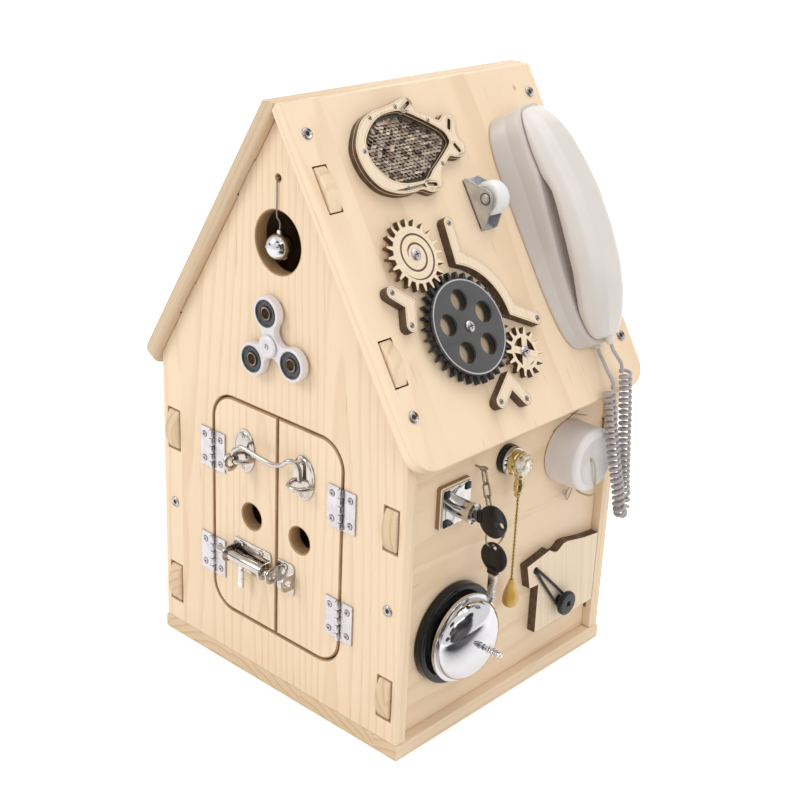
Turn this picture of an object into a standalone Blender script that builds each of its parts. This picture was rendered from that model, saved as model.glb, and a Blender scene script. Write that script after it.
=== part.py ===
# Wooden activity house: a gabled box on a base board, with things to work on its front, wall and roof.
# Metres, +Z up. The origin is the centre of the base's underside. The doors face -Y, the wall with the
# fittings faces +X, and the roof board over that wall carries the gears, the fish and the telephone.

import math

import bmesh
import bpy
import numpy as np
from mathutils import Matrix, Vector
from mathutils.geometry import tessellate_polygon

# House boards
house_width = 0.280
house_depth = 0.270
gable_thickness = 0.012
wall_thickness = 0.012
wall_recess = 0.008
base_thickness = 0.014
base_side_overhang = 0.0015
base_edge_round = 0.0015
roof_thickness = 0.0125
roof_end_overhang = 0.008
eave_half_width = 0.160
eave_height = 0.258
eave_corner_radius = 0.020
ridge_height = 0.500
ridge_half_width = 0.0105

# Clearances and overruns shared by the pieces
fit_gap = 0.0003
slot_clearance = 0.0004
running_clearance = 0.0004
overlap = 0.0005
overrun = 0.002

# Joints between the boards
roof_tab_length = 0.0345
roof_tab_start_shares = (0.2355, 0.7048)
tenon_length = 0.0340
lower_tenon_start = 0.0355
upper_tenon_start = 0.1835
tab_rise = 0.0050

# Openings of the front gable
door_half_width = 0.0755
door_bottom = 0.0555
door_top = 0.2530
door_corner_radius = 0.0240
window_share = 0.5620
window_radius = 0.0246
string_hole_share = 0.7661
string_hole_radius = 0.0025

# Doors
door_kerf = 0.0012
door_split = 0.0018
finger_hole_offset = 0.0282
finger_hole_height = 0.1537
finger_hole_radius = 0.01115

# Butt hinges
hinge_height = 0.0350
upper_hinge_height = 0.1995
lower_hinge_height = 0.1016
hinge_leaf_width = 0.0150
hinge_leaf_thickness = 0.0012
knuckle_radius = 0.0022
knuckle_count = 5
pin_radius = 0.0012
pin_bore_radius = 0.0016

# Cabin hook and its two oval plates
hook_plate_width = 0.0250
hook_plate_height = 0.0380
hook_plate_rim = 0.0008
hook_plate_crown = 0.0032
hook_plate_place = -0.0360
eye_plate_place = 0.0325
hook_plate_centre_height = 0.2110
staple_drop = 0.0050
staple_half_width = 0.0100
staple_reach = 0.0140
hook_rod_radius = 0.0020
hook_eye_radius = 0.0060
hook_eye_play = 0.0005
hook_raise_clearance = 0.0007
hook_plate_crown_shares = (0.45, 0.80)
hook_route_shares = [
    (0.000, 1.00, 1.09), (0.066, 1.80, 1.02), (0.153, 2.25, 0.89), (0.285, 1.97, 0.86),
    (0.482, 1.50, 0.86), (0.679, 1.22, 0.86), (0.825, 1.53, 0.86), (0.920, 2.25, 0.80),
    (0.995, 2.15, 0.61), (1.029, 1.17, 0.486), (1.029, 0.17, 0.471), (1.029, -0.75, 0.471),
]

# Door bolt
bolt_height = 0.1150
bolt_axis_height = 0.0082
bolt_rod_radius = 0.0030
bolt_barrel_radius = 0.0046
bolt_ear_radius = 0.0070
bolt_ear_thickness = 0.0015
bolt_plate_left = -0.0490
bolt_plate_right = -0.0035
bolt_plate_width = 0.0280
bolt_plate_thickness = 0.0012
bolt_plate_corner = 0.0030
bolt_travel = 0.0240
bolt_rod_length = 0.0610
bolt_tip_rest = 0.0006
bolt_knob_radius = 0.0027
bolt_knob_drop = 0.0260
keeper_left = 0.0042
keeper_right = 0.0238

# Spinner
spinner_share = 0.2293
spinner_pitch = 0.0255
spinner_lobe_radius = 0.0135
spinner_waist = 0.0095
spinner_low = 0.0015
spinner_high = 0.0085
spinner_weight_radius = 0.0108
spinner_weight_bore = 0.0052
spinner_weight_proud = 0.0006
spinner_turn = 9.5
spinner_shaft_radius = 0.0030
spinner_cap_radius = 0.0090
spinner_cap_thickness = 0.0022

# Jingle bell on its string
jingle_radius = 0.0105
jingle_neck_radius = 0.0022
jingle_neck_length = 0.0025
jingle_depth = 0.0020
jingle_share = 0.5496
string_radius = 0.0006
string_front = 0.0012
string_knot_radius = 0.0036
string_bend_share = 0.6488

# Counter bell
bell_place = (-0.0667, 0.0890)
bell_base_radius = 0.0430
bell_base_thickness = 0.0100
bell_base_round = 0.0030
bell_rim_radius = 0.0375
bell_rim_low = 0.0140
bell_rim_thickness = 0.0040
bell_shoulder_radius = 0.0345
bell_top = 0.0360
bell_wall = 0.0012
bell_post_radius = 0.0050
bell_plunger_radius = 0.0022
bell_plunger_top = 0.0540
bell_plunger_head = 0.0034
bell_travel = 0.0040
bell_head_shares = [
    (1.00, 0.02), (1.00, 0.14), (0.72, 0.18), (0.72, 0.30), (0.95, 0.34), (0.95, 0.48), (0.72, 0.52),
    (0.72, 0.92), (0.50, 1.00),
]

# Cam lock with its key
lock_offset = (-0.0715, 0.0550)
lock_plate_offset = (-0.0740, 0.0520)
lock_backing_size = 0.0360
lock_backing_thickness = 0.0040
lock_plate_size = 0.0330
lock_plate_thickness = 0.0012
lock_corner = 0.0025
lock_radius = 0.0085
lock_front = 0.0230
lock_plug_radius = 0.0050
lock_plug_depth = 0.0090
key_bow_radius = 0.0130
key_bow_thickness = 0.0030
key_bow_height = 0.0400
key_blade_width = 0.0080
key_blade_thickness = 0.0022
key_hole_radius = 0.0024
key_hole_offset = 0.0087

# Chain, split ring and spare key
chain_hook_offset = (-0.0468, 0.0295)
chain_wire = 0.0009
chain_link_width = 0.0070
chain_links = 4
ring_offset = (-0.0555, 0.0730, 0.0310)
ring_radius = 0.0120
spare_bow_radius = 0.0125
spare_bow_thickness = 0.0026
spare_blade_length = 0.0290

# Pull switch
switch_offset = (-0.0090, 0.0350)
switch_base_radius = 0.0125
switch_front = 0.0230
switch_shares = [
    (1.00, 0.00), (1.00, 0.26), (0.92, 0.30), (0.92, 0.38), (0.80, 0.40), (0.80, 0.60), (0.74, 0.64),
    (0.74, 0.84), (0.50, 1.00),
]
switch_neck_place = 0.0150
switch_neck_radius = 0.0042
switch_neck_drop = 0.0280
chain_top_drop = 0.0250
chain_bead_radius = 0.0013
chain_core_radius = 0.0006
chain_bead_pitch = 0.0033
chain_beads = 24
pull_knob_radius = 0.0066
pull_knob_length = 0.0250
pull_knob_shares = [
    (0.55, 0.03), (0.90, 0.13), (1.00, 0.27), (0.96, 0.42), (0.78, 0.60), (0.52, 0.80), (0.34, 0.95),
    (0.28, 1.00),
]

# White drum
drum_offset = (0.0700, 0.0520)
drum_radius = 0.0275
drum_height = 0.0320
drum_round = 0.0050
drum_dish = 0.0040
drum_hole_radius = 0.0016
drum_cord_radius = 0.0008
drum_cord_route = [
    (0.0000, 0.0000, 0.0245), (0.0000, 0.0000, 0.0275), (0.0000, -0.0008, 0.0302), (0.0002, -0.0045, 0.0322),
    (0.0006, -0.0110, 0.0332), (0.0012, -0.0190, 0.0336), (0.0022, -0.0260, 0.0332), (0.0035, -0.0318, 0.0310),
    (0.0045, -0.0348, 0.0265), (0.0050, -0.0360, 0.0205), (0.0048, -0.0354, 0.0150), (0.0044, -0.0330, 0.0110),
    (0.0040, -0.0303, 0.0098), (0.0040, -0.0277, 0.0096),
]

# Raised plywood panel with button and elastic loop
panel_left = 0.0210
panel_right = 0.1215
panel_bottom = 0.0450
panel_top = 0.1207
panel_thickness = 0.0080
panel_shares = [
    (0.000, 0.933), (0.055, 0.635), (0.174, 0.625), (0.178, 0.000), (1.000, 0.000), (1.000, 0.890),
    (0.806, 0.923), (0.545, 0.995), (0.490, 0.992), (0.450, 0.960), (0.411, 0.931), (0.365, 0.945),
    (0.294, 1.000),
]
loop_hole_place = (0.0330, 0.1080)
loop_hole_radius = 0.0030
loop_cord_radius = 0.0013
button_place = (0.0700, 0.0655)
button_radius = 0.0110
button_thickness = 0.0050
button_stem_radius = 0.0040
button_stem_height = 0.0060

# Gears on the roof
gear_module = 0.0026
drive_teeth = 32
spiral_teeth = 20
small_teeth = 14
drive_gear_place = (-0.0510, 0.0910)
spiral_gear_direction = 111.5
small_gear_direction = -32.4
gear_mesh_slack = 0.0004
gear_low = 0.0030
gear_thickness = 0.0050
gear_addendum_share = 0.85
gear_dedendum_share = 1.45
gear_root_share = 0.27
gear_tip_share = 0.085
gear_disc_radius = 0.03775
gear_disc_thickness = 0.0022
gear_window_radius = 0.0085
gear_window_pitch = 0.0215
gear_windows = 5
gear_window_turn = 20.0
small_window_inner = 0.0040
small_window_outer = 0.0118
small_window_turn = 20.0
gear_shaft_radius = 0.0025
gear_head_radius = 0.0045
gear_head_thickness = 0.0016
gear_washer_radius = 0.0060

# Plywood guards round the gears
guard_width = 0.0105
guard_thickness = 0.0080
top_guard_radius = 0.0545
top_guard_head = (-0.0302, 0.1706)
top_guard_tail = (0.0274, 0.0800)
top_guard_start = 71.0
top_guard_end = 2.0
left_guard_route = [(-0.1129, 0.1326), (-0.0997, 0.1212), (-0.1057, 0.1056)]
lower_guard_route = [(-0.0451, 0.0298), (-0.0279, 0.0421), (-0.0170, 0.0246)]

# Fish with its sequin cloth
fish_centre = (-0.0420, 0.2340)
fish_size = 0.1160
fish_thickness = 0.0080
sequin_high = 0.0050
fish_outline_shares = [
    (-0.445, 0.110), (-0.345, 0.225), (-0.215, 0.280), (-0.115, 0.292), (-0.010, 0.310), (0.050, 0.325),
    (0.140, 0.338), (0.178, 0.285), (0.195, 0.225), (0.285, 0.195), (0.358, 0.142), (0.418, 0.172),
    (0.490, 0.175), (0.524, 0.140), (0.520, 0.080), (0.495, 0.018), (0.528, -0.050), (0.520, -0.105),
    (0.460, -0.140), (0.390, -0.133), (0.342, -0.122), (0.278, -0.165), (0.222, -0.205), (0.195, -0.280),
    (0.140, -0.322), (0.060, -0.328), (-0.020, -0.295), (-0.100, -0.300), (-0.225, -0.290),
    (-0.345, -0.245), (-0.415, -0.180), (-0.462, -0.090), (-0.475, 0.020),
]
fish_opening_shares = [
    (-0.330, 0.120), (-0.245, 0.190), (-0.150, 0.232), (-0.040, 0.245), (0.050, 0.238), (0.155, 0.190),
    (0.345, 0.070), (0.385, 0.000), (0.365, -0.038), (0.240, -0.118), (0.140, -0.175), (0.060, -0.226),
    (-0.070, -0.230), (-0.165, -0.218), (-0.260, -0.178), (-0.330, -0.105), (-0.368, -0.020),
    (-0.362, 0.062),
]

# Fixed caster
caster_place = (0.0185, 0.1800)
caster_plate_length = 0.0430
caster_plate_thickness = 0.0015
caster_cheek_thickness = 0.0015
caster_wheel_radius = 0.0135
caster_wheel_width = 0.0130
caster_wheel_round = 0.0030
caster_axle_height = 0.0160
caster_axle_radius = 0.0022
caster_rivet_radius = 0.0038
caster_rivet_height = 0.0012

# Telephone
phone_low = 0.0430
phone_high = 0.2440
phone_centre = 0.0880
phone_base_half_width = 0.0350
phone_rim_half_width = 0.0250
phone_rim_height = 0.0300
phone_edge_round = 0.0025
phone_end_power = 0.48
phone_rim_shares = [
    (0.00, 0.50), (0.05, 0.47), (0.15, 0.49), (0.34, 0.60), (0.53, 0.78), (0.66, 0.92), (0.72, 0.98),
    (0.80, 0.94), (0.90, 0.94), (1.00, 0.90),
]
handset_inset = 0.0035
handset_half_width = 0.0240
handset_ridge_half_width = 0.0195
handset_height = 0.0560
handset_grip_rise = 0.0080
handset_grip_shares = [
    (0.00, 0.00), (0.13, 0.00), (0.30, 0.90), (0.42, 1.00), (0.62, 1.00), (0.67, 0.60), (0.71, 0.00),
    (1.00, 0.00),
]
handset_top_shares = [
    (0.00, 0.47), (0.03, 0.54), (0.065, 0.62), (0.16, 0.78), (0.27, 0.90), (0.43, 0.98), (0.585, 1.00),
    (0.70, 0.96), (0.84, 0.875), (0.915, 0.79), (0.977, 0.67), (1.00, 0.60),
]
handset_ridge_drop = 0.0065
cord_boss_radius = 0.0032
cord_boss_length = 0.0060
base_cord_place = (0.0860, 0.0070)
handset_cord_place = (0.0860, 0.0215)

# Curly cord: outer diameter is twice the coil radius plus the cord's own diameter
curly_radius = 0.0015
coil_radius = 0.0042
coil_pitch = 0.0052
coil_gap = 0.0011
curl_points = 8
coil_line_steps = 12
base_lead_route = [
    (0.1510, 0.0850, -0.0305),
    (0.1590, 0.0832, -0.0220),
    (0.1662, 0.0815, -0.0155),
]
coil_route = [
    (0.1665, 0.0760, -0.0110),
    (0.1685, 0.0782, 0.0080),
    (0.1705, 0.0805, 0.0280),
    (0.1735, 0.0840, 0.0530),
    (0.1775, 0.0880, 0.0800),
    (0.1790, 0.0895, 0.0940),
    (0.1775, 0.0950, 0.1025),
    (0.1745, 0.1030, 0.1032),
    (0.1715, 0.1080, 0.0940),
    (0.1700, 0.1065, 0.0800),
    (0.1700, 0.1030, 0.0530),
    (0.1692, 0.1010, 0.0280),
    (0.1685, 0.0985, 0.0030),
    (0.1675, 0.0955, -0.0230),
]
handset_lead_route = [
    (0.1665, 0.0900, -0.0295),
    (0.1648, 0.0878, -0.0340),
]

# Derived places of the house
half_width = house_width / 2
half_depth = house_depth / 2
roof_half_depth = half_depth + roof_end_overhang
wall_outer = half_width - wall_recess
floor_level = base_thickness + fit_gap
slope_run = eave_half_width - ridge_half_width
slope_rise = ridge_height - eave_height
slope_length = math.hypot(slope_run, slope_rise)
slope_cos = slope_run / slope_length
slope_sin = slope_rise / slope_length
slope_tan = slope_rise / slope_run
hinge_axis_height = knuckle_radius + fit_gap
tab_starts = [share * slope_length for share in roof_tab_start_shares]
window_height = eave_height + window_share * slope_rise
string_hole_height = eave_height + string_hole_share * slope_rise
string_bend_height = eave_height + string_bend_share * slope_rise
jingle_height = eave_height + jingle_share * slope_rise
spinner_height = eave_height + spinner_share * slope_rise
hinge_place = door_half_width - door_kerf / 2

round_sides = 24
hole_sides = 14
small_sides = 10
wire_sides = 8
pin_sides = 6
window_sides = 10
chain_sides = 5
arc_steps = 5


def on_wall(offset):
    """Place on the wall, from one whose second number is a drop below the eave."""
    return (offset[0], eave_height - offset[1], *offset[2:])


def hung(route):
    """The route's points, from ones whose height is a drop below the eave."""
    return [(x, y, eave_height - drop) for x, y, drop in route]


lock_place = on_wall(lock_offset)
lock_plate_place = on_wall(lock_plate_offset)
chain_hook_place = on_wall(chain_hook_offset)
ring_centre = on_wall(ring_offset)
switch_place = on_wall(switch_offset)
drum_place = on_wall(drum_offset)
switch_neck_bottom = switch_place[1] - switch_neck_drop
chain_top = switch_place[1] - chain_top_drop


# Outline helpers: lists of (x, y) points

def arc(centre, radius, start, end, steps=arc_steps):
    angles = np.radians(np.linspace(start, end, steps + 1))
    return [(centre[0] + radius * math.cos(t), centre[1] + radius * math.sin(t)) for t in angles]


def circle(centre, radius, sides=hole_sides):
    return arc(centre, radius, 0, 360, sides)[:-1]


def rectangle(left, right, low, high):
    return [(left, low), (right, low), (right, high), (left, high)]


def rounded_rectangle(left, right, low, high, radius, steps=arc_steps):
    points = arc((right - radius, low + radius), radius, -90, 0, steps)
    points += arc((right - radius, high - radius), radius, 0, 90, steps)
    points += arc((left + radius, high - radius), radius, 90, 180, steps)
    points += arc((left + radius, low + radius), radius, 180, 270, steps)
    return points


def bulge(start, end, rise, steps=4):
    """Arc from start to end that rises to the left of the chord."""
    start, end = Vector(start), Vector(end)
    chord = end - start
    half = chord.length / 2
    radius = (half * half + rise * rise) / (2 * rise)
    left = Vector((-chord.y, chord.x)).normalized()
    centre = (start + end) / 2 + left * (rise - radius)
    first = math.atan2(start.y - centre.y, start.x - centre.x)
    sweep = 2 * math.asin(min(1.0, half / radius))
    angles = np.linspace(first, first - sweep, steps + 1)
    return [(centre.x + radius * math.cos(t), centre.y + radius * math.sin(t)) for t in angles]


def smooth(points, steps, closed=False):
    """Catmull-Rom curve through the points, with this many steps between two of them."""
    points = [Vector(point) for point in points]
    count = len(points)
    curve = []
    for i in range(count if closed else count - 1):
        if closed:
            a, b, c, d = (points[(i + k - 1) % count] for k in range(4))
        else:
            b, c = points[i], points[i + 1]
            a = points[i - 1] if i else 2 * b - c
            d = points[i + 2] if i + 2 < count else 2 * c - b
        for k in range(steps):
            t = k / steps
            curve.append((2 * b + t * (c - a) + t * t * (2 * a - 5 * b + 4 * c - d)
                          + t * t * t * (3 * b - a - 3 * c + d)) / 2)
    if not closed:
        curve.append(points[-1])
    return [tuple(point) for point in curve]


def ribbon(route, width, cap_steps=arc_steps):
    """Outline of a flat strip along the route, with round ends and mitred corners."""
    points = [Vector(point) for point in route]
    sides = {1: [], -1: []}
    for i, point in enumerate(points):
        before = (point - points[i - 1]).normalized() if i else (points[1] - point).normalized()
        after = (points[i + 1] - point).normalized() if i + 1 < len(points) else before
        along = (before + after).normalized()
        normal = Vector((-along.y, along.x))
        reach = width / 2 / max(normal.dot(Vector((-after.y, after.x))), 0.5)
        for side in sides:
            sides[side].append(tuple(point + normal * side * reach))
    start_angle = math.degrees(math.atan2(*(points[1] - points[0]).yx))
    end_angle = math.degrees(math.atan2(*(points[-1] - points[-2]).yx))
    end = arc(points[-1], width / 2, end_angle - 90, end_angle + 90, cap_steps)
    start = arc(points[0], width / 2, start_angle + 90, start_angle + 270, cap_steps)
    return sides[-1][1:-1] + end + sides[1][-2:0:-1] + start


# Mesh helpers: each returns a Blender mesh in the coordinates of the frame it is made for

def mesh_of(vertices, faces):
    mesh = bpy.data.meshes.new("shape")
    bm = bmesh.new()
    corners = [bm.verts.new(vertex) for vertex in vertices]
    for face in faces:
        bm.faces.new([corners[i] for i in face])
    bmesh.ops.recalc_face_normals(bm, faces=bm.faces)
    bm.to_mesh(mesh)
    bm.free()
    return mesh


def slab(outline, low, high, holes=()):
    """Plate between two heights, with the outline and the holes cut straight through it."""
    loops = [list(outline)] + [list(hole) for hole in holes]
    flat = [Vector((x, y, 0)) for loop in loops for x, y in loop]
    triangles = tessellate_polygon([[Vector((x, y, 0)) for x, y in loop] for loop in loops])
    count = len(flat)
    vertices = [(point.x, point.y, low) for point in flat] + [(point.x, point.y, high) for point in flat]
    faces = [tuple(triangle) for triangle in triangles]
    faces += [tuple(i + count for i in reversed(triangle)) for triangle in triangles]
    start = 0
    for loop in loops:
        size = len(loop)
        for i in range(size):
            here, there = start + i, start + (i + 1) % size
            faces.append((here, there, there + count, here + count))
        start += size
    return mesh_of(vertices, faces)


def loft(sections):
    """Solid through closed loops of as many points each, capped at both ends."""
    size = len(sections[0])
    vertices = [point for section in sections for point in section]
    faces = [tuple(range(size)), tuple(range(len(vertices) - size, len(vertices)))]
    for k in range(len(sections) - 1):
        for i in range(size):
            here, there = k * size + i, k * size + (i + 1) % size
            faces.append((here, there, there + size, here + size))
    return mesh_of(vertices, faces)


def turned(profile, sides=round_sides, centre=(0, 0)):
    """Solid turned about the line through the centre along Z. The profile is (radius, height) points.
    Where its ends lie off the axis, it is taken as a closed ring."""
    ring = profile[0][0] > 0 and profile[-1][0] > 0
    vertices, rows = [], []
    for radius, height in profile:
        if radius > 0:
            rows.append(list(range(len(vertices), len(vertices) + sides)))
            vertices += [(x, y, height) for x, y in circle(centre, radius, sides)]
        else:
            rows.append([len(vertices)] * sides)
            vertices.append((centre[0], centre[1], height))
    faces = []
    pairs = list(zip(rows, rows[1:])) + ([(rows[-1], rows[0])] if ring else [])
    for lower, upper in pairs:
        for i in range(sides):
            j = (i + 1) % sides
            corners = [lower[i], lower[j], upper[j], upper[i]]
            face = list(dict.fromkeys(corners))
            if len(face) > 2:
                faces.append(face)
    return mesh_of(vertices, faces)


def tube(route, radius, sides=small_sides, closed=False):
    """Round rod along the route, with flat ends or joined into a loop."""
    points = [Vector(point) for point in route]
    count = len(points)
    tangents = []
    for i in range(count):
        if closed:
            step = points[(i + 1) % count] - points[i - 1]
        else:
            step = points[min(i + 1, count - 1)] - points[max(i - 1, 0)]
        tangents.append(step.normalized())
    normal = tangents[0].orthogonal().normalized()
    rings = []
    for i in range(count):
        normal = (normal - tangents[i] * normal.dot(tangents[i])).normalized()
        across = tangents[i].cross(normal)
        rings.append([
            tuple(points[i] + radius * (normal * math.cos(t) + across * math.sin(t)))
            for t in np.linspace(0, 2 * math.pi, sides, endpoint=False)
        ])
    if not closed:
        return loft(rings)
    vertices = [point for ring in rings for point in ring]
    faces = []
    for k in range(count):
        for i in range(sides):
            j = (i + 1) % sides
            after = (k + 1) % count * sides
            faces.append((k * sides + i, k * sides + j, after + j, after + i))
    return mesh_of(vertices, faces)


def trimmed(mesh, point, normal):
    """The mesh without what lies past the plane through the point, on the side of the normal."""
    bm = bmesh.new()
    bm.from_mesh(mesh)
    everything = bm.verts[:] + bm.edges[:] + bm.faces[:]
    cut = bmesh.ops.bisect_plane(bm, geom=everything, plane_co=point, plane_no=normal, clear_outer=True)
    edges = [item for item in cut["geom_cut"] if isinstance(item, bmesh.types.BMEdge)]
    bmesh.ops.contextual_create(bm, geom=edges)
    bmesh.ops.recalc_face_normals(bm, faces=bm.faces)
    bm.to_mesh(mesh)
    bm.free()
    return mesh


def moved(mesh, matrix):
    copy = mesh.copy()
    copy.transform(matrix)
    if matrix.determinant() < 0:
        copy.flip_normals()
    return copy


def combined(first, *steps):
    """The first mesh with each (operation, mesh) after it joined, cut away or kept in common."""
    body = bpy.data.objects.new("body", first)
    bpy.context.scene.collection.objects.link(body)
    helpers = []
    for operation, mesh in steps:
        helper = bpy.data.objects.new("helper", mesh)
        bpy.context.scene.collection.objects.link(helper)
        helpers.append(helper)
        modifier = body.modifiers.new("step", "BOOLEAN")
        modifier.operation = operation
        modifier.object = helper
    graph = bpy.context.evaluated_depsgraph_get()
    result = bpy.data.meshes.new_from_object(body.evaluated_get(graph))
    for item in helpers + [body]:
        bpy.data.objects.remove(item)
    return result


JOIN, CUT = "UNION", "DIFFERENCE"

TURN_TO_Y = Matrix.Rotation(math.radians(-90), 4, "X")
TURN_TO_X = Matrix.Rotation(math.radians(90), 4, "Y")
HALF_TURN = Matrix.Rotation(math.radians(180), 4, "Z")
MIRROR_X = Matrix.Diagonal((-1, 1, 1, 1))


def shift(x=0, y=0, z=0):
    return Matrix.Translation((x, y, z))


# Objects

def material(name, colour, roughness, metallic=0):
    made = bpy.data.materials.new(name)
    made.use_nodes = True
    shader = made.node_tree.nodes["Principled BSDF"]
    shader.inputs["Base Color"].default_value = (*colour, 1)
    shader.inputs["Roughness"].default_value = roughness
    shader.inputs["Metallic"].default_value = metallic
    return made


def frame(name, origin, x_axis, y_axis, z_axis):
    """Empty whose axes are those of the face that its pieces lie on."""
    empty = bpy.data.objects.new(name, None)
    bpy.context.scene.collection.objects.link(empty)
    turn = Matrix((x_axis, y_axis, z_axis)).transposed().to_4x4()
    empty.matrix_world = Matrix.Translation(origin) @ turn
    return empty


def place(name, mesh, finish, parent=None, pivot=(0, 0, 0), turn=0, round_edges=None):
    """Object with its origin at the pivot. The mesh is given in the parent's coordinates, and turn
    is an angle about the parent's Z through the pivot."""
    mesh.name = name
    mesh.transform(Matrix.Translation(-Vector(pivot)))
    mesh.materials.clear()
    mesh.materials.append(finish)
    mesh.shade_smooth()
    mesh.set_sharp_from_angle(angle=math.radians(30))
    piece = bpy.data.objects.new(name, mesh)
    bpy.context.scene.collection.objects.link(piece)
    piece.parent = parent
    piece.location = pivot
    piece.rotation_euler = (0, 0, turn)
    if round_edges:
        bevel = piece.modifiers.new("edges", "BEVEL")
        bevel.width = round_edges
        bevel.segments = 1
    return piece


for old in list(bpy.data.objects):
    bpy.data.objects.remove(old)

pine = material("pine", (0.86, 0.66, 0.42), 0.55)
ply = material("plywood", (0.80, 0.60, 0.36), 0.6)
nickel = material("nickel", (0.62, 0.58, 0.54), 0.22, 1)
steel = material("pale_steel", (0.72, 0.72, 0.74), 0.35, 1)
chrome = material("chrome", (0.85, 0.85, 0.86), 0.08, 1)
brass = material("brass", (0.72, 0.58, 0.28), 0.3, 1)
black_plastic = material("black_plastic", (0.015, 0.015, 0.016), 0.3)
grey_plastic = material("grey_plastic", (0.10, 0.10, 0.11), 0.4)
white_plastic = material("white_plastic", (0.80, 0.80, 0.84), 0.35)
telephone_plastic = material("telephone_plastic", (0.72, 0.67, 0.62), 0.35)
cord_plastic = material("cord_plastic", (0.62, 0.60, 0.56), 0.4)
sequins = material("sequins", (0.16, 0.13, 0.10), 0.35, 0.6)
string = material("string", (0.45, 0.40, 0.32), 0.8)
amber = material("amber_plastic", (0.80, 0.42, 0.06), 0.3)

front = frame("front_frame", (0, -half_depth, 0), (1, 0, 0), (0, 0, 1), (0, -1, 0))
wall = frame("wall_frame", (wall_outer, 0, 0), (0, 1, 0), (0, 0, 1), (1, 0, 0))
roof = frame("roof_frame", (eave_half_width, 0, eave_height),
             (0, 1, 0), (-slope_cos, 0, slope_sin), (slope_sin, 0, slope_cos))


# Walls, gables, base and roof

def slope_point(along, above):
    """(x, z) of the point this far up the right slope and this far above the roof's outer face."""
    return (eave_half_width - along * slope_cos + above * slope_sin,
            eave_height + along * slope_sin + above * slope_cos)


def roof_underside(x):
    return ridge_height + (ridge_half_width - abs(x)) * slope_tan - roof_thickness / slope_cos


def mirrored(points):
    return [(-x, y) for x, y in reversed(points)]


def gable_outline():
    under = -roof_thickness - fit_gap
    gap_height = fit_gap / slope_cos
    right = [(half_width, floor_level), (half_width, roof_underside(half_width) - gap_height)]
    for start in tab_starts:
        end = start + roof_tab_length
        tab = bulge(slope_point(end, 0), slope_point(start, 0), tab_rise)
        right += [slope_point(start, under)] + tab[::-1] + [slope_point(end, under)]
    return right + [(0, roof_underside(0) - gap_height)] + mirrored(right)


def tenon_slots():
    outer = wall_outer + slot_clearance
    inner = wall_outer - wall_thickness - slot_clearance
    slots = []
    for start in (lower_tenon_start, upper_tenon_start):
        low, high = start - slot_clearance, start + tenon_length + slot_clearance
        slots += [rectangle(inner, outer, low, high), rectangle(-outer, -inner, low, high)]
    return slots


def wall_outline():
    inner = half_depth - gable_thickness - fit_gap
    right = [(inner, floor_level)]
    for start in (lower_tenon_start, upper_tenon_start):
        end = start + tenon_length
        tenon = bulge((half_depth, end), (half_depth, start), tab_rise)
        right += [(inner, start)] + tenon[::-1] + [(inner, end)]
    right.append((inner, roof_underside(wall_outer) - fit_gap))
    return right + mirrored(right)


def roof_board(butted):
    """Board on the right slope. The butted one stops at the underside of the other one."""
    spare_end = slope_length + 2 * roof_thickness
    edge = roof_half_depth
    corner = eave_corner_radius
    outline = [(edge, spare_end), (-edge, spare_end)]
    outline += arc((-edge + corner, corner), corner, 180, 270)
    outline += arc((edge - corner, corner), corner, 270, 360)
    slots = []
    for start in tab_starts:
        low, high = start - slot_clearance, start + roof_tab_length + slot_clearance
        near = half_depth - gable_thickness - slot_clearance
        far = half_depth + slot_clearance
        slots += [rectangle(near, far, low, high), rectangle(-far, -near, low, high)]
    board = slab(outline, -roof_thickness, 0, slots)
    trimmed(board, (0, slope_length, 0), (0, slope_sin, slope_cos))
    if butted:
        to_roof = roof.matrix_world.inverted()
        away = Vector((-slope_sin, 0, slope_cos))
        apex = Vector((0, 0, roof_underside(0))) - away * fit_gap
        trimmed(board, to_roof @ apex, to_roof.to_3x3() @ away)
    return board


base_half = half_width + base_side_overhang
place("base_board", slab(rectangle(-base_half, base_half, -half_depth, half_depth), 0, base_thickness),
      pine, round_edges=base_edge_round)

door_opening = rounded_rectangle(-door_half_width, door_half_width, door_bottom, door_top,
                                 door_corner_radius)
front_holes = tenon_slots() + [
    door_opening,
    circle((0, window_height), window_radius, round_sides),
    circle((0, string_hole_height), string_hole_radius, small_sides),
]
place("front_gable", slab(gable_outline(), -gable_thickness, 0, front_holes), pine, front)
place("back_gable", slab(gable_outline(), -house_depth, gable_thickness - house_depth, tenon_slots()),
      pine, front)
place("right_wall", slab(wall_outline(), -wall_thickness, 0), pine, wall)
place("left_wall", slab(wall_outline(), -2 * wall_outer, wall_thickness - 2 * wall_outer), pine, wall)
place("right_roof", roof_board(True), pine, roof)
place("left_roof", moved(roof_board(False), MIRROR_X @ roof.matrix_world), pine)


# Doors, on their hinge axes

def door_mesh(side):
    """Leaf in front-frame coordinates. Its closing edge leans back, so that it swings clear."""
    outer = door_half_width - door_kerf
    inner = side * door_split + door_kerf / 2
    low, high = door_bottom + door_kerf, door_top - door_kerf
    radius = door_corner_radius - door_kerf
    outline = [(inner, low)] + arc((outer - radius, low + radius), radius, -90, 0)
    outline += arc((outer - radius, high - radius), radius, 0, 90) + [(inner, high)]
    hole = circle((finger_hole_offset, finger_hole_height), finger_hole_radius, round_sides)
    leaf = slab(outline, -gable_thickness, 0, [hole])
    face_reach = hinge_place - inner
    swing = math.hypot(face_reach, hinge_axis_height)
    lean = face_reach - math.sqrt(swing ** 2 - (gable_thickness + hinge_axis_height) ** 2)
    for vertex in leaf.vertices:
        if vertex.co.z < -gable_thickness / 2 and vertex.co.x < inner + overlap:
            vertex.co.x += lean
    return leaf if side > 0 else moved(leaf, MIRROR_X)


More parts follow.
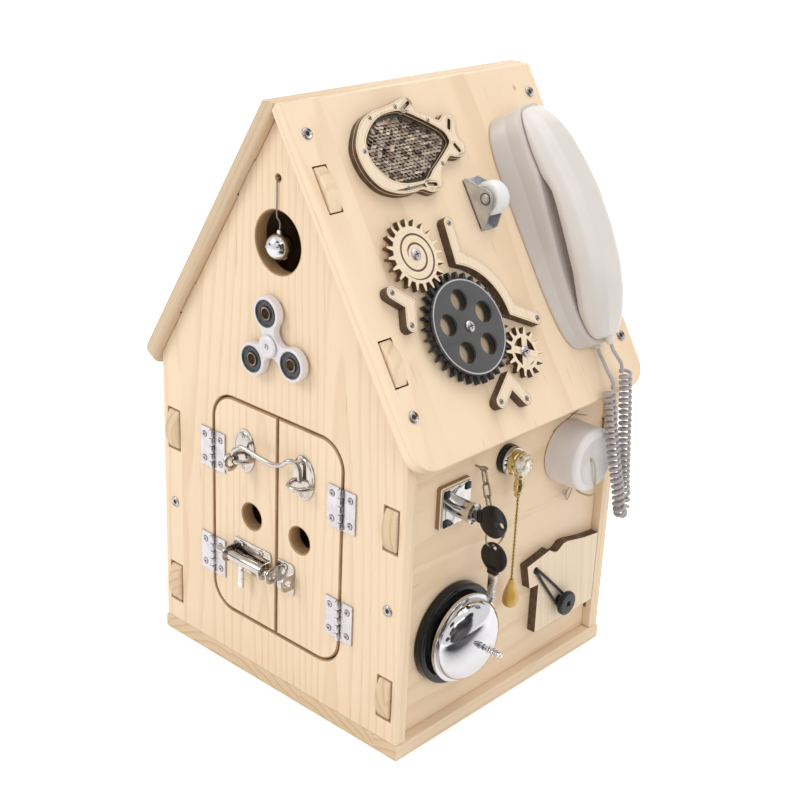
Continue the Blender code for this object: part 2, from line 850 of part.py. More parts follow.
def hinge_leaf(own_knuckles, has_pin):
    """Leaf that reaches to +X from the barrel's axis, which is along Y through the origin."""
    end = hinge_height / 2
    joints = np.linspace(-end, end, knuckle_count + 1)
    clear = knuckle_radius + running_clearance
    spans = []
    for k in own_knuckles:
        low = joints[k] + (running_clearance / 2 if k else 0)
        high = joints[k + 1] - (running_clearance / 2 if k + 1 < knuckle_count else 0)
        spans.append((low, high))
    corners = [(clear, -end)]
    for low, high in spans:
        corners += [(clear, low), (overlap, low), (overlap, high), (clear, high)]
    corners.append((clear, end))
    # A corner listed twice lies on a straight edge, where a knuckle reaches the leaf's end.
    corners = [corner for corner in corners if corners.count(corner) == 1]
    outline = [(hinge_leaf_width, -end)] + corners + [(hinge_leaf_width, end)]
    leaf = slab(outline, -knuckle_radius, hinge_leaf_thickness - knuckle_radius)
    steps = [(JOIN, rod(knuckle_radius, low, high, wire_sides, TURN_TO_Y)) for low, high in spans]
    if has_pin:
        steps.append((JOIN, rod(pin_radius, overlap - end, end - overlap, pin_sides, TURN_TO_Y)))
    else:
        steps.append((CUT, rod(pin_bore_radius, -end - overrun, end + overrun, pin_sides, TURN_TO_Y)))
    return combined(leaf, *steps)


def rod(radius, low, high, sides=small_sides, turn=None):
    made = turned([(0, low), (radius, low), (radius, high), (0, high)], sides)
    return moved(made, turn) if turn else made


for side, name in ((-1, "left"), (1, "right")):
    place(name + "_door", door_mesh(side), pine, front, (side * hinge_place, 0, hinge_axis_height))
    for height, level in ((upper_hinge_height, "upper"), (lower_hinge_height, "lower")):
        at = (side * hinge_place, height, hinge_axis_height)
        to_side = Matrix.Translation(at) @ (HALF_TURN if side < 0 else Matrix())
        away = Matrix.Translation(at) @ (HALF_TURN if side > 0 else Matrix())
        label = f"{name}_{level}_hinge"
        own = range(0, knuckle_count, 2)
        place(label + "_frame_leaf", moved(hinge_leaf(own, True), to_side), steel, front, at)
        own = range(1, knuckle_count, 2)
        place(label + "_door_leaf", moved(hinge_leaf(own, False), away), steel, front, at)


# Cabin hook

staple_height = hook_plate_centre_height - staple_drop


def hook_plate(x):
    """Oval domed plate with its half-ring staple."""
    radius = hook_plate_height / 2
    rim = fit_gap + hook_plate_rim
    profile = [(0, fit_gap), (radius, fit_gap), (radius, rim)]
    for t in hook_plate_crown_shares:
        profile.append((radius * math.sqrt(1 - t * t), rim + (hook_plate_crown - hook_plate_rim) * t))
    profile.append((0, fit_gap + hook_plate_crown))
    narrow = Matrix.Diagonal((hook_plate_width / hook_plate_height, 1, 1, 1))
    plate = moved(turned(profile, 18), shift(x, hook_plate_centre_height) @ narrow)
    foot = fit_gap + hook_plate_rim / 2
    route = [(x + staple_half_width, staple_height, foot)]
    for t in np.radians(np.linspace(12, 168, 8)):
        route.append((x + staple_half_width * math.cos(t), staple_height, staple_reach * math.sin(t)))
    route.append((x - staple_half_width, staple_height, foot))
    return combined(plate, (JOIN, tube(route, hook_rod_radius, wire_sides)))


def hook_place(along_share, rise_share, out_share):
    span = eye_plate_place - hook_plate_place
    return (hook_plate_place + along_share * span, staple_height + rise_share * hook_eye_radius,
            out_share * staple_reach)


def hook_mesh():
    route = smooth([hook_place(*shares) for shares in hook_route_shares], 2)
    eye_height = staple_reach + hook_eye_radius - 2 * hook_rod_radius - hook_eye_play
    eye = [
        (hook_plate_place, staple_height + hook_eye_radius * math.cos(t),
         eye_height + hook_eye_radius * math.sin(t))
        for t in np.linspace(0, 2 * math.pi, 10, endpoint=False)
    ]
    bar = tube(route, hook_rod_radius, wire_sides)
    return combined(bar, (JOIN, tube(eye, hook_rod_radius, wire_sides, closed=True)))


def hook_raise():
    """Angle at which the hook's end just clears the top of the eye's staple."""
    x, z, _ = hook_place(*hook_route_shares[-1])
    arm = x - hook_plate_place - hook_rod_radius
    drop = z - staple_height
    lift = hook_rod_radius + hook_raise_clearance
    return math.asin(lift / math.hypot(arm, drop)) - math.atan2(drop, arm)


place("hook_plate", hook_plate(hook_plate_place), nickel, front)
place("hook_eye_plate", hook_plate(eye_plate_place), nickel, front)
place("door_hook", hook_mesh(), nickel, front, (hook_plate_place, staple_height, staple_reach), hook_raise())
print("hook raised at rest by degrees:", round(math.degrees(hook_raise()), 3))


# Door bolt

CYCLE = Matrix(((0, 0, 1, 0), (1, 0, 0, 0), (0, 1, 0, 0), (0, 0, 0, 1)))


def bolt_ear(left):
    """Upright ear that the bolt passes through, with a round top, from x = left to the right."""
    foot = fit_gap + bolt_plate_thickness / 2
    outline = [(bolt_height - bolt_ear_radius, foot), (bolt_height + bolt_ear_radius, foot)]
    outline += arc((bolt_height, bolt_axis_height), bolt_ear_radius, 0, 180)
    return moved(slab(outline, left, left + bolt_ear_thickness), CYCLE)


def bolt_bore(left, right):
    radius = bolt_rod_radius + running_clearance
    return moved(rod(radius, left, right, hole_sides, TURN_TO_X), shift(0, bolt_height, bolt_axis_height))


def bolt_plate(left, right):
    low, high = bolt_height - bolt_plate_width / 2, bolt_height + bolt_plate_width / 2
    outline = rounded_rectangle(left, right, low, high, bolt_plate_corner, 2)
    return slab(outline, fit_gap, fit_gap + bolt_plate_thickness)


knob_engaged = bolt_plate_right - bolt_ear_thickness - running_clearance - bolt_knob_radius
knob_rest = knob_engaged - bolt_travel

right_ear = bolt_plate_right - bolt_ear_thickness
barrel = moved(rod(bolt_barrel_radius, bolt_plate_left + overlap, right_ear + overlap, hole_sides, TURN_TO_X),
               shift(0, bolt_height, bolt_axis_height))
slot_half = bolt_knob_radius + running_clearance
slot = slab(rectangle(knob_rest - slot_half, right_ear, bolt_height - bolt_plate_width, bolt_height),
            bolt_axis_height - slot_half, bolt_axis_height + slot_half)
place("bolt_barrel",
      combined(bolt_plate(bolt_plate_left, bolt_plate_right), (JOIN, bolt_ear(bolt_plate_left)),
               (JOIN, bolt_ear(right_ear)), (JOIN, barrel), (CUT, slot),
               (CUT, bolt_bore(bolt_plate_left - overrun, bolt_plate_right + overrun))),
      nickel, front)
place("bolt_keeper",
      combined(bolt_plate(keeper_left, keeper_right), (JOIN, bolt_ear(keeper_left)),
               (JOIN, bolt_ear(keeper_right - bolt_ear_thickness)),
               (CUT, bolt_bore(keeper_left - overrun, keeper_right + overrun))),
      nickel, front)
bolt_rod = moved(rod(bolt_rod_radius, bolt_tip_rest - bolt_rod_length, bolt_tip_rest, hole_sides, TURN_TO_X),
                 shift(0, bolt_height, bolt_axis_height))
knob = moved(rod(bolt_knob_radius, -bolt_knob_drop, 0, small_sides, TURN_TO_Y),
             shift(knob_rest, bolt_height, bolt_axis_height))
place("bolt_rod", combined(bolt_rod, (JOIN, knob)), nickel, front,
      (bolt_tip_rest, bolt_height, bolt_axis_height))


# Spinner

def spinner_outline():
    """Three round lobes joined by arcs that touch them and pass the hub at the waist."""
    gap = spinner_lobe_radius - spinner_waist
    valley = (spinner_pitch ** 2 - gap ** 2) / (spinner_pitch + 2 * gap)
    valley_centre = (valley * math.cos(math.radians(60)), valley * math.sin(math.radians(60)))
    lean = math.degrees(math.atan2(valley_centre[1], valley_centre[0] - spinner_pitch))
    third = arc((spinner_pitch, 0), spinner_lobe_radius, -lean, lean, 8)
    third += arc(valley_centre, valley - spinner_waist, lean - 180, -lean - 60, 4)[1:-1]
    points = []
    for k in range(3):
        turn = Matrix.Rotation(math.radians(90 + spinner_turn + 120 * k), 2)
        points += [tuple(turn @ Vector(point)) for point in third]
    return points


lobe_places = [
    (spinner_pitch * math.cos(t), spinner_pitch * math.sin(t))
    for t in np.radians([90 + spinner_turn + 120 * k for k in range(3)])
]
spinner_holes = [circle(centre, spinner_weight_bore + overlap, hole_sides) for centre in lobe_places]
spinner_holes.append(circle((0, 0), spinner_shaft_radius + running_clearance, hole_sides))
weight_profile = [
    (spinner_weight_bore, spinner_low - spinner_weight_proud),
    (spinner_weight_radius, spinner_low - spinner_weight_proud),
    (spinner_weight_radius, spinner_high + spinner_weight_proud),
    (spinner_weight_bore, spinner_high + spinner_weight_proud),
]
weights = [(JOIN, turned(weight_profile, hole_sides, centre)) for centre in lobe_places]
spinner = combined(slab(spinner_outline(), spinner_low, spinner_high, spinner_holes), *weights)
place("spinner_body", moved(spinner, shift(0, spinner_height)), white_plastic, front, (0, spinner_height, 0))

cap_low = spinner_high + spinner_weight_proud + fit_gap
flange_high = spinner_low - spinner_weight_proud - fit_gap
axle_profile = [
    (0, fit_gap), (spinner_waist - overlap, fit_gap), (spinner_waist - overlap, flange_high),
    (spinner_shaft_radius, flange_high), (spinner_shaft_radius, cap_low), (spinner_cap_radius, cap_low),
    (spinner_cap_radius, cap_low + spinner_cap_thickness / 2),
    (spinner_cap_radius - spinner_cap_thickness / 2, cap_low + spinner_cap_thickness),
    (0, cap_low + spinner_cap_thickness),
]
place("spinner_axle", turned(axle_profile, hole_sides, (0, spinner_height)), steel, front)


# Jingle bell in the window

def cord(name, route, radius, finish, parent=None, pivot=(0, 0, 0), resolution=2, end_swell=1):
    """Round cord along the route. Its first point can be swollen into a knot."""
    data = bpy.data.curves.new(name, "CURVE")
    data.dimensions = "3D"
    data.bevel_depth = radius
    data.bevel_resolution = resolution
    data.use_fill_caps = True
    spline = data.splines.new("POLY")
    spline.points.add(len(route) - 1)
    for point, place_on_route in zip(spline.points, route):
        point.co = (*(Vector(place_on_route) - Vector(pivot)), 1)
    for point in list(spline.points)[1:3]:
        point.radius = end_swell
    data.materials.append(finish)
    piece = bpy.data.objects.new(name, data)
    bpy.context.scene.collection.objects.link(piece)
    piece.parent = parent
    piece.location = pivot
    return piece


jingle_top = jingle_height + jingle_radius + jingle_neck_length
jingle_profile = [(0, -jingle_radius)]
for t in np.radians(np.linspace(-64, 64, 6)):
    jingle_profile.append((jingle_radius * math.cos(t), jingle_radius * math.sin(t)))
jingle_profile += [
    (jingle_neck_radius, jingle_radius - overlap), (jingle_neck_radius, jingle_radius + jingle_neck_length),
    (0, jingle_radius + jingle_neck_length),
]
jingle = moved(moved(turned(jingle_profile, hole_sides), TURN_TO_Y), shift(0, jingle_height, -jingle_depth))
bell_pivot = (0, string_hole_height, 0)
place("jingle_bell", jingle, chrome, front, bell_pivot)
behind = -gable_thickness - fit_gap
string_route = [
    (0, string_hole_height, behind - 2 * string_knot_radius),
    (0, string_hole_height, behind - 1.5 * string_knot_radius),
    (0, string_hole_height, behind - string_knot_radius / 2),
    (0, string_hole_height, behind),
    (0, string_hole_height, -string_hole_radius),
    (0, string_hole_height, string_front / 2),
    (0, string_hole_height - string_hole_radius / 2, string_front),
    (0, (string_hole_height + string_bend_height) / 2, string_front),
    (0, string_bend_height, string_front),
    (0, string_bend_height - string_hole_radius, 0),
    (0, (string_bend_height + jingle_top) / 2, -jingle_depth),
    (0, jingle_top + fit_gap, -jingle_depth),
]
cord("bell_string", string_route, string_radius, string, front, bell_pivot,
     end_swell=string_knot_radius / string_radius)


# Counter bell on the wall

dome_rise = bell_top - bell_rim_low - bell_rim_thickness
dome_foot = bell_rim_low + bell_rim_thickness
plunger_bore = bell_plunger_radius + running_clearance
post_top = dome_foot + (dome_rise - bell_wall) * math.sqrt(
    1 - (bell_post_radius / (bell_shoulder_radius - bell_wall)) ** 2) - fit_gap
bell_bore_floor = bell_base_thickness / 2
place("bell_base", turned([
    (0, fit_gap), (bell_base_radius, fit_gap), (bell_base_radius, bell_base_thickness - bell_base_round),
    (bell_base_radius - bell_base_round, bell_base_thickness), (bell_post_radius, bell_base_thickness),
    (bell_post_radius, post_top), (plunger_bore, post_top), (plunger_bore, bell_bore_floor),
    (0, bell_bore_floor),
], round_sides, bell_place), black_plastic, wall)


def dome_curve(radius, rise):
    last = math.degrees(math.acos(plunger_bore / radius))
    return [
        (radius * math.cos(t), dome_foot + rise * math.sin(t)) for t in np.radians(np.linspace(0, last, 6))
    ]


dome_profile = [(bell_rim_radius, bell_rim_low), (bell_rim_radius, dome_foot)]
dome_profile += dome_curve(bell_shoulder_radius, dome_rise)
dome_profile += dome_curve(bell_shoulder_radius - bell_wall, dome_rise - bell_wall)[:0:-1]
dome_profile += [
    (bell_shoulder_radius - bell_wall, dome_foot - bell_wall),
    (bell_rim_radius - bell_wall, dome_foot - bell_wall), (bell_rim_radius - bell_wall, bell_rim_low),
]
place("bell_dome", turned(dome_profile, round_sides, bell_place), chrome, wall)

head_low = bell_top + bell_travel + fit_gap
plunger_bottom = bell_bore_floor + bell_travel + fit_gap
head_length = bell_plunger_top - head_low
plunger_profile = [(0, plunger_bottom), (bell_plunger_radius, plunger_bottom), (bell_plunger_radius, head_low)]
for radius_share, height_share in bell_head_shares:
    plunger_profile.append((radius_share * bell_plunger_head, head_low + height_share * head_length))
plunger_profile.append((0, bell_plunger_top))
place("bell_plunger", turned(plunger_profile, small_sides, bell_place), chrome, wall, (*bell_place, head_low))


# Cam lock and its key

SWAP_XZ = Matrix(((0, 0, 1, 0), (0, 1, 0, 0), (1, 0, 0, 0), (0, 0, 0, 1)))


def square(centre, size):
    half = size / 2
    return rounded_rectangle(centre[0] - half, centre[0] + half, centre[1] - half, centre[1] + half,
                             lock_corner, 2)


backing_high = fit_gap + lock_backing_thickness
lock_plate_low = backing_high + fit_gap
place("lock_backing", slab(square(lock_plate_place, lock_backing_size), fit_gap, backing_high), ply, wall)
lock_plate = slab(square(lock_plate_place, lock_plate_size), lock_plate_low,
                  lock_plate_low + lock_plate_thickness)
lock_cylinder = turned([(0, lock_plate_low + overlap), (lock_radius, lock_plate_low + overlap),
                        (lock_radius, lock_front - overlap), (lock_radius - overlap, lock_front),
                        (0, lock_front)], hole_sides, lock_place)
plug_floor = lock_front - lock_plug_depth
plug_bore = turned([(0, plug_floor), (lock_plug_radius + running_clearance, plug_floor),
                    (lock_plug_radius + running_clearance, lock_front + overrun),
                    (0, lock_front + overrun)], hole_sides, lock_place)
place("lock_body", combined(lock_plate, (JOIN, lock_cylinder), (CUT, plug_bore)), chrome, wall)


def key_bow(radius, thickness, hole_up):
    """Round bow that stands on edge, with its hole away from the wall or, hole_up, above its middle."""
    hole_place = (0, key_hole_offset) if hole_up else (key_hole_offset, 0)
    bow = slab(circle((0, 0), radius, 20), -thickness / 2, thickness / 2,
               [circle(hole_place, key_hole_radius, small_sides)])
    return moved(bow, SWAP_XZ)


plug = turned([(0, plug_floor + fit_gap), (lock_plug_radius, plug_floor + fit_gap),
               (lock_plug_radius, lock_front - fit_gap), (0, lock_front - fit_gap)], hole_sides)
blade = slab(rectangle(-key_blade_thickness / 2, key_blade_thickness / 2,
                       -key_blade_width / 2, key_blade_width / 2),
             lock_front - overrun, key_bow_height - key_bow_radius + overlap)
bow = moved(key_bow(key_bow_radius, key_bow_thickness, False), shift(0, 0, key_bow_height))
lock_key = combined(plug, (JOIN, blade), (JOIN, bow))
place("lock_key", moved(lock_key, shift(*lock_place)), black_plastic, wall, (*lock_place, key_bow_height))


# Chain from its screw eye to the split ring, and the spare key on the ring

def ring_point(angle):
    t = math.radians(angle)
    return Vector((ring_centre[0] + ring_radius * math.cos(t), ring_centre[1] + ring_radius * math.sin(t),
                   ring_centre[2]))


def chain_link(start, end, flat):
    """Oval link whose ends lie at these two points, in one of two planes a quarter turn apart."""
    start, end = Vector(start), Vector(end)
    length, width = (end - start).length, chain_link_width - 2 * chain_wire
    straight = length / 2 - width / 2
    oval = arc((straight, 0), width / 2, -90, 90, 2) + arc((-straight, 0), width / 2, 90, 270, 2)
    along = (end - start).normalized()
    across = along.cross(Vector((0, 0, 1))).normalized()
    other = along.cross(across)
    side = across if flat else other
    middle = (start + end) / 2
    return tube([tuple(middle + along * x + side * y) for x, y in oval], chain_wire, chain_sides, closed=True)


eye_radius = chain_link_width / 2 - chain_wire
eye_height = fit_gap + 3 * eye_radius
screw_eye = tube([(chain_hook_place[0] + eye_radius * math.cos(t), chain_hook_place[1],
                   eye_height + eye_radius * math.sin(t))
                  for t in np.linspace(0, 2 * math.pi, 10, endpoint=False)], chain_wire, chain_sides,
                 closed=True)
eye_stem = moved(rod(chain_wire, fit_gap, eye_height - eye_radius, 8), shift(*chain_hook_place))
chain_start = Vector((*chain_hook_place, eye_height))
chain_end = ring_point(120)
chain_along = (chain_end - chain_start).normalized()
chain_start += chain_along * (eye_radius / 2)
chain_end += chain_along * chain_wire
bite = chain_wire * 0.8
chain_pitch = ((chain_end - chain_start).length - 2 * bite) / chain_links
chain_steps = [(JOIN, eye_stem)]
for k in range(chain_links):
    link_start = chain_start + chain_along * (k * chain_pitch)
    link_end = link_start + chain_along * (chain_pitch + 2 * bite)
    chain_steps.append((JOIN, chain_link(link_start, link_end, k % 2 == 0)))
split_ring = tube([tuple(ring_point(angle)) for angle in range(0, 360, 24)], chain_wire, chain_sides,
                  closed=True)
chain_steps.append((JOIN, split_ring))
place("key_chain", combined(screw_eye, *chain_steps), nickel, wall)

spare_bow = key_bow(spare_bow_radius, spare_bow_thickness, True)
spare_blade_top = -spare_bow_radius + overlap
spare_blade = slab(rectangle(-spare_bow_thickness / 3, spare_bow_thickness / 3,
                             spare_blade_top - spare_blade_length, spare_blade_top),
                   -key_blade_width / 2, key_blade_width / 2)
spare_pivot = tuple(ring_point(270))
spare_drop = key_hole_radius - chain_wire - fit_gap
spare_place = shift(spare_pivot[0], spare_pivot[1] - spare_drop - key_hole_offset, spare_pivot[2])
place("spare_key", moved(combined(spare_bow, (JOIN, spare_blade)), spare_place), black_plastic, wall,
      spare_pivot)


# Pull switch with its bead chain

switch_profile = [(0, fit_gap)]
for radius_share, height_share in switch_shares:
    switch_profile.append((radius_share * switch_base_radius,
                           fit_gap + height_share * (switch_front - fit_gap)))
switch_profile.append((0, switch_front))
chain_bore_radius = chain_bead_radius + running_clearance
chain_bore_top = chain_top + running_clearance
neck_place = shift(switch_place[0], 0, switch_neck_place)
neck = moved(rod(switch_neck_radius, switch_neck_bottom, switch_place[1], small_sides, TURN_TO_Y), neck_place)
neck_bore = moved(rod(chain_bore_radius, switch_neck_bottom - overrun, chain_bore_top, wire_sides, TURN_TO_Y),
                  neck_place)
place("switch_body", combined(turned(switch_profile, hole_sides, switch_place), (JOIN, neck), (CUT, neck_bore)),
      brass, wall)

knob_top = chain_top - chain_beads * chain_bead_pitch
bead_profile = [(0, knob_top - overlap), (chain_core_radius, knob_top - overlap)]
for k in range(chain_beads):
    bead_profile += [(chain_core_radius, knob_top + k * chain_bead_pitch),
                     (chain_bead_radius, knob_top + (k + 0.5) * chain_bead_pitch)]
bead_profile += [(chain_core_radius, chain_top), (0, chain_top)]
knob_profile = [(0, knob_top - pull_knob_length)]
for radius_share, height_share in pull_knob_shares:
    knob_profile.append((radius_share * pull_knob_radius, knob_top - (1 - height_share) * pull_knob_length))
knob_profile.append((0, knob_top))
pull_chain = combined(turned(knob_profile, small_sides), (JOIN, turned(bead_profile, chain_sides)))
place("pull_chain", moved(moved(pull_chain, TURN_TO_Y), neck_place), amber, wall,
      (switch_place[0], knob_top, switch_neck_place))


# White drum and its cord

dish_radius = drum_radius - 1.6 * drum_round
drum_hole_floor = drum_height - drum_dish - drum_round
drum_profile = [(0, fit_gap), (drum_radius, fit_gap)]
drum_profile += [
    (drum_radius - drum_round + drum_round * math.cos(t), drum_height - drum_round + drum_round * math.sin(t))
    for t in np.radians([0, 45, 90])
]
drum_profile += [(dish_radius, drum_height), (dish_radius / 2, drum_height - 0.8 * drum_dish),
                 (drum_hole_radius, drum_height - drum_dish), (drum_hole_radius, drum_hole_floor),
                 (0, drum_hole_floor)]
place("drum", turned(drum_profile, round_sides, drum_place), white_plastic, wall)
drum_cord_points = [(drum_place[0] + across, drum_place[1] + up, out) for across, up, out in drum_cord_route]
cord("drum_cord", drum_cord_points, drum_cord_radius, string, wall)


# Raised panel with its button and elastic loop

panel_width = panel_right - panel_left
panel_height = panel_top - panel_bottom
panel_outline = [(panel_left + u * panel_width, panel_bottom + v * panel_height) for u, v in panel_shares]
panel_face = fit_gap + panel_thickness
loop_hole = circle(loop_hole_place, loop_hole_radius, small_sides)
place("ply_panel", slab(panel_outline, fit_gap, panel_face, [loop_hole]), ply, wall)
stem_low = panel_face + fit_gap
cap_under = stem_low + button_stem_height
cap_high = cap_under + button_thickness
place("button", turned([
    (0, stem_low), (button_stem_radius, stem_low), (button_stem_radius, cap_under), (button_radius, cap_under),
    (button_radius, cap_high - overlap), (button_radius - 2 * overlap, cap_high), (0, cap_high),
], 20, button_place), black_plastic, wall)


def elastic_route():
    """From the hole to the button's stem, round it and back into the same hole."""
    hole, stem = Vector(loop_hole_place), Vector(button_place)
    along = (stem - hole).normalized()
    across = Vector((-along.y, along.x))
    apart = loop_cord_radius + fit_gap / 2
    reach = button_stem_radius + loop_cord_radius + fit_gap
    level = stem_low + button_stem_height / 2
    mouth = panel_face + loop_cord_radius + fit_gap
    inside = fit_gap + panel_thickness / 2
    half = [
        (*(hole + across * apart), inside),
        (*(hole + across * apart), panel_face),
        (*(hole + across * apart + along * loop_hole_radius), mouth),
    ]
    far = 0.9 * (stem - hole).length
    for share in (0.25, 0.5, 0.75):
        spread = apart + share * (reach - apart)
        half.append((*(hole + across * spread + along * share * far), mouth + share * (level - mouth)))
    round_stem = []
    for angle in (90, 60, 30, 0, -30, -60, -90):
        t = math.radians(angle)
        round_stem.append((*(stem + along * reach * math.cos(t) + across * reach * math.sin(t)), level))
    other = []
    for point in reversed(half):
        flat = Vector(point[:2]) - hole
        flat = flat - 2 * across * flat.dot(across)
        other.append((*(hole + flat), point[2]))
    return half + round_stem + other


cord("elastic_loop", elastic_route(), loop_cord_radius, black_plastic, wall)


# Gears, their axles and their guards

def gear_outline(teeth, turn):
    pitch = gear_module * teeth / 2
    root = pitch - gear_dedendum_share * gear_module
    tip = pitch + gear_addendum_share * gear_module
    step = 360 / teeth
    points = []
    for k in range(teeth):
        for radius, share in ((root, -gear_root_share), (tip, -gear_tip_share),
                              (tip, gear_tip_share), (root, gear_root_share)):
            t = math.radians(turn + (k + share) * step)
            points.append((radius * math.cos(t), radius * math.sin(t)))
    return points


def toward(angle, distance, origin=(0, 0)):
    t = math.radians(angle)
    return (origin[0] + distance * math.cos(t), origin[1] + distance * math.sin(t))


def pitch_radius(teeth):
    return gear_module * teeth / 2


gear_bore = circle((0, 0), gear_shaft_radius + running_clearance, small_sides)
gear_high = gear_low + gear_thickness
disc_low = gear_high + fit_gap
disc_high = disc_low + gear_disc_thickness
drive_turn = spiral_gear_direction
spiral_turn = spiral_gear_direction + 180 + 180 / spiral_teeth
tooth_offset = (drive_turn - small_gear_direction) % (360 / drive_teeth)
small_turn = small_gear_direction + 180 - tooth_offset * drive_teeth / small_teeth + 180 / small_teeth
spiral_gear_place = toward(spiral_gear_direction, pitch_radius(drive_teeth + spiral_teeth) + gear_mesh_slack,
                           drive_gear_place)
small_gear_place = toward(small_gear_direction, pitch_radius(drive_teeth + small_teeth) + gear_mesh_slack,
                          drive_gear_place)
windows = [
    circle(toward(gear_window_turn + 360 * k / gear_windows, gear_window_pitch), gear_window_radius, window_sides)
    for k in range(gear_windows)
]
cutouts = []
for k in range(4):
    middle = small_window_turn + 90 * k
    cutouts.append([toward(middle, small_window_inner), toward(middle - 30, small_window_outer),
                    toward(middle + 30, small_window_outer)])


def place_gear(name, mesh, finish, at):
    place(name, moved(mesh, shift(*at)), finish, roof, (*at, gear_low))


def gear_axle(name, at, top):
    profile = [
        (0, fit_gap), (gear_washer_radius, fit_gap), (gear_washer_radius, gear_low - fit_gap),
        (gear_shaft_radius, gear_low - fit_gap), (gear_shaft_radius, top + fit_gap),
        (gear_head_radius, top + fit_gap), (0.7 * gear_head_radius, top + fit_gap + gear_head_thickness),
        (0, top + fit_gap + gear_head_thickness),
    ]
    place(name, turned(profile, small_sides, at), nickel, roof)


place_gear("drive_gear", slab(gear_outline(drive_teeth, drive_turn), gear_low, gear_high,
                              [gear_bore] + windows), black_plastic, drive_gear_place)
place_gear("gear_disc", slab(circle((0, 0), gear_disc_radius, 36), disc_low, disc_high,
                             [gear_bore] + windows), grey_plastic, drive_gear_place)
place_gear("spiral_gear", slab(gear_outline(spiral_teeth, spiral_turn), gear_low, gear_high, [gear_bore]),
           ply, spiral_gear_place)
place_gear("small_gear", slab(gear_outline(small_teeth, small_turn), gear_low, gear_high,
                              [gear_bore] + cutouts), ply, small_gear_place)
gear_axle("drive_gear_axle", drive_gear_place, disc_high)
gear_axle("spiral_gear_axle", spiral_gear_place, gear_high)
gear_axle("small_gear_axle", small_gear_place, gear_high)

top_guard_route = [top_guard_head] + arc(drive_gear_place, top_guard_radius, top_guard_start, top_guard_end)
for name, route in (("top_guard", top_guard_route + [top_guard_tail]), ("left_guard", left_guard_route),
                    ("lower_guard", lower_guard_route)):
    place(name, slab(ribbon(route, guard_width, 6), fit_gap, fit_gap + guard_thickness), ply, roof)


# Fish

def fish_points(shares, scale=1):
    points = [(fish_centre[0] + u * fish_size, fish_centre[1] + v * fish_size) for u, v in shares]
    middle = Vector((sum(x for x, y in points), sum(y for x, y in points))) / len(points)
    return [tuple(middle + (Vector(point) - middle) * scale) for point in smooth(points, 2, closed=True)]


opening_scale = 1 - 4 * fit_gap / fish_size * 4
place("fish_frame", slab(fish_points(fish_outline_shares), fit_gap, fit_gap + fish_thickness,
                         [fish_points(fish_opening_shares)]), ply, roof)
place("sequin_cloth", slab(fish_points(fish_opening_shares, opening_scale), fit_gap, sequin_high),
      sequins, roof)


# Fixed caster

cheek_inside = caster_wheel_width / 2 + running_clearance
cheek_outside = cheek_inside + caster_cheek_thickness
half_length = caster_plate_length / 2
caster_plate_high = fit_gap + caster_plate_thickness
across, along = caster_place
bracket_base = slab(rectangle(across - cheek_outside, across + cheek_outside, along - half_length,
                              along + half_length), fit_gap, caster_plate_high)
cheek_round = caster_rivet_radius * 2
cheek_outline = [(along + half_length, fit_gap), (along + half_length, 2 * caster_plate_high)]
cheek_outline += arc((along, caster_axle_height), cheek_round, 35, 145)
cheek_outline += [(along - half_length, 2 * caster_plate_high), (along - half_length, fit_gap)]
axle_place = shift(across, along, caster_axle_height)
axle = turned([
    (0, -cheek_outside - caster_rivet_height), (caster_rivet_radius, -cheek_outside - caster_rivet_height),
    (caster_rivet_radius, -cheek_inside - overlap), (caster_axle_radius, -cheek_inside - overlap),
    (caster_axle_radius, cheek_inside + overlap), (caster_rivet_radius, cheek_inside + overlap),
    (caster_rivet_radius, cheek_outside + caster_rivet_height), (0, cheek_outside + caster_rivet_height),
], small_sides)
cheeks = [
    (JOIN, moved(slab(cheek_outline, across + low, across + high), CYCLE))
    for low, high in ((-cheek_outside, -cheek_inside), (cheek_inside, cheek_outside))
]
place("caster_bracket", combined(bracket_base, *cheeks, (JOIN, moved(axle, axle_place @ TURN_TO_X))),
      steel, roof)
wheel_bore = caster_axle_radius + running_clearance
wheel_half = caster_wheel_width / 2
wheel = turned([
    (wheel_bore, -wheel_half), (caster_wheel_radius - caster_wheel_round, -wheel_half),
    (caster_wheel_radius, caster_wheel_round - wheel_half),
    (caster_wheel_radius, wheel_half - caster_wheel_round),
    (caster_wheel_radius - caster_wheel_round, wheel_half), (wheel_bore, wheel_half),
])
place("caster_wheel", moved(wheel, axle_place @ TURN_TO_X), white_plastic, roof,
      (across, along, caster_axle_height))


# Telephone

def between(shares, position):
    return float(np.interp(position, [u for u, v in shares], [v for u, v in shares]))


def rim_height(along):
    return phone_rim_height * between(phone_rim_shares, (along - phone_low) / (phone_high - phone_low))


def end_rounding(low, high):
    """(place along, share of the full width) of the sections of a body with rounded ends."""
    middle, half = (low + high) / 2, (high - low) / 2
    rounded = {}
    for degrees in (6, 14, 26, 42, 60, 90, 120, 138, 154, 166, 174):
        t = math.radians(degrees)
        along_share = math.copysign(abs(math.cos(t)) ** phone_end_power, math.cos(t))
        rounded[middle - half * along_share] = math.sin(t) ** phone_end_power
    places = sorted(rounded)
    shares = [(place_along, rounded[place_along]) for place_along in places]
    for u, _ in phone_rim_shares:
        knot = phone_low + u * (phone_high - phone_low)
        if places[0] < knot < places[-1]:
            rounded[knot] = between(shares, knot)
    return sorted(rounded.items())


def phone_base_mesh():
    sections = []
    for along_at, width_share in end_rounding(phone_low, phone_high):
        foot = phone_base_half_width * width_share
        top = phone_rim_half_width * width_share
        high = rim_height(along_at)
        shoulder = high - phone_edge_round
        right = [(foot, fit_gap), ((foot + 3 * top) / 4, high / 2), (top, shoulder),
                 (top - phone_edge_round * width_share, high)]
        sections.append([(phone_centre + x, along_at, z) for x, z in right]
                        + [(phone_centre - x, along_at, z) for x, z in reversed(right)])
    return loft(sections)


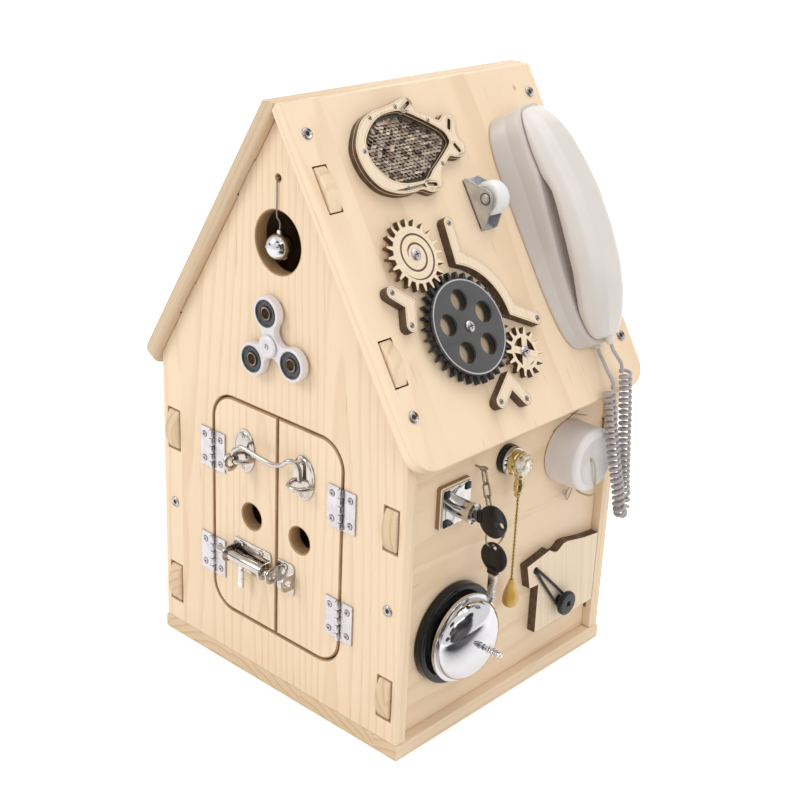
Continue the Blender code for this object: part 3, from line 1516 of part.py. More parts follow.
def handset_mesh():
    low, high = phone_low + handset_inset, phone_high - handset_inset
    sections = []
    for along_at, width_share in end_rounding(low, high):
        share = (along_at - low) / (high - low)
        wide = handset_half_width * width_share
        ridge = handset_ridge_half_width * width_share
        under = rim_height(along_at) + fit_gap + handset_grip_rise * between(handset_grip_shares, share)
        top = handset_height * between(handset_top_shares, share)
        drop = handset_ridge_drop * width_share
        side = under + (top - drop - under) * 0.4
        right = [(0.9 * wide, under), (wide, side), (ridge, top - drop), (ridge / 2, top - drop / 4)]
        sections.append([(phone_centre + x, along_at, z) for x, z in right]
                        + [(phone_centre - x, along_at, z) for x, z in reversed(right)])
    return loft(sections)


def cord_boss(at):
    """Socket that the cord comes out of, pointing down the slope."""
    out = phone_low - cord_boss_length / 2
    return moved(rod(cord_boss_radius, out, out + 2 * cord_boss_length, 12, TURN_TO_Y), shift(at[0], 0, at[1]))


place("phone_base", combined(phone_base_mesh(), (JOIN, cord_boss(base_cord_place))), telephone_plastic, roof)
place("phone_handset", combined(handset_mesh(), (JOIN, cord_boss(handset_cord_place))), telephone_plastic,
      roof, (phone_centre, (phone_low + phone_high) / 2, rim_height(phone_low)))


# Curly cord, from the base's socket down one coil, round and up the other to the handset's socket

def lead_start(at):
    """Two points that run straight out of a socket for two cord diameters, in world coordinates."""
    mouth = phone_low - cord_boss_length / 2 - fit_gap
    return [roof.matrix_world @ Vector((at[0], mouth - step * 2 * curly_radius, at[1])) for step in (0, 1, 2)]


def coil_frames():
    """(centre, direction, turn) of each point of the coil. Where its centre line bends, the pitch grows,
    so that the curls stay apart on the inner side."""
    line = np.array(smooth(hung(coil_route), coil_line_steps))
    pieces = np.linalg.norm(np.diff(line, axis=0), axis=1)
    reach = np.concatenate([[0], np.cumsum(pieces)])
    directions = np.gradient(line, reach, axis=0)
    bend = np.linalg.norm(np.gradient(directions, reach, axis=0), axis=1)
    inner_share = np.clip(1 - coil_radius * bend, 0.3, 1)
    pitch = np.maximum(coil_pitch, (2 * curly_radius + coil_gap) / inner_share)
    turns = np.concatenate([[0], np.cumsum(pieces * (1 / pitch[1:] + 1 / pitch[:-1]) / 2)])
    count = round(turns[-1] * curl_points)
    frames = []
    for turn in np.linspace(0, turns[-1], count + 1):
        middle = Vector([float(np.interp(turn, turns, line[:, k])) for k in range(3)])
        along = Vector([float(np.interp(turn, turns, directions[:, k])) for k in range(3)])
        frames.append((middle, along.normalized(), turn))
    return frames


def curly_route():
    """Points along the cord: a lead, the curls about the coil's own smooth centre line, and a lead."""
    frames = coil_frames()
    across = Vector(hung(base_lead_route)[-1]) - frames[0][0]
    sides = []
    for _, along, _ in frames:
        across = (across - along * across.dot(along)).normalized()
        sides.append((across, along.cross(across)))
    last_turn = frames[-1][2]
    away = Vector(hung(handset_lead_route)[0]) - frames[-1][0]
    side, other = sides[-1]
    wanted = math.atan2(away.dot(other), away.dot(side)) / (2 * math.pi)
    stretch = (math.floor(last_turn) + wanted) / last_turn
    coil = []
    for (middle, _, turn), (side, other) in zip(frames, sides):
        t = 2 * math.pi * turn * stretch
        coil.append(middle + coil_radius * (side * math.cos(t) + other * math.sin(t)))
    start = lead_start(base_cord_place) + [Vector(point) for point in hung(base_lead_route)]
    end = [Vector(point) for point in hung(handset_lead_route)] + lead_start(handset_cord_place)[::-1]
    lead_in = [Vector(point) for point in smooth(start + [coil[0]], 2)]
    lead_out = [Vector(point) for point in smooth([coil[-1]] + end, 2)]
    return lead_in[:-1] + coil + lead_out[1:]


curly_points = curly_route()
cord("curly_cord", curly_points, curly_radius, cord_plastic, resolution=1)

line = np.array([tuple(point) for point in curly_points])
apart = np.linalg.norm(line[:, None] - line[None, :], axis=2)
neighbours = np.abs(np.arange(len(line))[:, None] - np.arange(len(line))[None, :]) < curl_points // 2 + 1
apart[neighbours] = 1
least = apart.min() - 2 * curly_radius
cord_length = np.linalg.norm(np.diff(line, axis=0), axis=1).sum()
print("curly cord: least gap to itself mm", round(least * 1000, 2), "length m", round(cord_length, 3),
      "points", len(line))
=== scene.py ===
import math

import bmesh
import bpy
import numpy as np
from mathutils import Matrix, Vector, noise
from mathutils.geometry import tessellate_polygon


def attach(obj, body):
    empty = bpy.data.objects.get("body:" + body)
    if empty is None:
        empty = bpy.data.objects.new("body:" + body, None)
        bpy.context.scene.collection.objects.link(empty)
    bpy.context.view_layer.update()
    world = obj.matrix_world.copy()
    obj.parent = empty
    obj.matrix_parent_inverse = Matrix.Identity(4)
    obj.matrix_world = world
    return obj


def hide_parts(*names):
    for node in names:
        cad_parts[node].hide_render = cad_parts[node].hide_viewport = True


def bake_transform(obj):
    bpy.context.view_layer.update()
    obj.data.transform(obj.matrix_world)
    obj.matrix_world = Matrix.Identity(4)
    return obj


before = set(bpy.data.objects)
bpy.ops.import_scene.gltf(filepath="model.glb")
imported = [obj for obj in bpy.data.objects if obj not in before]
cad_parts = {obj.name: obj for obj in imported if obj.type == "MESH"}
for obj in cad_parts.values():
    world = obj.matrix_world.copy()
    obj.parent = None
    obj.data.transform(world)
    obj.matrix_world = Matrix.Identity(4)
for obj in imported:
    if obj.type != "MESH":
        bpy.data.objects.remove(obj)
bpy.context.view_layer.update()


class Settings(dict):
    # A dictionary whose values can also be read as house.board.
    __getattr__ = dict.__getitem__


camera = Settings({
    "place": (0.7841, -0.8684, 0.7194),
    "right": (0.7338, 0.6781, 0.0405),
    "up": (-0.29, 0.2588, 0.9214),
    "back": (0.6143, -0.6879, 0.3866),
    "lens": 67.03,
    "sensor": 36.0,
})


def addCamera():
    data = bpy.data.cameras.new("viewer")
    data.lens = camera.lens
    data.sensor_width = camera.sensor
    viewer = bpy.data.objects.new("viewer", data)
    bpy.context.scene.collection.objects.link(viewer)
    turn = Matrix((camera.right, camera.up, camera.back)).transposed().to_4x4()
    viewer.matrix_world = Matrix.Translation(camera.place) @ turn
    bpy.context.scene.camera = viewer


addCamera()
print("camera set")


class Wire:
    # A socket of the material being made; arithmetic on it adds Math nodes.
    def __init__(self, finish, socket):
        self.finish = finish
        self.socket = socket

    def maths(self, operation, first, second=None):
        sockets = {0: first} if second is None else {0: first, 1: second}
        return self.finish.node("ShaderNodeMath", {"operation": operation}, sockets)

    def __add__(self, other):
        return self.maths("ADD", self, other)

    def __radd__(self, other):
        return self.maths("ADD", other, self)

    def __sub__(self, other):
        return self.maths("SUBTRACT", self, other)

    def __rsub__(self, other):
        return self.maths("SUBTRACT", other, self)

    def __mul__(self, other):
        return self.maths("MULTIPLY", self, other)

    def __rmul__(self, other):
        return self.maths("MULTIPLY", other, self)

    def __truediv__(self, other):
        return self.maths("DIVIDE", self, other)

    def __rtruediv__(self, other):
        return self.maths("DIVIDE", other, self)

    def __pow__(self, other):
        return self.maths("POWER", self, other)

    def __abs__(self):
        return self.maths("ABSOLUTE", self)

    def floor(self):
        return self.maths("FLOOR", self)

    def fraction(self):
        return self.maths("FRACT", self)

    def atLeast(self, other):
        return self.maths("MAXIMUM", self, other)

    def ramp(self, low, high, first=0.0, last=1.0):
        # From first at low to last at high, eased at both ends and held outside them.
        settings = {"interpolation_type": "SMOOTHSTEP"}
        sockets = {"Value": self, "From Min": low, "From Max": high, "To Min": first, "To Max": last}
        return self.finish.node("ShaderNodeMapRange", settings, sockets)


class Finish:
    # A material, or the world, whose nodes are added by node().
    def __init__(self, name, owner=None):
        self.owner = owner or bpy.data.materials.new(name)
        self.owner.use_nodes = True
        self.tree = self.owner.node_tree
        self.tree.nodes.clear()

    def node(self, kind, settings=None, sockets=None, output=0):
        made = self.tree.nodes.new(kind)
        for key, value in (settings or {}).items():
            if key == "stops":
                self.setStops(made.color_ramp, value)
            else:
                setattr(made, key, value)
        for key, value in (sockets or {}).items():
            target = made.inputs[key]
            if isinstance(value, Wire):
                self.tree.links.new(value.socket, target)
            elif value is not None:
                target.default_value = self.fitted(target, value)
        return Wire(self, made.outputs[output]) if made.outputs else made

    def setStops(self, colourRamp, stops):
        colourRamp.elements[0].position = stops[0][0]
        colourRamp.elements[1].position = stops[-1][0]
        for position, colour in stops[1:-1]:
            colourRamp.elements.new(position)
        for element, (position, colour) in zip(colourRamp.elements, stops):
            element.color = (*colour, 1)

    def fitted(self, target, value):
        if target.type == "RGBA" and len(value) == 3:
            return (*value, 1)
        return value

    def place(self):
        return self.node("ShaderNodeTexCoord", output="Object")

    def facing(self):
        return self.node("ShaderNodeTexCoord", output="Normal")

    def along(self, vector, direction):
        settings = {"operation": "DOT_PRODUCT"}
        return self.node("ShaderNodeVectorMath", settings, {0: vector, 1: direction}, "Value")

    def vector(self, x, y, z):
        return self.node("ShaderNodeCombineXYZ", None, {"X": x, "Y": y, "Z": z})

    def noise(self, vector, scale, detail=2.0, rough=0.5, bent=0.0):
        sockets = {"Vector": vector, "Scale": scale, "Detail": detail, "Roughness": rough,
                   "Distortion": bent}
        return self.node("ShaderNodeTexNoise", None, sockets)

    def cells(self, vector, scale, output="Distance"):
        return self.node("ShaderNodeTexVoronoi", {"feature": "F1"}, {"Vector": vector, "Scale": scale},
                         output)

    def attribute(self, name):
        return self.node("ShaderNodeAttribute", {"attribute_name": name}, None, "Fac")

    def colours(self, factor, stops):
        return self.node("ShaderNodeValToRGB", {"stops": stops}, {"Fac": factor})

    def mix(self, factor, first, second):
        return self.node("ShaderNodeMix", {"data_type": "RGBA"}, {0: factor, 6: first, 7: second}, 2)

    def bump(self, height, distance, strength=1.0):
        return self.node("ShaderNodeBump", None, {"Height": height, "Distance": distance,
                "Strength": strength})

    def shade(self, colour, rough, metallic=0.0, normal=None, more=None):
        sockets = {"Base Color": colour, "Roughness": rough, "Metallic": metallic, "Normal": normal}
        return self.node("ShaderNodeBsdfPrincipled", None, {**sockets, **(more or {})})

    def finished(self, shader):
        self.node("ShaderNodeOutputMaterial", None, {"Surface": shader})
        return self.owner


studio = Settings({
    "floorColour": (0.86, 0.86, 0.86),
    "floorGlow": 0.45,
    "floorSize": 40.0,
    "skyForObject": 0.62,
    "lamps": [
        # place, size, watts
        ((-1.5, -2.3, 2.3), 1.6, 44.0),
        ((2.6, -0.9, 1.7), 2.0, 24.0),
        ((0.4, 0.6, 3.0), 1.8, 23.0),
        ((-1.2, 2.4, 1.6), 2.0, 22.0),
    ],
    "darkCards": [
        # place, width, height, lying on the floor: soft-edged, seen by shiny surfaces alone
        ((3.4, 0.9, 2.3), 2.8, 2.0, False),
        ((1.6, -3.0, 0.75), 1.8, 0.8, False),
        ((-2.6, -2.4, 0.85), 1.9, 0.8, False),
        ((0.9, -2.6, 3.3), 2.2, 1.3, False),
        ((2.0, -0.45, 0.75), 3.4, 2.5, False),
        ((1.7, -1.8, 1.4), 1.4, 1.2, False),
        ((-0.4, 3.2, 1.6), 2.2, 1.6, False),
        ((1.5, -0.2, 0.004), 3.0, 2.2, True),
    ],
})


def facingTarget(place, target=(0, 0, 0.25)):
    away = (Vector(place) - Vector(target)).normalized()
    return Matrix.Translation(place) @ away.to_track_quat("Z", "Y").to_matrix().to_4x4()


def seenDirectly(finish):
    # 1 for what the camera, a reflection or a refraction sees, 0 for light that reaches the object.
    rays = [finish.node("ShaderNodeLightPath", output=f"Is {kind} Ray")
            for kind in ("Camera", "Glossy", "Transmission")]
    return rays[0].atLeast(rays[1]).atLeast(rays[2])


def addStudio():
    world = bpy.data.worlds.new("sky")
    bpy.context.scene.world = world
    sky = Finish("sky", world)
    strength = studio.skyForObject + seenDirectly(sky) * (1 - studio.skyForObject)
    glow = sky.node("ShaderNodeBackground", None, {"Color": (1, 1, 1), "Strength": strength})
    sky.node("ShaderNodeOutputWorld", None, {"Surface": glow})

    floorFinish = Finish("floorPaper")
    grain = floorFinish.noise(floorFinish.place(), 90.0)
    glow = floorFinish.mix(seenDirectly(floorFinish), (0, 0, 0), (studio.floorGlow,) * 3)
    bsdf = floorFinish.shade(studio.floorColour, grain.ramp(0.3, 0.7, 0.85, 0.95), 0.0, None,
                             {"Emission Color": glow, "Emission Strength": 1.0, "Specular IOR Level": 0.0})
    half = studio.floorSize / 2
    mesh = bpy.data.meshes.new("floor")
    mesh.from_pydata([(-half, -half, 0), (half, -half, 0), (half, half, 0), (-half, half, 0)], [],
                     [(0, 1, 2, 3)])
    mesh.materials.append(floorFinish.finished(bsdf))
    floor = bpy.data.objects.new("floor", mesh)
    bpy.context.scene.collection.objects.link(floor)

    for number, (place, size, watts) in enumerate(studio.lamps):
        data = bpy.data.lights.new(f"softbox{number}", "AREA")
        data.shape = "SQUARE"
        data.size = size
        data.energy = watts
        lamp = bpy.data.objects.new(f"softbox{number}", data)
        bpy.context.scene.collection.objects.link(lamp)
        lamp.matrix_world = facingTarget(place)

    cardFinish = Finish("darkCard")
    at = cardFinish.place()
    away = cardFinish.along(at, at) ** 0.5 * 2.0
    patches = cardFinish.noise(at, 2.4, 2.0)
    tone = cardFinish.mix(patches.ramp(0.4, 0.62), (0.012, 0.012, 0.013), (0.13, 0.125, 0.12))
    shown = 1 - (away + (patches - 0.5) * 0.5).ramp(0.7, 0.95)
    dark = cardFinish.finished(cardFinish.shade(tone, 0.8, 0.0, None, {"Alpha": shown}))
    for number, (place, width, height, lying) in enumerate(studio.darkCards):
        mesh = bpy.data.meshes.new(f"card{number}")
        mesh.from_pydata([(-0.5, -0.5, 0), (0.5, -0.5, 0), (0.5, 0.5, 0), (-0.5, 0.5, 0)], [],
                         [(0, 1, 2, 3)])
        mesh.materials.append(dark)
        card = bpy.data.objects.new(f"card{number}", mesh)
        bpy.context.scene.collection.objects.link(card)
        card.matrix_world = (Matrix.Translation(place)
                             if lying else facingTarget(place)) @ Matrix.Diagonal((width, height, 1, 1))
        for kind in ("camera", "diffuse", "shadow", "transmission", "volume_scatter"):
            setattr(card, "visible_" + kind, False)

    bpy.context.scene.view_settings.view_transform = "Standard"


addStudio()
print("floor and lamps set")

roofRun, roofRise = 0.1495, 0.242
slopeLength = math.hypot(roofRun, roofRise)
slopeCos, slopeSin = roofRun / slopeLength, roofRise / slopeLength


def axes(origin, x, y, z):
    return Matrix.Translation(origin) @ Matrix((x, y, z)).transposed().to_4x4()


frontFrame = axes((0, -0.135, 0), (1, 0, 0), (0, 0, 1), (0, -1, 0))
wallFrame = axes((0.132, 0, 0), (0, 1, 0), (0, 0, 1), (1, 0, 0))
roofFrame = axes((0.16, 0, 0.258), (0, 1, 0), (-slopeCos, 0, slopeSin), (slopeSin, 0, slopeCos))
backFrame = axes((0, 0.135, 0), (-1, 0, 0), (0, 0, 1), (0, 1, 0))
leftWallFrame = axes((-0.132, 0, 0), (0, -1, 0), (0, 0, 1), (-1, 0, 0))
leftRoofFrame = axes((-0.16, 0, 0.258), (0, -1, 0), (slopeCos, 0, slopeSin), (-slopeSin, 0, slopeCos))
roofNormal = (slopeSin, 0, slopeCos)
turnToY = Matrix.Rotation(math.radians(-90), 4, "X")
turnToX = Matrix.Rotation(math.radians(90), 4, "Y")
halfTurn = Matrix.Rotation(math.radians(180), 4, "Z")
cycled = Matrix(((0, 0, 1, 0), (1, 0, 0, 0), (0, 1, 0, 0), (0, 0, 0, 1)))
swapXZ = Matrix(((0, 0, 1, 0), (0, 1, 0, 0), (1, 0, 0, 0), (0, 0, 0, 1)))
mirrorX = Matrix.Diagonal((-1, 1, 1, 1))


def shift(x=0, y=0, z=0):
    return Matrix.Translation((x, y, z))


def arc(centre, radius, start, end, steps=10):
    angles = np.radians(np.linspace(start, end, steps + 1))
    return [(centre[0] + radius * math.cos(t), centre[1] + radius * math.sin(t)) for t in angles]


def circle(centre, radius, sides=48):
    return arc(centre, radius, 0, 360, sides)[:-1]


def rectangle(left, right, low, high):
    return [(left, low), (right, low), (right, high), (left, high)]


def roundedRectangle(left, right, low, high, radius, steps=6):
    points = arc((right - radius, low + radius), radius, -90, 0, steps)
    points += arc((right - radius, high - radius), radius, 0, 90, steps)
    points += arc((left + radius, high - radius), radius, 90, 180, steps)
    points += arc((left + radius, low + radius), radius, 180, 270, steps)
    return points


def bulge(start, end, rise, steps=12):
    # An arc from start to end that rises to the left of the chord.
    start, end = Vector(start), Vector(end)
    chord = end - start
    half = chord.length / 2
    radius = (half * half + rise * rise) / (2 * rise)
    left = Vector((-chord.y, chord.x)).normalized()
    centre = (start + end) / 2 + left * (rise - radius)
    first = math.atan2(start.y - centre.y, start.x - centre.x)
    sweep = 2 * math.asin(min(1.0, half / radius))
    angles = np.linspace(first, first - sweep, steps + 1)
    return [(centre.x + radius * math.cos(t), centre.y + radius * math.sin(t)) for t in angles]


def smooth(points, steps, closed=False):
    # Catmull-Rom curve through the points, with this many steps between two of them.
    points = [Vector(point) for point in points]
    count = len(points)
    curve = []
    for i in range(count if closed else count - 1):
        if closed:
            a, b, c, d = (points[(i + k - 1) % count] for k in range(4))
        else:
            b, c = points[i], points[i + 1]
            a = points[i - 1] if i else 2 * b - c
            d = points[i + 2] if i + 2 < count else 2 * c - b
        for k in range(steps):
            t = k / steps
            curve.append((2 * b + t * (c - a) + t * t * (2 * a - 5 * b + 4 * c - d)
                          + t * t * t * (3 * b - a - 3 * c + d)) / 2)
    if not closed:
        curve.append(points[-1])
    return [tuple(point) for point in curve]


def ribbon(route, width, capSteps=10):
    # The outline of a flat strip along the route, with round ends and mitred corners.
    points = [Vector(point) for point in route]
    sides = {1: [], -1: []}
    for i, point in enumerate(points):
        before = (point - points[i - 1]).normalized() if i else (points[1] - point).normalized()
        after = (points[i + 1] - point).normalized() if i + 1 < len(points) else before
        along = (before + after).normalized()
        normal = Vector((-along.y, along.x))
        reach = width / 2 / max(normal.dot(Vector((-after.y, after.x))), 0.5)
        for side in sides:
            sides[side].append(tuple(point + normal * side * reach))
    startAngle = math.degrees(math.atan2(*(points[1] - points[0]).yx))
    endAngle = math.degrees(math.atan2(*(points[-1] - points[-2]).yx))
    end = arc(points[-1], width / 2, endAngle - 90, endAngle + 90, capSteps)
    start = arc(points[0], width / 2, startAngle + 90, startAngle + 270, capSteps)
    return sides[-1][1:-1] + end + sides[1][-2:0:-1] + start


def inset(loop, distance):
    # The closed loop moved to its left by the distance, with mitred corners.
    points = [Vector(point) for point in loop]
    count = len(points)
    moved = []
    for i, point in enumerate(points):
        before = (point - points[i - 1]).normalized()
        after = (points[(i + 1) % count] - point).normalized()
        left = Vector((-before.y, before.x)) + Vector((-after.y, after.x))
        if left.length < 1e-6:
            left = Vector((-after.y, after.x))
        left.normalize()
        reach = distance / max(left.dot(Vector((-after.y, after.x))), 0.45)
        moved.append(tuple(point + left * reach))
    return moved


def turnedLeft(loop):
    area = sum(a[0] * b[1] - b[0] * a[1] for a, b in zip(loop, loop[1:] + loop[:1]))
    return list(loop) if area > 0 else list(loop)[::-1]


def filleted(profile, radius, steps=4, flattest=3.0):
    # The open profile with each inner corner rounded, by no more than its sides allow. Corners flatter than
    # flattest stay, and at 3.141 every corner becomes as many points.
    points = [Vector(point) for point in profile]
    made = [tuple(points[0])]
    for before, corner, after in zip(points, points[1:], points[2:]):
        toBefore, toAfter = before - corner, after - corner
        if min(toBefore.length, toAfter.length) < 1e-7 or toBefore.angle(toAfter) > flattest:
            made += [tuple(corner)] * (steps + 1 if flattest > 3.14 else 1)
            continue
        reach = min(radius / math.tan(toBefore.angle(toAfter) / 2), toBefore.length * 0.45,
                    toAfter.length * 0.45)
        first, last = corner + toBefore.normalized() * reach, corner + toAfter.normalized() * reach
        for k in range(steps + 1):
            t = k / steps
            made.append(tuple(first * (1 - t) ** 2 + corner * 2 * t * (1 - t) + last * t ** 2))
    made.append(tuple(points[-1]))
    return made


def meshOf(vertices, faces, rims=None, slots=None):
    mesh = bpy.data.meshes.new("shape")
    bm = bmesh.new()
    corners = [bm.verts.new(vertex) for vertex in vertices]
    for number, face in enumerate(faces):
        made = bm.faces.new([corners[i] for i in face])
        made.material_index = slots[number] if slots else 0
    bmesh.ops.recalc_face_normals(bm, faces=bm.faces)
    bm.to_mesh(mesh)
    bm.free()
    if rims is not None:
        mesh.attributes.new("rim", "FLOAT", "POINT").data.foreach_set("value", rims)
    return mesh


def slab(outline, low, high, holes=(), edge=0.0, steps=3, rim=0.0, holeSlot=0, sideSlot=0):
    # A plate with rounded edges. Within rim of an edge the point value "rim" falls from 1 to 0.
    loops = [turnedLeft(outline)] + [turnedLeft(hole)[::-1] for hole in holes]
    rows = [(0.0, low, 1.0)]
    if edge:
        turns = np.radians(np.linspace(0, 90, steps + 1))
        rows = [(edge * (1 - math.sin(t)), low + edge * (1 - math.cos(t)), 1.0) for t in turns]
    rows += [(offset, low + high - height, value) for offset, height, value in reversed(rows)]
    if rim:
        rows = [(rows[0][0] + rim, low, 0.0)] + rows + [(rows[-1][0] + rim, high, 0.0)]
    vertices, rims, faces, slots, rings = [], [], [], [], []
    for offset, height, value in rows:
        ring = []
        for loop in loops:
            start = len(vertices)
            vertices += [(x, y, height) for x, y in (inset(loop, offset) if offset else loop)]
            rims += [value] * len(loop)
            ring.append(range(start, len(vertices)))
        rings.append(ring)
    for lower, higher in zip(rings, rings[1:]):
        for number, (here, there) in enumerate(zip(lower, higher)):
            size = len(here)
            for i in range(size):
                j = (i + 1) % size
                faces.append((here[i], here[j], there[j], there[i]))
                slots.append(holeSlot if number else sideSlot)
    for ring in (rings[0], rings[-1]):
        flat = [[Vector((vertices[i][0], vertices[i][1], 0)) for i in part] for part in ring]
        names = [i for part in ring for i in part]
        triangles = tessellate_polygon(flat)
        faces += [tuple(names[i] for i in triangle) for triangle in triangles]
        slots += [0] * len(triangles)
    return meshOf(vertices, faces, rims, slots)


def loft(sections, closed=False):
    size = len(sections[0])
    vertices = [point for section in sections for point in section]
    faces = []
    if not closed:
        faces = [tuple(range(size)), tuple(range(len(vertices) - size, len(vertices)))]
    count = len(sections)
    for k in range(count if closed else count - 1):
        here, there = k * size, (k + 1) % count * size
        for i in range(size):
            j = (i + 1) % size
            faces.append((here + i, here + j, there + j, there + i))
    return meshOf(vertices, faces)


def turned(profile, sides=64, centre=(0, 0)):
    # Turned about Z through the centre; where the profile's ends lie off the axis, it is a closed ring.
    ring = profile[0][0] > 0 and profile[-1][0] > 0
    vertices, rows, faces = [], [], []
    for radius, height in profile:
        if radius > 1e-9:
            rows.append(list(range(len(vertices), len(vertices) + sides)))
            vertices += [(x, y, height) for x, y in circle(centre, radius, sides)]
        else:
            rows.append([len(vertices)] * sides)
            vertices.append((centre[0], centre[1], height))
    for lower, upper in list(zip(rows, rows[1:])) + ([(rows[-1], rows[0])] if ring else []):
        for i in range(sides):
            j = (i + 1) % sides
            face = list(dict.fromkeys([lower[i], lower[j], upper[j], upper[i]]))
            if len(face) > 2:
                faces.append(face)
    return meshOf(vertices, faces)


def tube(route, radius, sides=16, closed=False):
    # A round rod along the route; radius is one number or one for each point.
    points = [Vector(point) for point in route]
    count = len(points)
    radii = [radius] * count if isinstance(radius, (int, float)) else list(radius)
    tangents = []
    for i in range(count):
        if closed:
            step = points[(i + 1) % count] - points[i - 1]
        else:
            step = points[min(i + 1, count - 1)] - points[max(i - 1, 0)]
        tangents.append(step.normalized())
    normal = tangents[0].orthogonal().normalized()
    rings = []
    for i in range(count):
        normal = (normal - tangents[i] * normal.dot(tangents[i])).normalized()
        across = tangents[i].cross(normal)
        rings.append([tuple(points[i] + radii[i] * (normal * math.cos(t) + across * math.sin(t)))
                      for t in np.linspace(0, 2 * math.pi, sides, endpoint=False)])
    return loft(rings, closed)


def rod(radius, low, high, sides=24, turn=None, edge=0.0):
    profile = [(0, low), (radius, low), (radius, high), (0, high)]
    made = turned(filleted(profile, edge) if edge else profile, sides)
    return moved(made, turn) if turn else made


def moved(mesh, matrix):
    copy = mesh.copy()
    copy.transform(matrix)
    if matrix.determinant() < 0:
        copy.flip_normals()
    return copy


def joined(*meshes):
    # One mesh of several closed shells; their slots and "rim" values are kept.
    bm = bmesh.new()
    for mesh in meshes:
        bm.from_mesh(mesh)
    made = bpy.data.meshes.new("shape")
    bm.to_mesh(made)
    bm.free()
    return made


def painted(mesh):
    # The same mesh, for the second finish of its piece.
    for face in mesh.polygons:
        face.material_index = 1
    return mesh


def trimmed(mesh, point, normal):
    bm = bmesh.new()
    bm.from_mesh(mesh)
    everything = bm.verts[:] + bm.edges[:] + bm.faces[:]
    cut = bmesh.ops.bisect_plane(bm, geom=everything, plane_co=point, plane_no=normal, clear_outer=True)
    edges = [item for item in cut["geom_cut"] if isinstance(item, bmesh.types.BMEdge)]
    bmesh.ops.contextual_create(bm, geom=edges)
    bmesh.ops.recalc_face_normals(bm, faces=bm.faces)
    bm.to_mesh(mesh)
    bm.free()
    return mesh


def cutAway(first, *cutters):
    # The first mesh without what lies in the others.
    body = bpy.data.objects.new("body", first)
    bpy.context.scene.collection.objects.link(body)
    helpers = []
    for mesh in cutters:
        helper = bpy.data.objects.new("helper", mesh)
        bpy.context.scene.collection.objects.link(helper)
        helpers.append(helper)
        modifier = body.modifiers.new("step", "BOOLEAN")
        modifier.operation = "DIFFERENCE"
        modifier.object = helper
    graph = bpy.context.evaluated_depsgraph_get()
    result = bpy.data.meshes.new_from_object(body.evaluated_get(graph))
    for item in helpers + [body]:
        bpy.data.objects.remove(item)
    return result


def addPiece(name, mesh, finishes, at=None, replaces=(), sharp=38, body="house"):
    # A piece in its frame's coordinates becomes an object at the origin that rides on the body.
    mesh.name = name
    if at is not None:
        mesh.transform(at)
        if at.determinant() < 0:
            mesh.flip_normals()
    for number, finish in enumerate(finishes if isinstance(finishes, (list, tuple)) else [finishes]):
        if number < len(mesh.materials):
            mesh.materials[number] = finish
        else:
            mesh.materials.append(finish)
    mesh.shade_smooth()
    mesh.set_sharp_from_angle(angle=math.radians(sharp))
    piece = bpy.data.objects.new(name, mesh)
    bpy.context.scene.collection.objects.link(piece)
    if body:
        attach(piece, body)
    if replaces:
        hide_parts(*([replaces] if isinstance(replaces, str) else replaces))
    return piece

pineLook = Settings({
    "pale": (0.86, 0.675, 0.475),
    "late": (0.66, 0.45, 0.265),
    "endGrain": (0.56, 0.38, 0.21),
    "ringsPerMetre": 135.0,
    "ringStrength": 0.34,
    "stripWidth": 0.085,
    "fibre": 0.1,
    "rough": (0.46, 0.62),
})


def pine(name, across, grain, depth, seed, shade=1.0, warm=0.0):
    # Solid pine glued from strips, as rings round an axis that lies behind the face.
    wood = Finish(name)
    place = wood.place()
    u, v, w = (wood.along(place, axis) for axis in (across, grain, depth))
    strip = (u / pineLook.stripWidth + seed).floor()
    chance = wood.node("ShaderNodeTexWhiteNoise", {"noise_dimensions": "1D"}, {"W": strip + seed * 7.3})
    other = wood.node("ShaderNodeTexWhiteNoise", {"noise_dimensions": "1D"},
                      {"W": strip * 1.7 + seed * 3.1})
    drift = wood.noise(wood.vector(u * 9.0, v * 1.6, w * 9.0), 1.0, 3.0, 0.5)
    local = u - (strip - seed) * pineLook.stripWidth - 0.03 + (chance - 0.5) * 0.16
    level = w + 0.05 + other * 0.12
    away = (local * local + level * level) ** 0.5
    rings = (away + v * (other - 0.5) * 0.05 + drift * 0.03) * pineLook.ringsPerMetre
    turn = rings.fraction()
    late = turn.ramp(0.5, 0.9) * (1 - turn.ramp(0.9, 1.0))
    fibre = wood.noise(wood.vector(u * 1300.0, v * 22.0, w * 1300.0), 1.0, 3.0, 0.6)
    cloud = wood.noise(wood.vector(u * 14.0, v * 4.0, w * 14.0), 1.0, 3.0)
    figure = late * (0.45 + cloud * 0.8) * pineLook.ringStrength + (fibre - 0.5) * pineLook.fibre
    pale = tuple(value * shade for value in pineLook.pale)
    dark = tuple(value * shade for value in pineLook.late)
    colour = wood.mix(figure + (chance - 0.5) * 0.16 + (cloud - 0.5) * 0.22 + 0.08 + warm, pale, dark)
    knots = wood.cells(wood.vector(u * 1.0, v * 0.75, w * 0.2), 11.0)
    knot = 1 - knots.ramp(0.012, 0.03)
    colour = wood.mix(knot * 0.55, colour, (0.33, 0.17, 0.07))
    flecks = wood.noise(wood.vector(u * 420.0, v * 26.0, w * 420.0), 1.0, 1.0)
    colour = wood.mix(flecks.ramp(0.7, 0.8) * 0.28, colour, (0.42, 0.25, 0.12))
    ends = abs(wood.along(wood.facing(), grain)).ramp(0.42, 0.92)
    colour = wood.mix(ends * (0.45 + late * 0.35), colour, pineLook.endGrain)
    rough = fibre.ramp(0.3, 0.7, pineLook.rough[0], pineLook.rough[1])
    normal = wood.bump(fibre * 0.7 + late * 0.5, 0.00018, 0.55)
    return wood.finished(wood.shade(colour, rough, 0.0, normal))


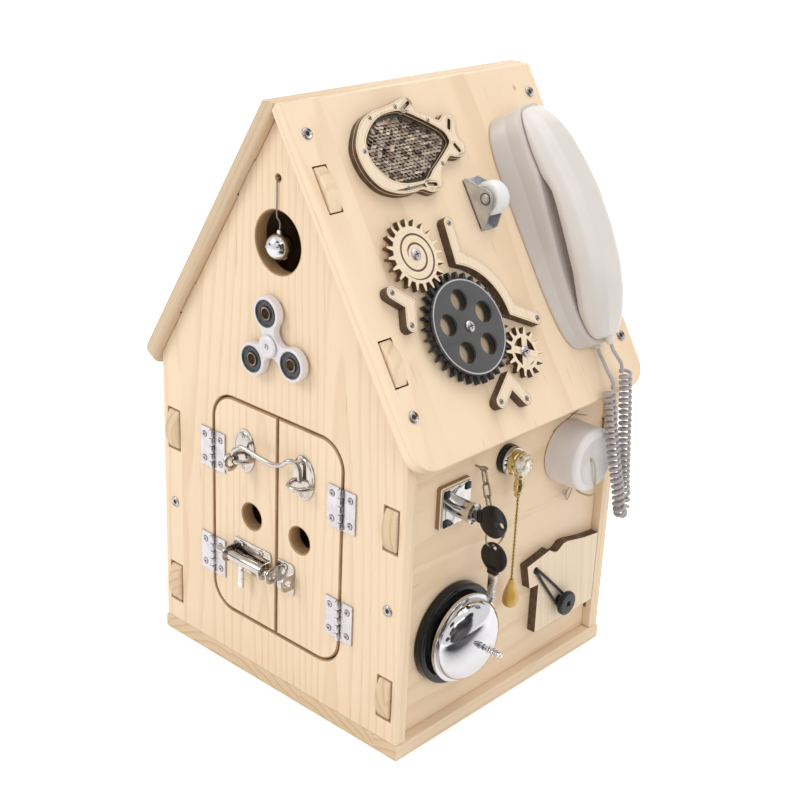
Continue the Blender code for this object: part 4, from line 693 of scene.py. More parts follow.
def cutAndShadedPine(name, grain):
    # The sawn inside of an opening: warmer, a little browned by the cutter, and darker still as painted
    # shade in the narrow gaps and slots.
    wood = Finish(name)
    place = wood.place()
    v = wood.along(place, grain)
    ripple = wood.noise(wood.vector(v * 30.0, wood.along(place, (0, 1, 0)) * 900.0, 0.0), 1.0, 2.0)
    cloud = wood.noise(place, 60.0, 3.0)
    colour = wood.colours(cloud * 0.6 + ripple * 0.4,
                          [(0.3, (0.3, 0.165, 0.07)), (0.7, (0.47, 0.29, 0.145))])
    return wood.finished(wood.shade(colour, ripple.ramp(0.3, 0.7, 0.55, 0.7), 0.0,
                                    wood.bump(ripple, 0.0002, 0.5)))


plyLook = Settings({
    "face": (0.84, 0.7, 0.53),
    "fleck": (0.72, 0.55, 0.37),
    "char": (0.034, 0.019, 0.011),
    "brown": (0.15, 0.08, 0.038),
    "toast": (0.46, 0.28, 0.13),
})


def plywood(name, normal, grain, low, thickness, layers=3.0, char=1.0, engraved=0.0):
    # Thin birch ply cut by laser: pale face, browned cut edges with darker layers, and where engraved is
    # above zero a thin burnt line inside the edge.
    ply = Finish(name)
    place = ply.place()
    height = (ply.along(place, normal) - low) / thickness
    v = ply.along(place, grain)
    streak = ply.noise(ply.vector(v * 12.0, ply.along(place, (0.31, 0.94, 0.12)) * 420.0, height * 2.0),
                       1.0, 3.0)
    fleck = ply.noise(place, 700.0, 2.0)
    cloud = ply.noise(place, 45.0, 3.0)
    face = ply.mix(streak.ramp(0.35, 0.75) * 0.5 + cloud * 0.25 + (fleck - 0.5) * 0.25, plyLook.face,
                   plyLook.fleck)
    rim = ply.attribute("rim")
    face = ply.mix(rim.ramp(0.78, 1.0) * 0.85 * char, face, plyLook.toast)
    face = ply.mix((1 - abs(rim - 0.42).ramp(0.05, 0.11)) * engraved, face, (0.26, 0.15, 0.075))
    layer = (height * layers).fraction()
    glue = 1 - layer.ramp(0.0, 0.1) * (1 - layer.ramp(0.9, 1.0))
    burn = ply.noise(place, 150.0, 3.0)
    edge = ply.mix((1 - glue) * burn.ramp(0.3, 0.75, 0.25, 0.95), plyLook.char, plyLook.brown)
    edge = ply.mix(1 - char, edge, (0.4, 0.25, 0.13))
    sideways = 1 - abs(ply.along(ply.facing(), normal)).ramp(0.25, 0.75)
    colour = ply.mix(sideways, face, edge)
    rough = streak.ramp(0.3, 0.7, 0.5, 0.66)
    return ply.finished(ply.shade(colour, rough, 0.0, ply.bump(streak + glue * 0.3, 0.0001, 0.4)))


def plainMetal(name, colour, dark, rough, cloudScale=180.0, scratch=0.35):
    metal = Finish(name)
    place = metal.place()
    cloud = metal.noise(place, cloudScale, 4.0, 0.6)
    fine = metal.noise(place, cloudScale * 9, 3.0, 0.6)
    tone = metal.mix(cloud.ramp(0.35, 0.75), colour, dark)
    finish = cloud.ramp(0.3, 0.75, rough * 0.75, rough * 1.45)
    return metal.finished(metal.shade(tone, finish, 1.0, metal.bump(fine, 0.00004, scratch)))


def turnedMetal(name, colour, dark, rough, normal, centre):
    # Rings left by the lathe or the polishing wheel round an axis.
    metal = Finish(name)
    place = metal.place()
    shifted = metal.node("ShaderNodeVectorMath", {"operation": "SUBTRACT"}, {0: place, 1: centre})
    height = metal.along(shifted, normal)
    whole = metal.along(shifted, shifted)
    away = (whole - height * height).atLeast(0.0) ** 0.5
    rings = metal.noise(metal.vector(away * 2600.0, height * 2600.0, 0.0), 1.0, 2.0)
    cloud = metal.noise(place, 70.0, 3.0)
    tone = metal.mix(rings.ramp(0.4, 0.7) * 0.5 + cloud * 0.3, colour, dark)
    finish = rings.ramp(0.3, 0.7, rough * 0.8, rough * 1.3)
    return metal.finished(metal.shade(tone, finish, 1.0, metal.bump(rings, 0.00003, 0.25)))


def moulded(name, colour, rough, mottle=0.04, grain=0.00004, scale=900.0, coat=0.0, shine=0.5):
    # Moulded plastic: faint flow marks, fine grain and small changes of gloss.
    plastic = Finish(name)
    place = plastic.place()
    cloud = plastic.noise(place, 28.0, 3.0)
    fine = plastic.noise(place, scale, 3.0, 0.6)
    darker = tuple(value * (1 - 4 * mottle) for value in colour)
    tone = plastic.mix(cloud.ramp(0.3, 0.75) * 0.5 + fine * 0.2, colour, darker)
    finish = (cloud * 0.5 + fine * 0.5).ramp(0.3, 0.7, rough * 0.85, rough * 1.2)
    more = {"Coat Weight": coat, "Coat Roughness": 0.12, "Specular IOR Level": shine}
    return plastic.finished(plastic.shade(tone, finish, 0.0, plastic.bump(fine, grain, 0.4), more))


across, upright, out = (1, 0, 0), (0, 0, 1), (0, 1, 0)
slopeUp = (-slopeCos, 0, slopeSin)
frontPine = pine("frontPine", across, upright, out, 0.37)
backPine = pine("backPine", across, upright, out, 0.81)
doorPine = pine("doorPine", across, upright, out, 0.52, 1.0, 0.02)
wallPine = pine("wallPine", upright, out, across, 0.15, 0.97, 0.05)
basePine = pine("basePine", across, out, upright, 0.63, 0.96, 0.03)
roofPine = pine("roofPine", out, slopeUp, roofNormal, 0.24, 1.02, -0.02)
# The left roof board is the same pine painted darker and browner (0.8, 0.22): painted shade for its front
# end and underside.
shadedLeftRoofPine = pine("shadedLeftRoofPine", out, (slopeCos, 0, slopeSin), (-slopeSin, 0, slopeCos), 0.71, 0.8, 0.22)
# Cut edges, door gaps and tab slots: partly browned wood, partly painted shade.
cutEdgeAndShade = cutAndShadedPine("cutEdgeAndShade", upright)
roofSlotCutAndShade = cutAndShadedPine("roofSlotCutAndShade", slopeUp)
nickel = plainMetal("nickelPlate", (0.54, 0.5, 0.46), (0.44, 0.405, 0.37), 0.12, 120.0, 0.15)
darkNickel = plainMetal("darkNickel", (0.47, 0.43, 0.39), (0.32, 0.29, 0.26), 0.22, 150.0, 0.2)
zinc = plainMetal("zincPlate", (0.58, 0.55, 0.57), (0.51, 0.483, 0.5), 0.26, 90.0, 0.2)
screwSteel = plainMetal("screwSteel", (0.5, 0.47, 0.45), (0.3, 0.28, 0.27), 0.2, 500.0)
dullZinc = plainMetal("dullZinc", (0.6, 0.62, 0.64), (0.42, 0.45, 0.49), 0.36, 90.0)
# Near-black painted shade for the insides of screw and button recesses and the rings round screw heads.
recessShade = moulded("recessShade", (0.03, 0.028, 0.026), 0.6)
print("finishes mixed")

phoneCord = Settings({
    "radius": 0.0015,
    "coilRadius": 0.0042,
    "pitch": 0.0052,
    "gap": 0.0011,
    "pointsPerCurl": 16,
    "baseSocket": [(0.1451, 0.086, 0.2955), (0.1467, 0.086, 0.2929), (0.1482, 0.086, 0.2903)],
    "baseLead": [(0.151, 0.085, 0.2885), (0.159, 0.0832, 0.28), (0.1662, 0.0815, 0.2735)],
    "coil": [
        (0.1665, 0.076, 0.269), (0.1685, 0.0782, 0.25), (0.1705, 0.0805, 0.23), (0.1735, 0.084, 0.205),
        (0.1775, 0.088, 0.178), (0.179, 0.0895, 0.164), (0.1775, 0.095, 0.1555), (0.1745, 0.103, 0.1548),
        (0.1715, 0.108, 0.164), (0.17, 0.1065, 0.178), (0.17, 0.103, 0.205), (0.1692, 0.101, 0.23),
        (0.1685, 0.0985, 0.255), (0.1675, 0.0955, 0.281),
    ],
    "handsetLead": [(0.1665, 0.09, 0.2875), (0.1648, 0.0878, 0.292)],
    "handsetSocket": [(0.1606, 0.086, 0.298), (0.159, 0.086, 0.3005), (0.1574, 0.086, 0.3031)],
    "liftStart": (0.1619, 0.0885, 0.2869),
    "liftEnd": (0.1661, 0.0864, 0.2932),
})


def coilFrames():
    # Middle, direction and turn of each point of the coil; where it bends, the pitch grows.
    line = np.array(smooth(phoneCord.coil, 12))
    pieces = np.linalg.norm(np.diff(line, axis=0), axis=1)
    reach = np.concatenate([[0], np.cumsum(pieces)])
    directions = np.gradient(line, reach, axis=0)
    bend = np.linalg.norm(np.gradient(directions, reach, axis=0), axis=1)
    innerShare = np.clip(1 - phoneCord.coilRadius * bend, 0.3, 1)
    pitch = np.maximum(phoneCord.pitch, (2 * phoneCord.radius + phoneCord.gap) / innerShare)
    turns = np.concatenate([[0], np.cumsum(pieces * (1 / pitch[1:] + 1 / pitch[:-1]) / 2)])
    frames = []
    for turn in np.linspace(0, turns[-1], round(turns[-1] * phoneCord.pointsPerCurl) + 1):
        middle = Vector([float(np.interp(turn, turns, line[:, k])) for k in range(3)])
        along = Vector([float(np.interp(turn, turns, directions[:, k])) for k in range(3)])
        frames.append((middle, along.normalized(), turn))
    return frames


def curlyRoute():
    frames = coilFrames()
    across = Vector(phoneCord.baseLead[-1]) - frames[0][0]
    sides = []
    for _, along, _ in frames:
        across = (across - along * across.dot(along)).normalized()
        sides.append((across, along.cross(across)))
    lastTurn = frames[-1][2]
    away = Vector(phoneCord.handsetLead[0]) - frames[-1][0]
    side, other = sides[-1]
    wanted = math.atan2(away.dot(other), away.dot(side)) / (2 * math.pi)
    stretch = (math.floor(lastTurn) + wanted) / lastTurn
    coil = []
    for (middle, _, turn), (side, other) in zip(frames, sides):
        t = 2 * math.pi * turn * stretch
        coil.append(middle + phoneCord.coilRadius * (side * math.cos(t) + other * math.sin(t)))
    leadIn = smooth(phoneCord.baseSocket + phoneCord.baseLead + [coil[0]], 5)
    leadOut = smooth([coil[-1]] + phoneCord.handsetLead + phoneCord.handsetSocket, 12)
    return leadIn[:-1] + [tuple(point) for point in coil] + leadOut[1:]


def routeLength(route):
    return sum((Vector(b) - Vector(a)).length for a, b in zip(route, route[1:]))


def twisted(route, radius, strands=3, pitch=0.004, sides=18):
    # A cord of a few strands laid round each other along the route.
    points = [Vector(point) for point in route]
    reach = 0.0
    rings = []
    normal = (points[1] - points[0]).orthogonal().normalized()
    for i, point in enumerate(points):
        reach += (point - points[i - 1]).length if i else 0
        along = (points[min(i + 1, len(points) - 1)] - points[max(i - 1, 0)]).normalized()
        normal = (normal - along * normal.dot(along)).normalized()
        across = along.cross(normal)
        ring = []
        for t in np.linspace(0, 2 * math.pi, sides, endpoint=False):
            lobe = abs(math.cos(strands / 2 * (t - 2 * math.pi * reach / pitch)))
            r = radius * (0.8 + 0.22 * lobe)
            ring.append(tuple(point + r * (normal * math.cos(t) + across * math.sin(t))))
        rings.append(ring)
    return loft(rings)


cordPlastic = moulded("cordPlastic", (0.43, 0.395, 0.395), 0.36, 0.05)
curlyPath = curlyRoute()
curlyCord = addPiece("curlyPhoneCord", tube(curlyPath, phoneCord.radius, 14), cordPlastic,
                     replaces="curly_cord", sharp=60, body=None)
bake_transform(curlyCord)   # only the lead stretches
# baked in place; it rides on no body
print("curly cord laid", round(routeLength(curlyPath), 3))

drumString = Settings({
    "radius": 0.0008,
    "route": [
        (0.07, 0.206, 0.0245), (0.07, 0.206, 0.0275), (0.07, 0.2052, 0.0302), (0.0702, 0.2015, 0.0322),
        (0.0706, 0.195, 0.0332), (0.0712, 0.187, 0.0336), (0.0722, 0.18, 0.0332), (0.0735, 0.1742, 0.031),
        (0.0745, 0.1712, 0.0265), (0.075, 0.17, 0.0205), (0.0748, 0.1706, 0.015), (0.0744, 0.173, 0.011),
        (0.074, 0.1757, 0.0098), (0.074, 0.1783, 0.0096),
    ],
})
yarnLook = Settings({"pale": (0.62, 0.58, 0.36), "dark": (0.33, 0.3, 0.15), "browner": (0.36, 0.29, 0.22),
                     "brownest": (0.16, 0.12, 0.09)})


def yarn(name, pale, dark):
    thread = Finish(name)
    fuzz = thread.noise(thread.place(), 3200.0, 3.0, 0.7)
    cloud = thread.noise(thread.place(), 500.0, 2.0)
    colour = thread.mix(fuzz.ramp(0.35, 0.7) * 0.7 + cloud * 0.3, pale, dark)
    return thread.finished(thread.shade(colour, fuzz.ramp(0.3, 0.7, 0.75, 0.95), 0.0,
                                        thread.bump(fuzz, 0.0002, 0.7)))


drumYarn = yarn("drumYarn", yarnLook.pale, yarnLook.dark)
bellYarn = yarn("bellYarn", yarnLook.browner, yarnLook.brownest)
drumPath = [tuple(wallFrame @ Vector(point)) for point in smooth(drumString.route, 6)]
drumCord = addPiece("drumPullCord", twisted(drumPath, drumString.radius), drumYarn,
                    replaces="drum_cord", sharp=60)

bellHanging = Settings({
    "radius": 0.0006,
    "knotRadius": 0.0036,
    "hole": 0.4434,
    "front": 0.0012,
    "bend": 0.415,
    "bellTop": 0.404,
    "bellDepth": 0.002,
    "behind": -0.0123,
})


def hangingRoute():
    knot = bellHanging.knotRadius
    route = [
        (0, bellHanging.hole, bellHanging.behind - 2 * knot),
        (0, bellHanging.hole, bellHanging.behind - 1.5 * knot),
        (0, bellHanging.hole, bellHanging.behind - knot / 2), (0, bellHanging.hole, bellHanging.behind),
        (0, bellHanging.hole, -0.0025),
        (0, bellHanging.hole, bellHanging.front / 2), (0, bellHanging.hole - 0.00125, bellHanging.front),
        (0, (bellHanging.hole + bellHanging.bend) / 2, bellHanging.front),
        (0, bellHanging.bend, bellHanging.front), (0, bellHanging.bend - 0.0025, 0),
        (0, (bellHanging.bend + bellHanging.bellTop) / 2, -bellHanging.bellDepth),
        (0, bellHanging.bellTop + 0.0003, -bellHanging.bellDepth),
    ]
    return [tuple(frontFrame @ Vector(point)) for point in smooth(route, 6)]


def loopedKnot(centre, radius):
    # An overhand knot: a closed trefoil of the same string.
    turns = np.linspace(0, 2 * math.pi, 72, endpoint=False)
    size = radius / 3.4
    return tube([(centre[0] + size * (math.sin(t) + 2 * math.sin(2 * t)),
                  centre[1] + size * (math.cos(t) - 2 * math.cos(2 * t)),
                  centre[2] - size * math.sin(3 * t)) for t in turns], radius * 0.3, 10, closed=True)


bellPath = hangingRoute()
knotCentre = (0, bellHanging.hole, bellHanging.behind - bellHanging.knotRadius)
bellKnot = addPiece("bellStringKnot", loopedKnot(knotCentre, bellHanging.knotRadius), bellYarn,
                    frontFrame, sharp=60, body="window_bell")
bellString = addPiece("bellStringCord", twisted(bellPath, bellHanging.radius, 2, 0.0028), bellYarn,
                      replaces="bell_string", sharp=60, body="window_bell")

roundBell = Settings({"radius": 0.0105, "height": 0.391, "depth": 0.002, "neckRadius": 0.0022,
                      "neckLength": 0.0025, "slit": 0.0011})


def roundBellMesh():
    r = roundBell.radius
    profile = [(0, -r)]
    profile += [(r * math.cos(t), r * math.sin(t)) for t in np.radians(np.linspace(-84, -4, 22))]
    profile += [(r * 1.045, -r * 0.035), (r * 1.045, r * 0.035)]
    profile += [(r * math.cos(t), r * math.sin(t)) for t in np.radians(np.linspace(4, 76, 20))]
    profile += [(roundBell.neckRadius, r * 0.985), (roundBell.neckRadius, r + roundBell.neckLength * 0.8),
                (roundBell.neckRadius * 0.7, r + roundBell.neckLength), (0, r + roundBell.neckLength)]
    ball = turned(profile, 64)
    slit = slab(rectangle(-r * 0.72, r * 0.72, -roundBell.slit, roundBell.slit), -r * 1.2, -r * 0.5)
    return cutAway(ball, slit)


chrome = plainMetal("chromePlate", (0.66, 0.65, 0.66), (0.57, 0.56, 0.58), 0.07, 60.0, 0.15)
bellPlace = frontFrame @ shift(0, roundBell.height, -roundBell.depth) @ turnToY
jingleBell = addPiece("windowJingleBell", roundBellMesh(), chrome, bellPlace,
                      replaces="jingle_bell", sharp=35, body="window_bell")

elastic = Settings({
    "hole": (0.033, 0.108),
    "button": (0.07, 0.0655),
    "radius": 0.0013,
    "holeRadius": 0.003,
    "stemRadius": 0.004,
    "panelFace": 0.0083,
    "level": 0.0116,
})


def elasticRoute():
    # From the hole to the button's stem, round it and back into the same hole.
    hole, stem = Vector(elastic.hole), Vector(elastic.button)
    along = (stem - hole).normalized()
    across = Vector((-along.y, along.x))
    apart = elastic.radius + 0.00015
    reach = elastic.stemRadius + elastic.radius + 0.0003
    mouth = elastic.panelFace + elastic.radius + 0.0003
    half = [(*(hole + across * apart), 0.0043), (*(hole + across * apart), elastic.panelFace),
            (*(hole + across * apart + along * elastic.holeRadius), mouth)]
    far = 0.9 * (stem - hole).length
    for share in (0.25, 0.5, 0.75):
        spread = apart + share * (reach - apart)
        half.append((*(hole + across * spread + along * share * far),
                     mouth + share * (elastic.level - mouth)))
    roundStem = []
    for angle in range(90, -91, -30):
        t = math.radians(angle)
        roundStem.append((*(stem + along * reach * math.cos(t) + across * reach * math.sin(t)),
                          elastic.level))
    other = []
    for point in reversed(half):
        flat = Vector(point[:2]) - hole
        other.append((*(hole + flat - 2 * across * flat.dot(across)), point[2]))
    return [tuple(wallFrame @ Vector(point)) for point in smooth(half + roundStem + other, 5)]


def elasticBraid():
    braid = Finish("elasticBraid")
    place = braid.place()
    ribs = braid.cells(place, 2600.0)
    cloud = braid.noise(place, 400.0, 2.0)
    colour = braid.mix(ribs.ramp(0.2, 0.7) * 0.6 + cloud * 0.3, (0.035, 0.034, 0.036), (0.01, 0.01, 0.011))
    return braid.finished(braid.shade(colour, ribs.ramp(0.2, 0.8, 0.55, 0.8), 0.0,
                                      braid.bump(ribs, 0.0002, 0.6)))


elasticPath = elasticRoute()
elasticLoop = addPiece("elasticButtonLoop", tube(elasticPath, elastic.radius, 14), elasticBraid(),
                       replaces="elastic_loop", sharp=60)
print("cords laid")

house = Settings({
    "halfWidth": 0.14,
    "halfDepth": 0.135,
    "wallOuter": 0.132,
    "board": 0.012,
    "floor": 0.0143,
    "baseHalf": 0.1415,
    "baseThickness": 0.014,
    "roofThickness": 0.0125,
    "roofHalfDepth": 0.143,
    "eaveCorner": 0.02,
    "ridgeHalf": 0.0105,
    "ridge": 0.5,
    "gap": 0.0003,
    "slot": 0.0012,
    "tabStarts": (0.067, 0.2005),
    "tabLength": 0.0345,
    "tenonStarts": (0.0355, 0.1835),
    "tenonLength": 0.034,
    "tabRise": 0.005,
    "boardEdge": 0.0011,
    "roofEdge": 0.0022,
    "baseEdge": 0.0018,
    "doorHalf": 0.0755,
    "doorLow": 0.0555,
    "doorHigh": 0.253,
    "doorCorner": 0.024,
    "window": (0.394, 0.0246),
    "stringHole": (0.4434, 0.0025),
    "kerf": 0.0012,
    "split": 0.0018,
    "fingerHole": (0.0282, 0.1537, 0.01115),
    "hingePlace": 0.0749,
    "hingeAxis": 0.0025,
})


def slopePoint(along, above):
    return (0.16 - along * slopeCos + above * slopeSin, 0.258 + along * slopeSin + above * slopeCos)


def roofUnderside(x):
    return house.ridge + (house.ridgeHalf - abs(x)) * roofRise / roofRun - house.roofThickness / slopeCos


def mirrored(points):
    return [(-x, y) for x, y in reversed(points)]


def gableOutline():
    under = -house.roofThickness - house.gap
    gapHeight = house.gap / slopeCos
    right = [(house.halfWidth, house.floor), (house.halfWidth, roofUnderside(house.halfWidth) - gapHeight)]
    for start in house.tabStarts:
        end = start + house.tabLength
        tab = bulge(slopePoint(end, 0), slopePoint(start, 0), house.tabRise)
        right += [slopePoint(start, under)] + tab[::-1] + [slopePoint(end, under)]
    return right + [(0, roofUnderside(0) - gapHeight)] + mirrored(right)


def tenonSlots():
    outer = house.wallOuter + house.slot
    inner = house.wallOuter - house.board - house.slot
    slots = []
    for start in house.tenonStarts:
        low, high = start - house.slot, start + house.tenonLength + house.slot
        slots += [rectangle(inner, outer, low, high), rectangle(-outer, -inner, low, high)]
    return slots


def wallOutline():
    inner = house.halfDepth - house.board - house.gap
    right = [(inner, house.floor)]
    for start in house.tenonStarts:
        end = start + house.tenonLength
        tenon = bulge((house.halfDepth, end), (house.halfDepth, start), house.tabRise)
        right += [(inner, start)] + tenon[::-1] + [(inner, end)]
    right.append((inner, roofUnderside(house.wallOuter) - house.gap))
    return right + mirrored(right)


def roofBoard(butted):
    # The butted board stops at the underside of the other one.
    spareEnd = slopeLength + 2 * house.roofThickness
    edge, corner = house.roofHalfDepth, house.eaveCorner
    outline = [(edge, spareEnd), (-edge, spareEnd)]
    outline += arc((-edge + corner, corner), corner, 180, 270, 16) + arc((edge - corner, corner), corner,
            270, 360, 16)
    slots = []
    for start in house.tabStarts:
        low, high = start - house.slot, start + house.tabLength + house.slot
        near = house.halfDepth - house.board - house.slot
        far = house.halfDepth + house.slot
        slots += [rectangle(near, far, low, high), rectangle(-far, -near, low, high)]
    # The slot walls take the second finish: browned wood with painted shadow in the slots.
    board = cutAway(slab(outline, -house.roofThickness, 0, (), house.roofEdge, 5),
                     *[painted(slab(slot, -0.05, 0.05)) for slot in slots])
    trimmed(board, (0, slopeLength, 0), (0, slopeSin, slopeCos))
    if butted:
        toRoof = roofFrame.inverted()
        away = Vector((-slopeSin, 0, slopeCos))
        apex = Vector((0, 0, roofUnderside(0))) - away * house.gap
        trimmed(board, toRoof @ apex, toRoof.to_3x3() @ away)
    return board


def doorLeaf(side):
    # The closing edge leans back, so that it swings clear.
    outer = house.doorHalf - house.kerf
    inner = side * house.split + house.kerf / 2
    low, high = house.doorLow + house.kerf, house.doorHigh - house.kerf
    radius = house.doorCorner - house.kerf
    outline = [(inner, low)] + arc((outer - radius, low + radius), radius, -90, 0, 16)
    outline += arc((outer - radius, high - radius), radius, 0, 90, 16) + [(inner, high)]
    x, z, r = house.fingerHole
    # Its edges and finger hole take the second finish: browned wood and painted shade in the gap round the
    # door.
    leaf = slab(outline, -house.board, 0, [circle((x, z), r, 64)], 0.0015, 4, holeSlot=1, sideSlot=1)
    faceReach = house.hingePlace - inner
    swing = math.hypot(faceReach, house.hingeAxis)
    lean = faceReach - math.sqrt(swing ** 2 - (house.board + house.hingeAxis) ** 2)
    for vertex in leaf.vertices:
        if vertex.co.z < -house.board / 2 and vertex.co.x < inner + 0.002:
            vertex.co.x += lean
    return leaf if side > 0 else moved(leaf, mirrorX)


def gable(holes):
    # The walls of its holes take the second finish: browned wood and painted shade in the gaps and slots.
    return slab(gableOutline(), -house.board, 0, holes, house.boardEdge, 3, holeSlot=1)


base = rectangle(-house.baseHalf, house.baseHalf, -house.halfDepth, house.halfDepth)
addPiece("baseBoard", slab(base, 0, house.baseThickness, (), house.baseEdge, 4), basePine,
         replaces="base_board")
doorHole = roundedRectangle(-house.doorHalf, house.doorHalf, house.doorLow, house.doorHigh,
                            house.doorCorner, 20)
frontHoles = tenonSlots() + [doorHole, circle((0, house.window[0]), house.window[1], 96),
                             circle((0, house.stringHole[0]), house.stringHole[1], 24)]
addPiece("frontGable", gable(frontHoles), [frontPine, cutEdgeAndShade], frontFrame, "front_gable")
addPiece("backGable", gable(tenonSlots()), [backPine, cutEdgeAndShade], backFrame, "back_gable")
wallBoard = slab(wallOutline(), -house.board, 0, (), 0.0007)
addPiece("rightWallBoard", wallBoard, wallPine, wallFrame, "right_wall")
leftBoard = slab(wallOutline(), -house.board, 0, (), 0.0007)
addPiece("leftWallBoard", leftBoard, wallPine, leftWallFrame, "left_wall")
addPiece("rightRoofBoard", roofBoard(True), [roofPine, roofSlotCutAndShade], roofFrame, "right_roof")
addPiece("leftRoofBoard", roofBoard(False), [shadedLeftRoofPine, roofSlotCutAndShade], leftRoofFrame, "left_roof")
for side, leaf in ((-1, "left"), (1, "right")):
    addPiece(leaf + "DoorLeaf", doorLeaf(side), [doorPine, cutEdgeAndShade], frontFrame, leaf + "_door",
             body=leaf + "_leaf")
print("boards made")

screws = Settings({"domed": (0.0026, 0.0011), "small": (0.002, 0.0009), "board": (0.0047, 0.0013)})


def domedScrew(radius, height):
    # A domed head with a cross recess; the recess and a thin ring round the foot take the second finish,
    # near-black painted shade.
    profile = [(0, 0), (radius, 0), (radius * 0.97, height * 0.35)]
    profile += [(radius * math.cos(t), height * (0.35 + 0.65 * math.sin(t)))
                for t in np.radians([25, 45, 65, 80])]
    head = turned(profile + [(0, height)], 32)
    arm, half = radius * 0.58, radius * 0.13
    cross = [painted(slab(shape, height * 0.35, height * 2))
             for shape in (rectangle(-arm, arm, -half, half), rectangle(-half, half, -arm, arm))]
    # A thin dark ring round the foot of the head: painted shade where the head meets the surface.
    footShadeRing = turned([(radius * 0.9, 0), (radius * 1.13, 0), (radius * 1.13, height * 0.22),
                   (radius * 0.9, height * 0.22)], 32)
    return joined(cutAway(head, *cross), painted(footShadeRing))


def hexScrew(radius, height):
    # A dished rim round a deep hexagonal recess, whose walls take the second finish, near-black painted
    # shade.
    inner = radius * 0.56
    profile = [(0, 0), (radius, 0), (radius, height * 0.45), (radius * 0.93, height * 0.85),
               (radius * 0.82, height),
               (radius * 0.72, height * 0.85), (inner, height * 0.5), (0, height * 0.5)]
    head = turned(profile, 48)
    hexagon = painted(slab(circle((0, 0), radius * 0.46, 6), height * 0.06, height * 2))
    return cutAway(head, hexagon)


domed = domedScrew(*screws.domed)
smallDomed = domedScrew(*screws.small)
boardScrew = hexScrew(*screws.board)


def addScrews(name, screw, places, finish, body, at):
    # Every screw is turned a different way, as the driver left it.
    heads = [moved(screw, shift(*place) @ Matrix.Rotation(1.9 * k + 0.4, 4, "Z"))
             for k, place in enumerate(places)]
    # The second finish, on the recesses and the rings round domed heads, is near-black painted shade.
    return addPiece(name, joined(*heads), [finish, recessShade], at, body=body)


hinge = Settings({
    "height": 0.035,
    "places": (("upper", 0.1995), ("lower", 0.1016)),
    "width": 0.015,
    "leaf": 0.0012,
    "knuckle": 0.0022,
    "count": 5,
    "pin": 0.0012,
    "clearance": 0.0004,
    "screwReach": 0.0098,
    "screwSpread": 0.0108,
})


def hingeLeaf(own, hasPin):
    # The leaf reaches to +X from the barrel's axis, which is along Y through the origin.
    end = hinge.height / 2
    joints = np.linspace(-end, end, hinge.count + 1)
    clear = hinge.knuckle + hinge.clearance
    spans = []
    for k in own:
        low = joints[k] + (hinge.clearance / 2 if k else 0)
        high = joints[k + 1] - (hinge.clearance / 2 if k + 1 < hinge.count else 0)
        spans.append((low, high))
    corners = [(clear, -end)]
    for low, high in spans:
        corners += [(clear, low), (0.0011, low), (0.0011, high), (clear, high)]
    corners.append((clear, end))
    corners = [corner for corner in corners if corners.count(corner) == 1]
    outline = [(hinge.width, -end)] + corners + [(hinge.width, end)]
    parts = [slab(outline, -hinge.knuckle, hinge.leaf - hinge.knuckle, (), 0.00018, 2)]
    for low, high in spans:
        knuckle = filleted([(hinge.pin + 0.0002, low), (hinge.knuckle, low), (hinge.knuckle, high),
                            (hinge.pin + 0.0002, high)], 0.0003, 2)
        parts.append(moved(turned(knuckle, 28), turnToY))
    if hasPin:
        parts.append(rod(hinge.pin, -end, end, 20, turnToY, 0.0004))
    return joined(*parts)


for side, leaf in ((-1, "left"), (1, "right")):
    for level, height in hinge.places:
        at = shift(side * house.hingePlace, height, house.hingeAxis)
        label = f"{leaf}{level.capitalize()}Hinge"
        for part, own, flipped, body in (("Frame", range(0, 5, 2), side < 0, "house"),
                                         ("Door", range(1, 5, 2), side > 0, leaf + "_leaf")):
            turn = frontFrame @ at @ (halfTurn if flipped else Matrix())
            addPiece(label + part, hingeLeaf(own, part == "Frame"), zinc, turn,
                     f"{leaf}_{level}_hinge_{part.lower()}_leaf", sharp=30, body=body)
            places = [(hinge.screwReach, k * hinge.screwSpread, hinge.leaf - hinge.knuckle - 0.0002)
                      for k in (-1, 1)]
            addScrews(label + part + "Screws", domed, places, screwSteel, body, turn)
print("hinges made")

cabinHook = Settings({
    "plateWidth": 0.025,
    "plateHeight": 0.038,
    "rim": 0.0008,
    "crown": 0.0032,
    "places": (-0.036, 0.0325),
    "centre": 0.211,
    "staple": 0.206,
    "stapleHalf": 0.01,
    "reach": 0.014,
    "wire": 0.002,
    "eye": 0.006,
    "play": 0.0005,
    "raised": 6.014,
    "route": [
        (0.0, 1.0, 1.09), (0.066, 1.8, 1.02), (0.153, 2.25, 0.89), (0.285, 1.97, 0.86), (0.482, 1.5, 0.86),
        (0.679, 1.22, 0.86), (0.825, 1.53, 0.86), (0.92, 2.25, 0.8), (0.995, 2.15, 0.61),
        (1.029, 1.17, 0.486),
        (1.029, 0.17, 0.471), (1.029, -0.75, 0.471),
    ],
})


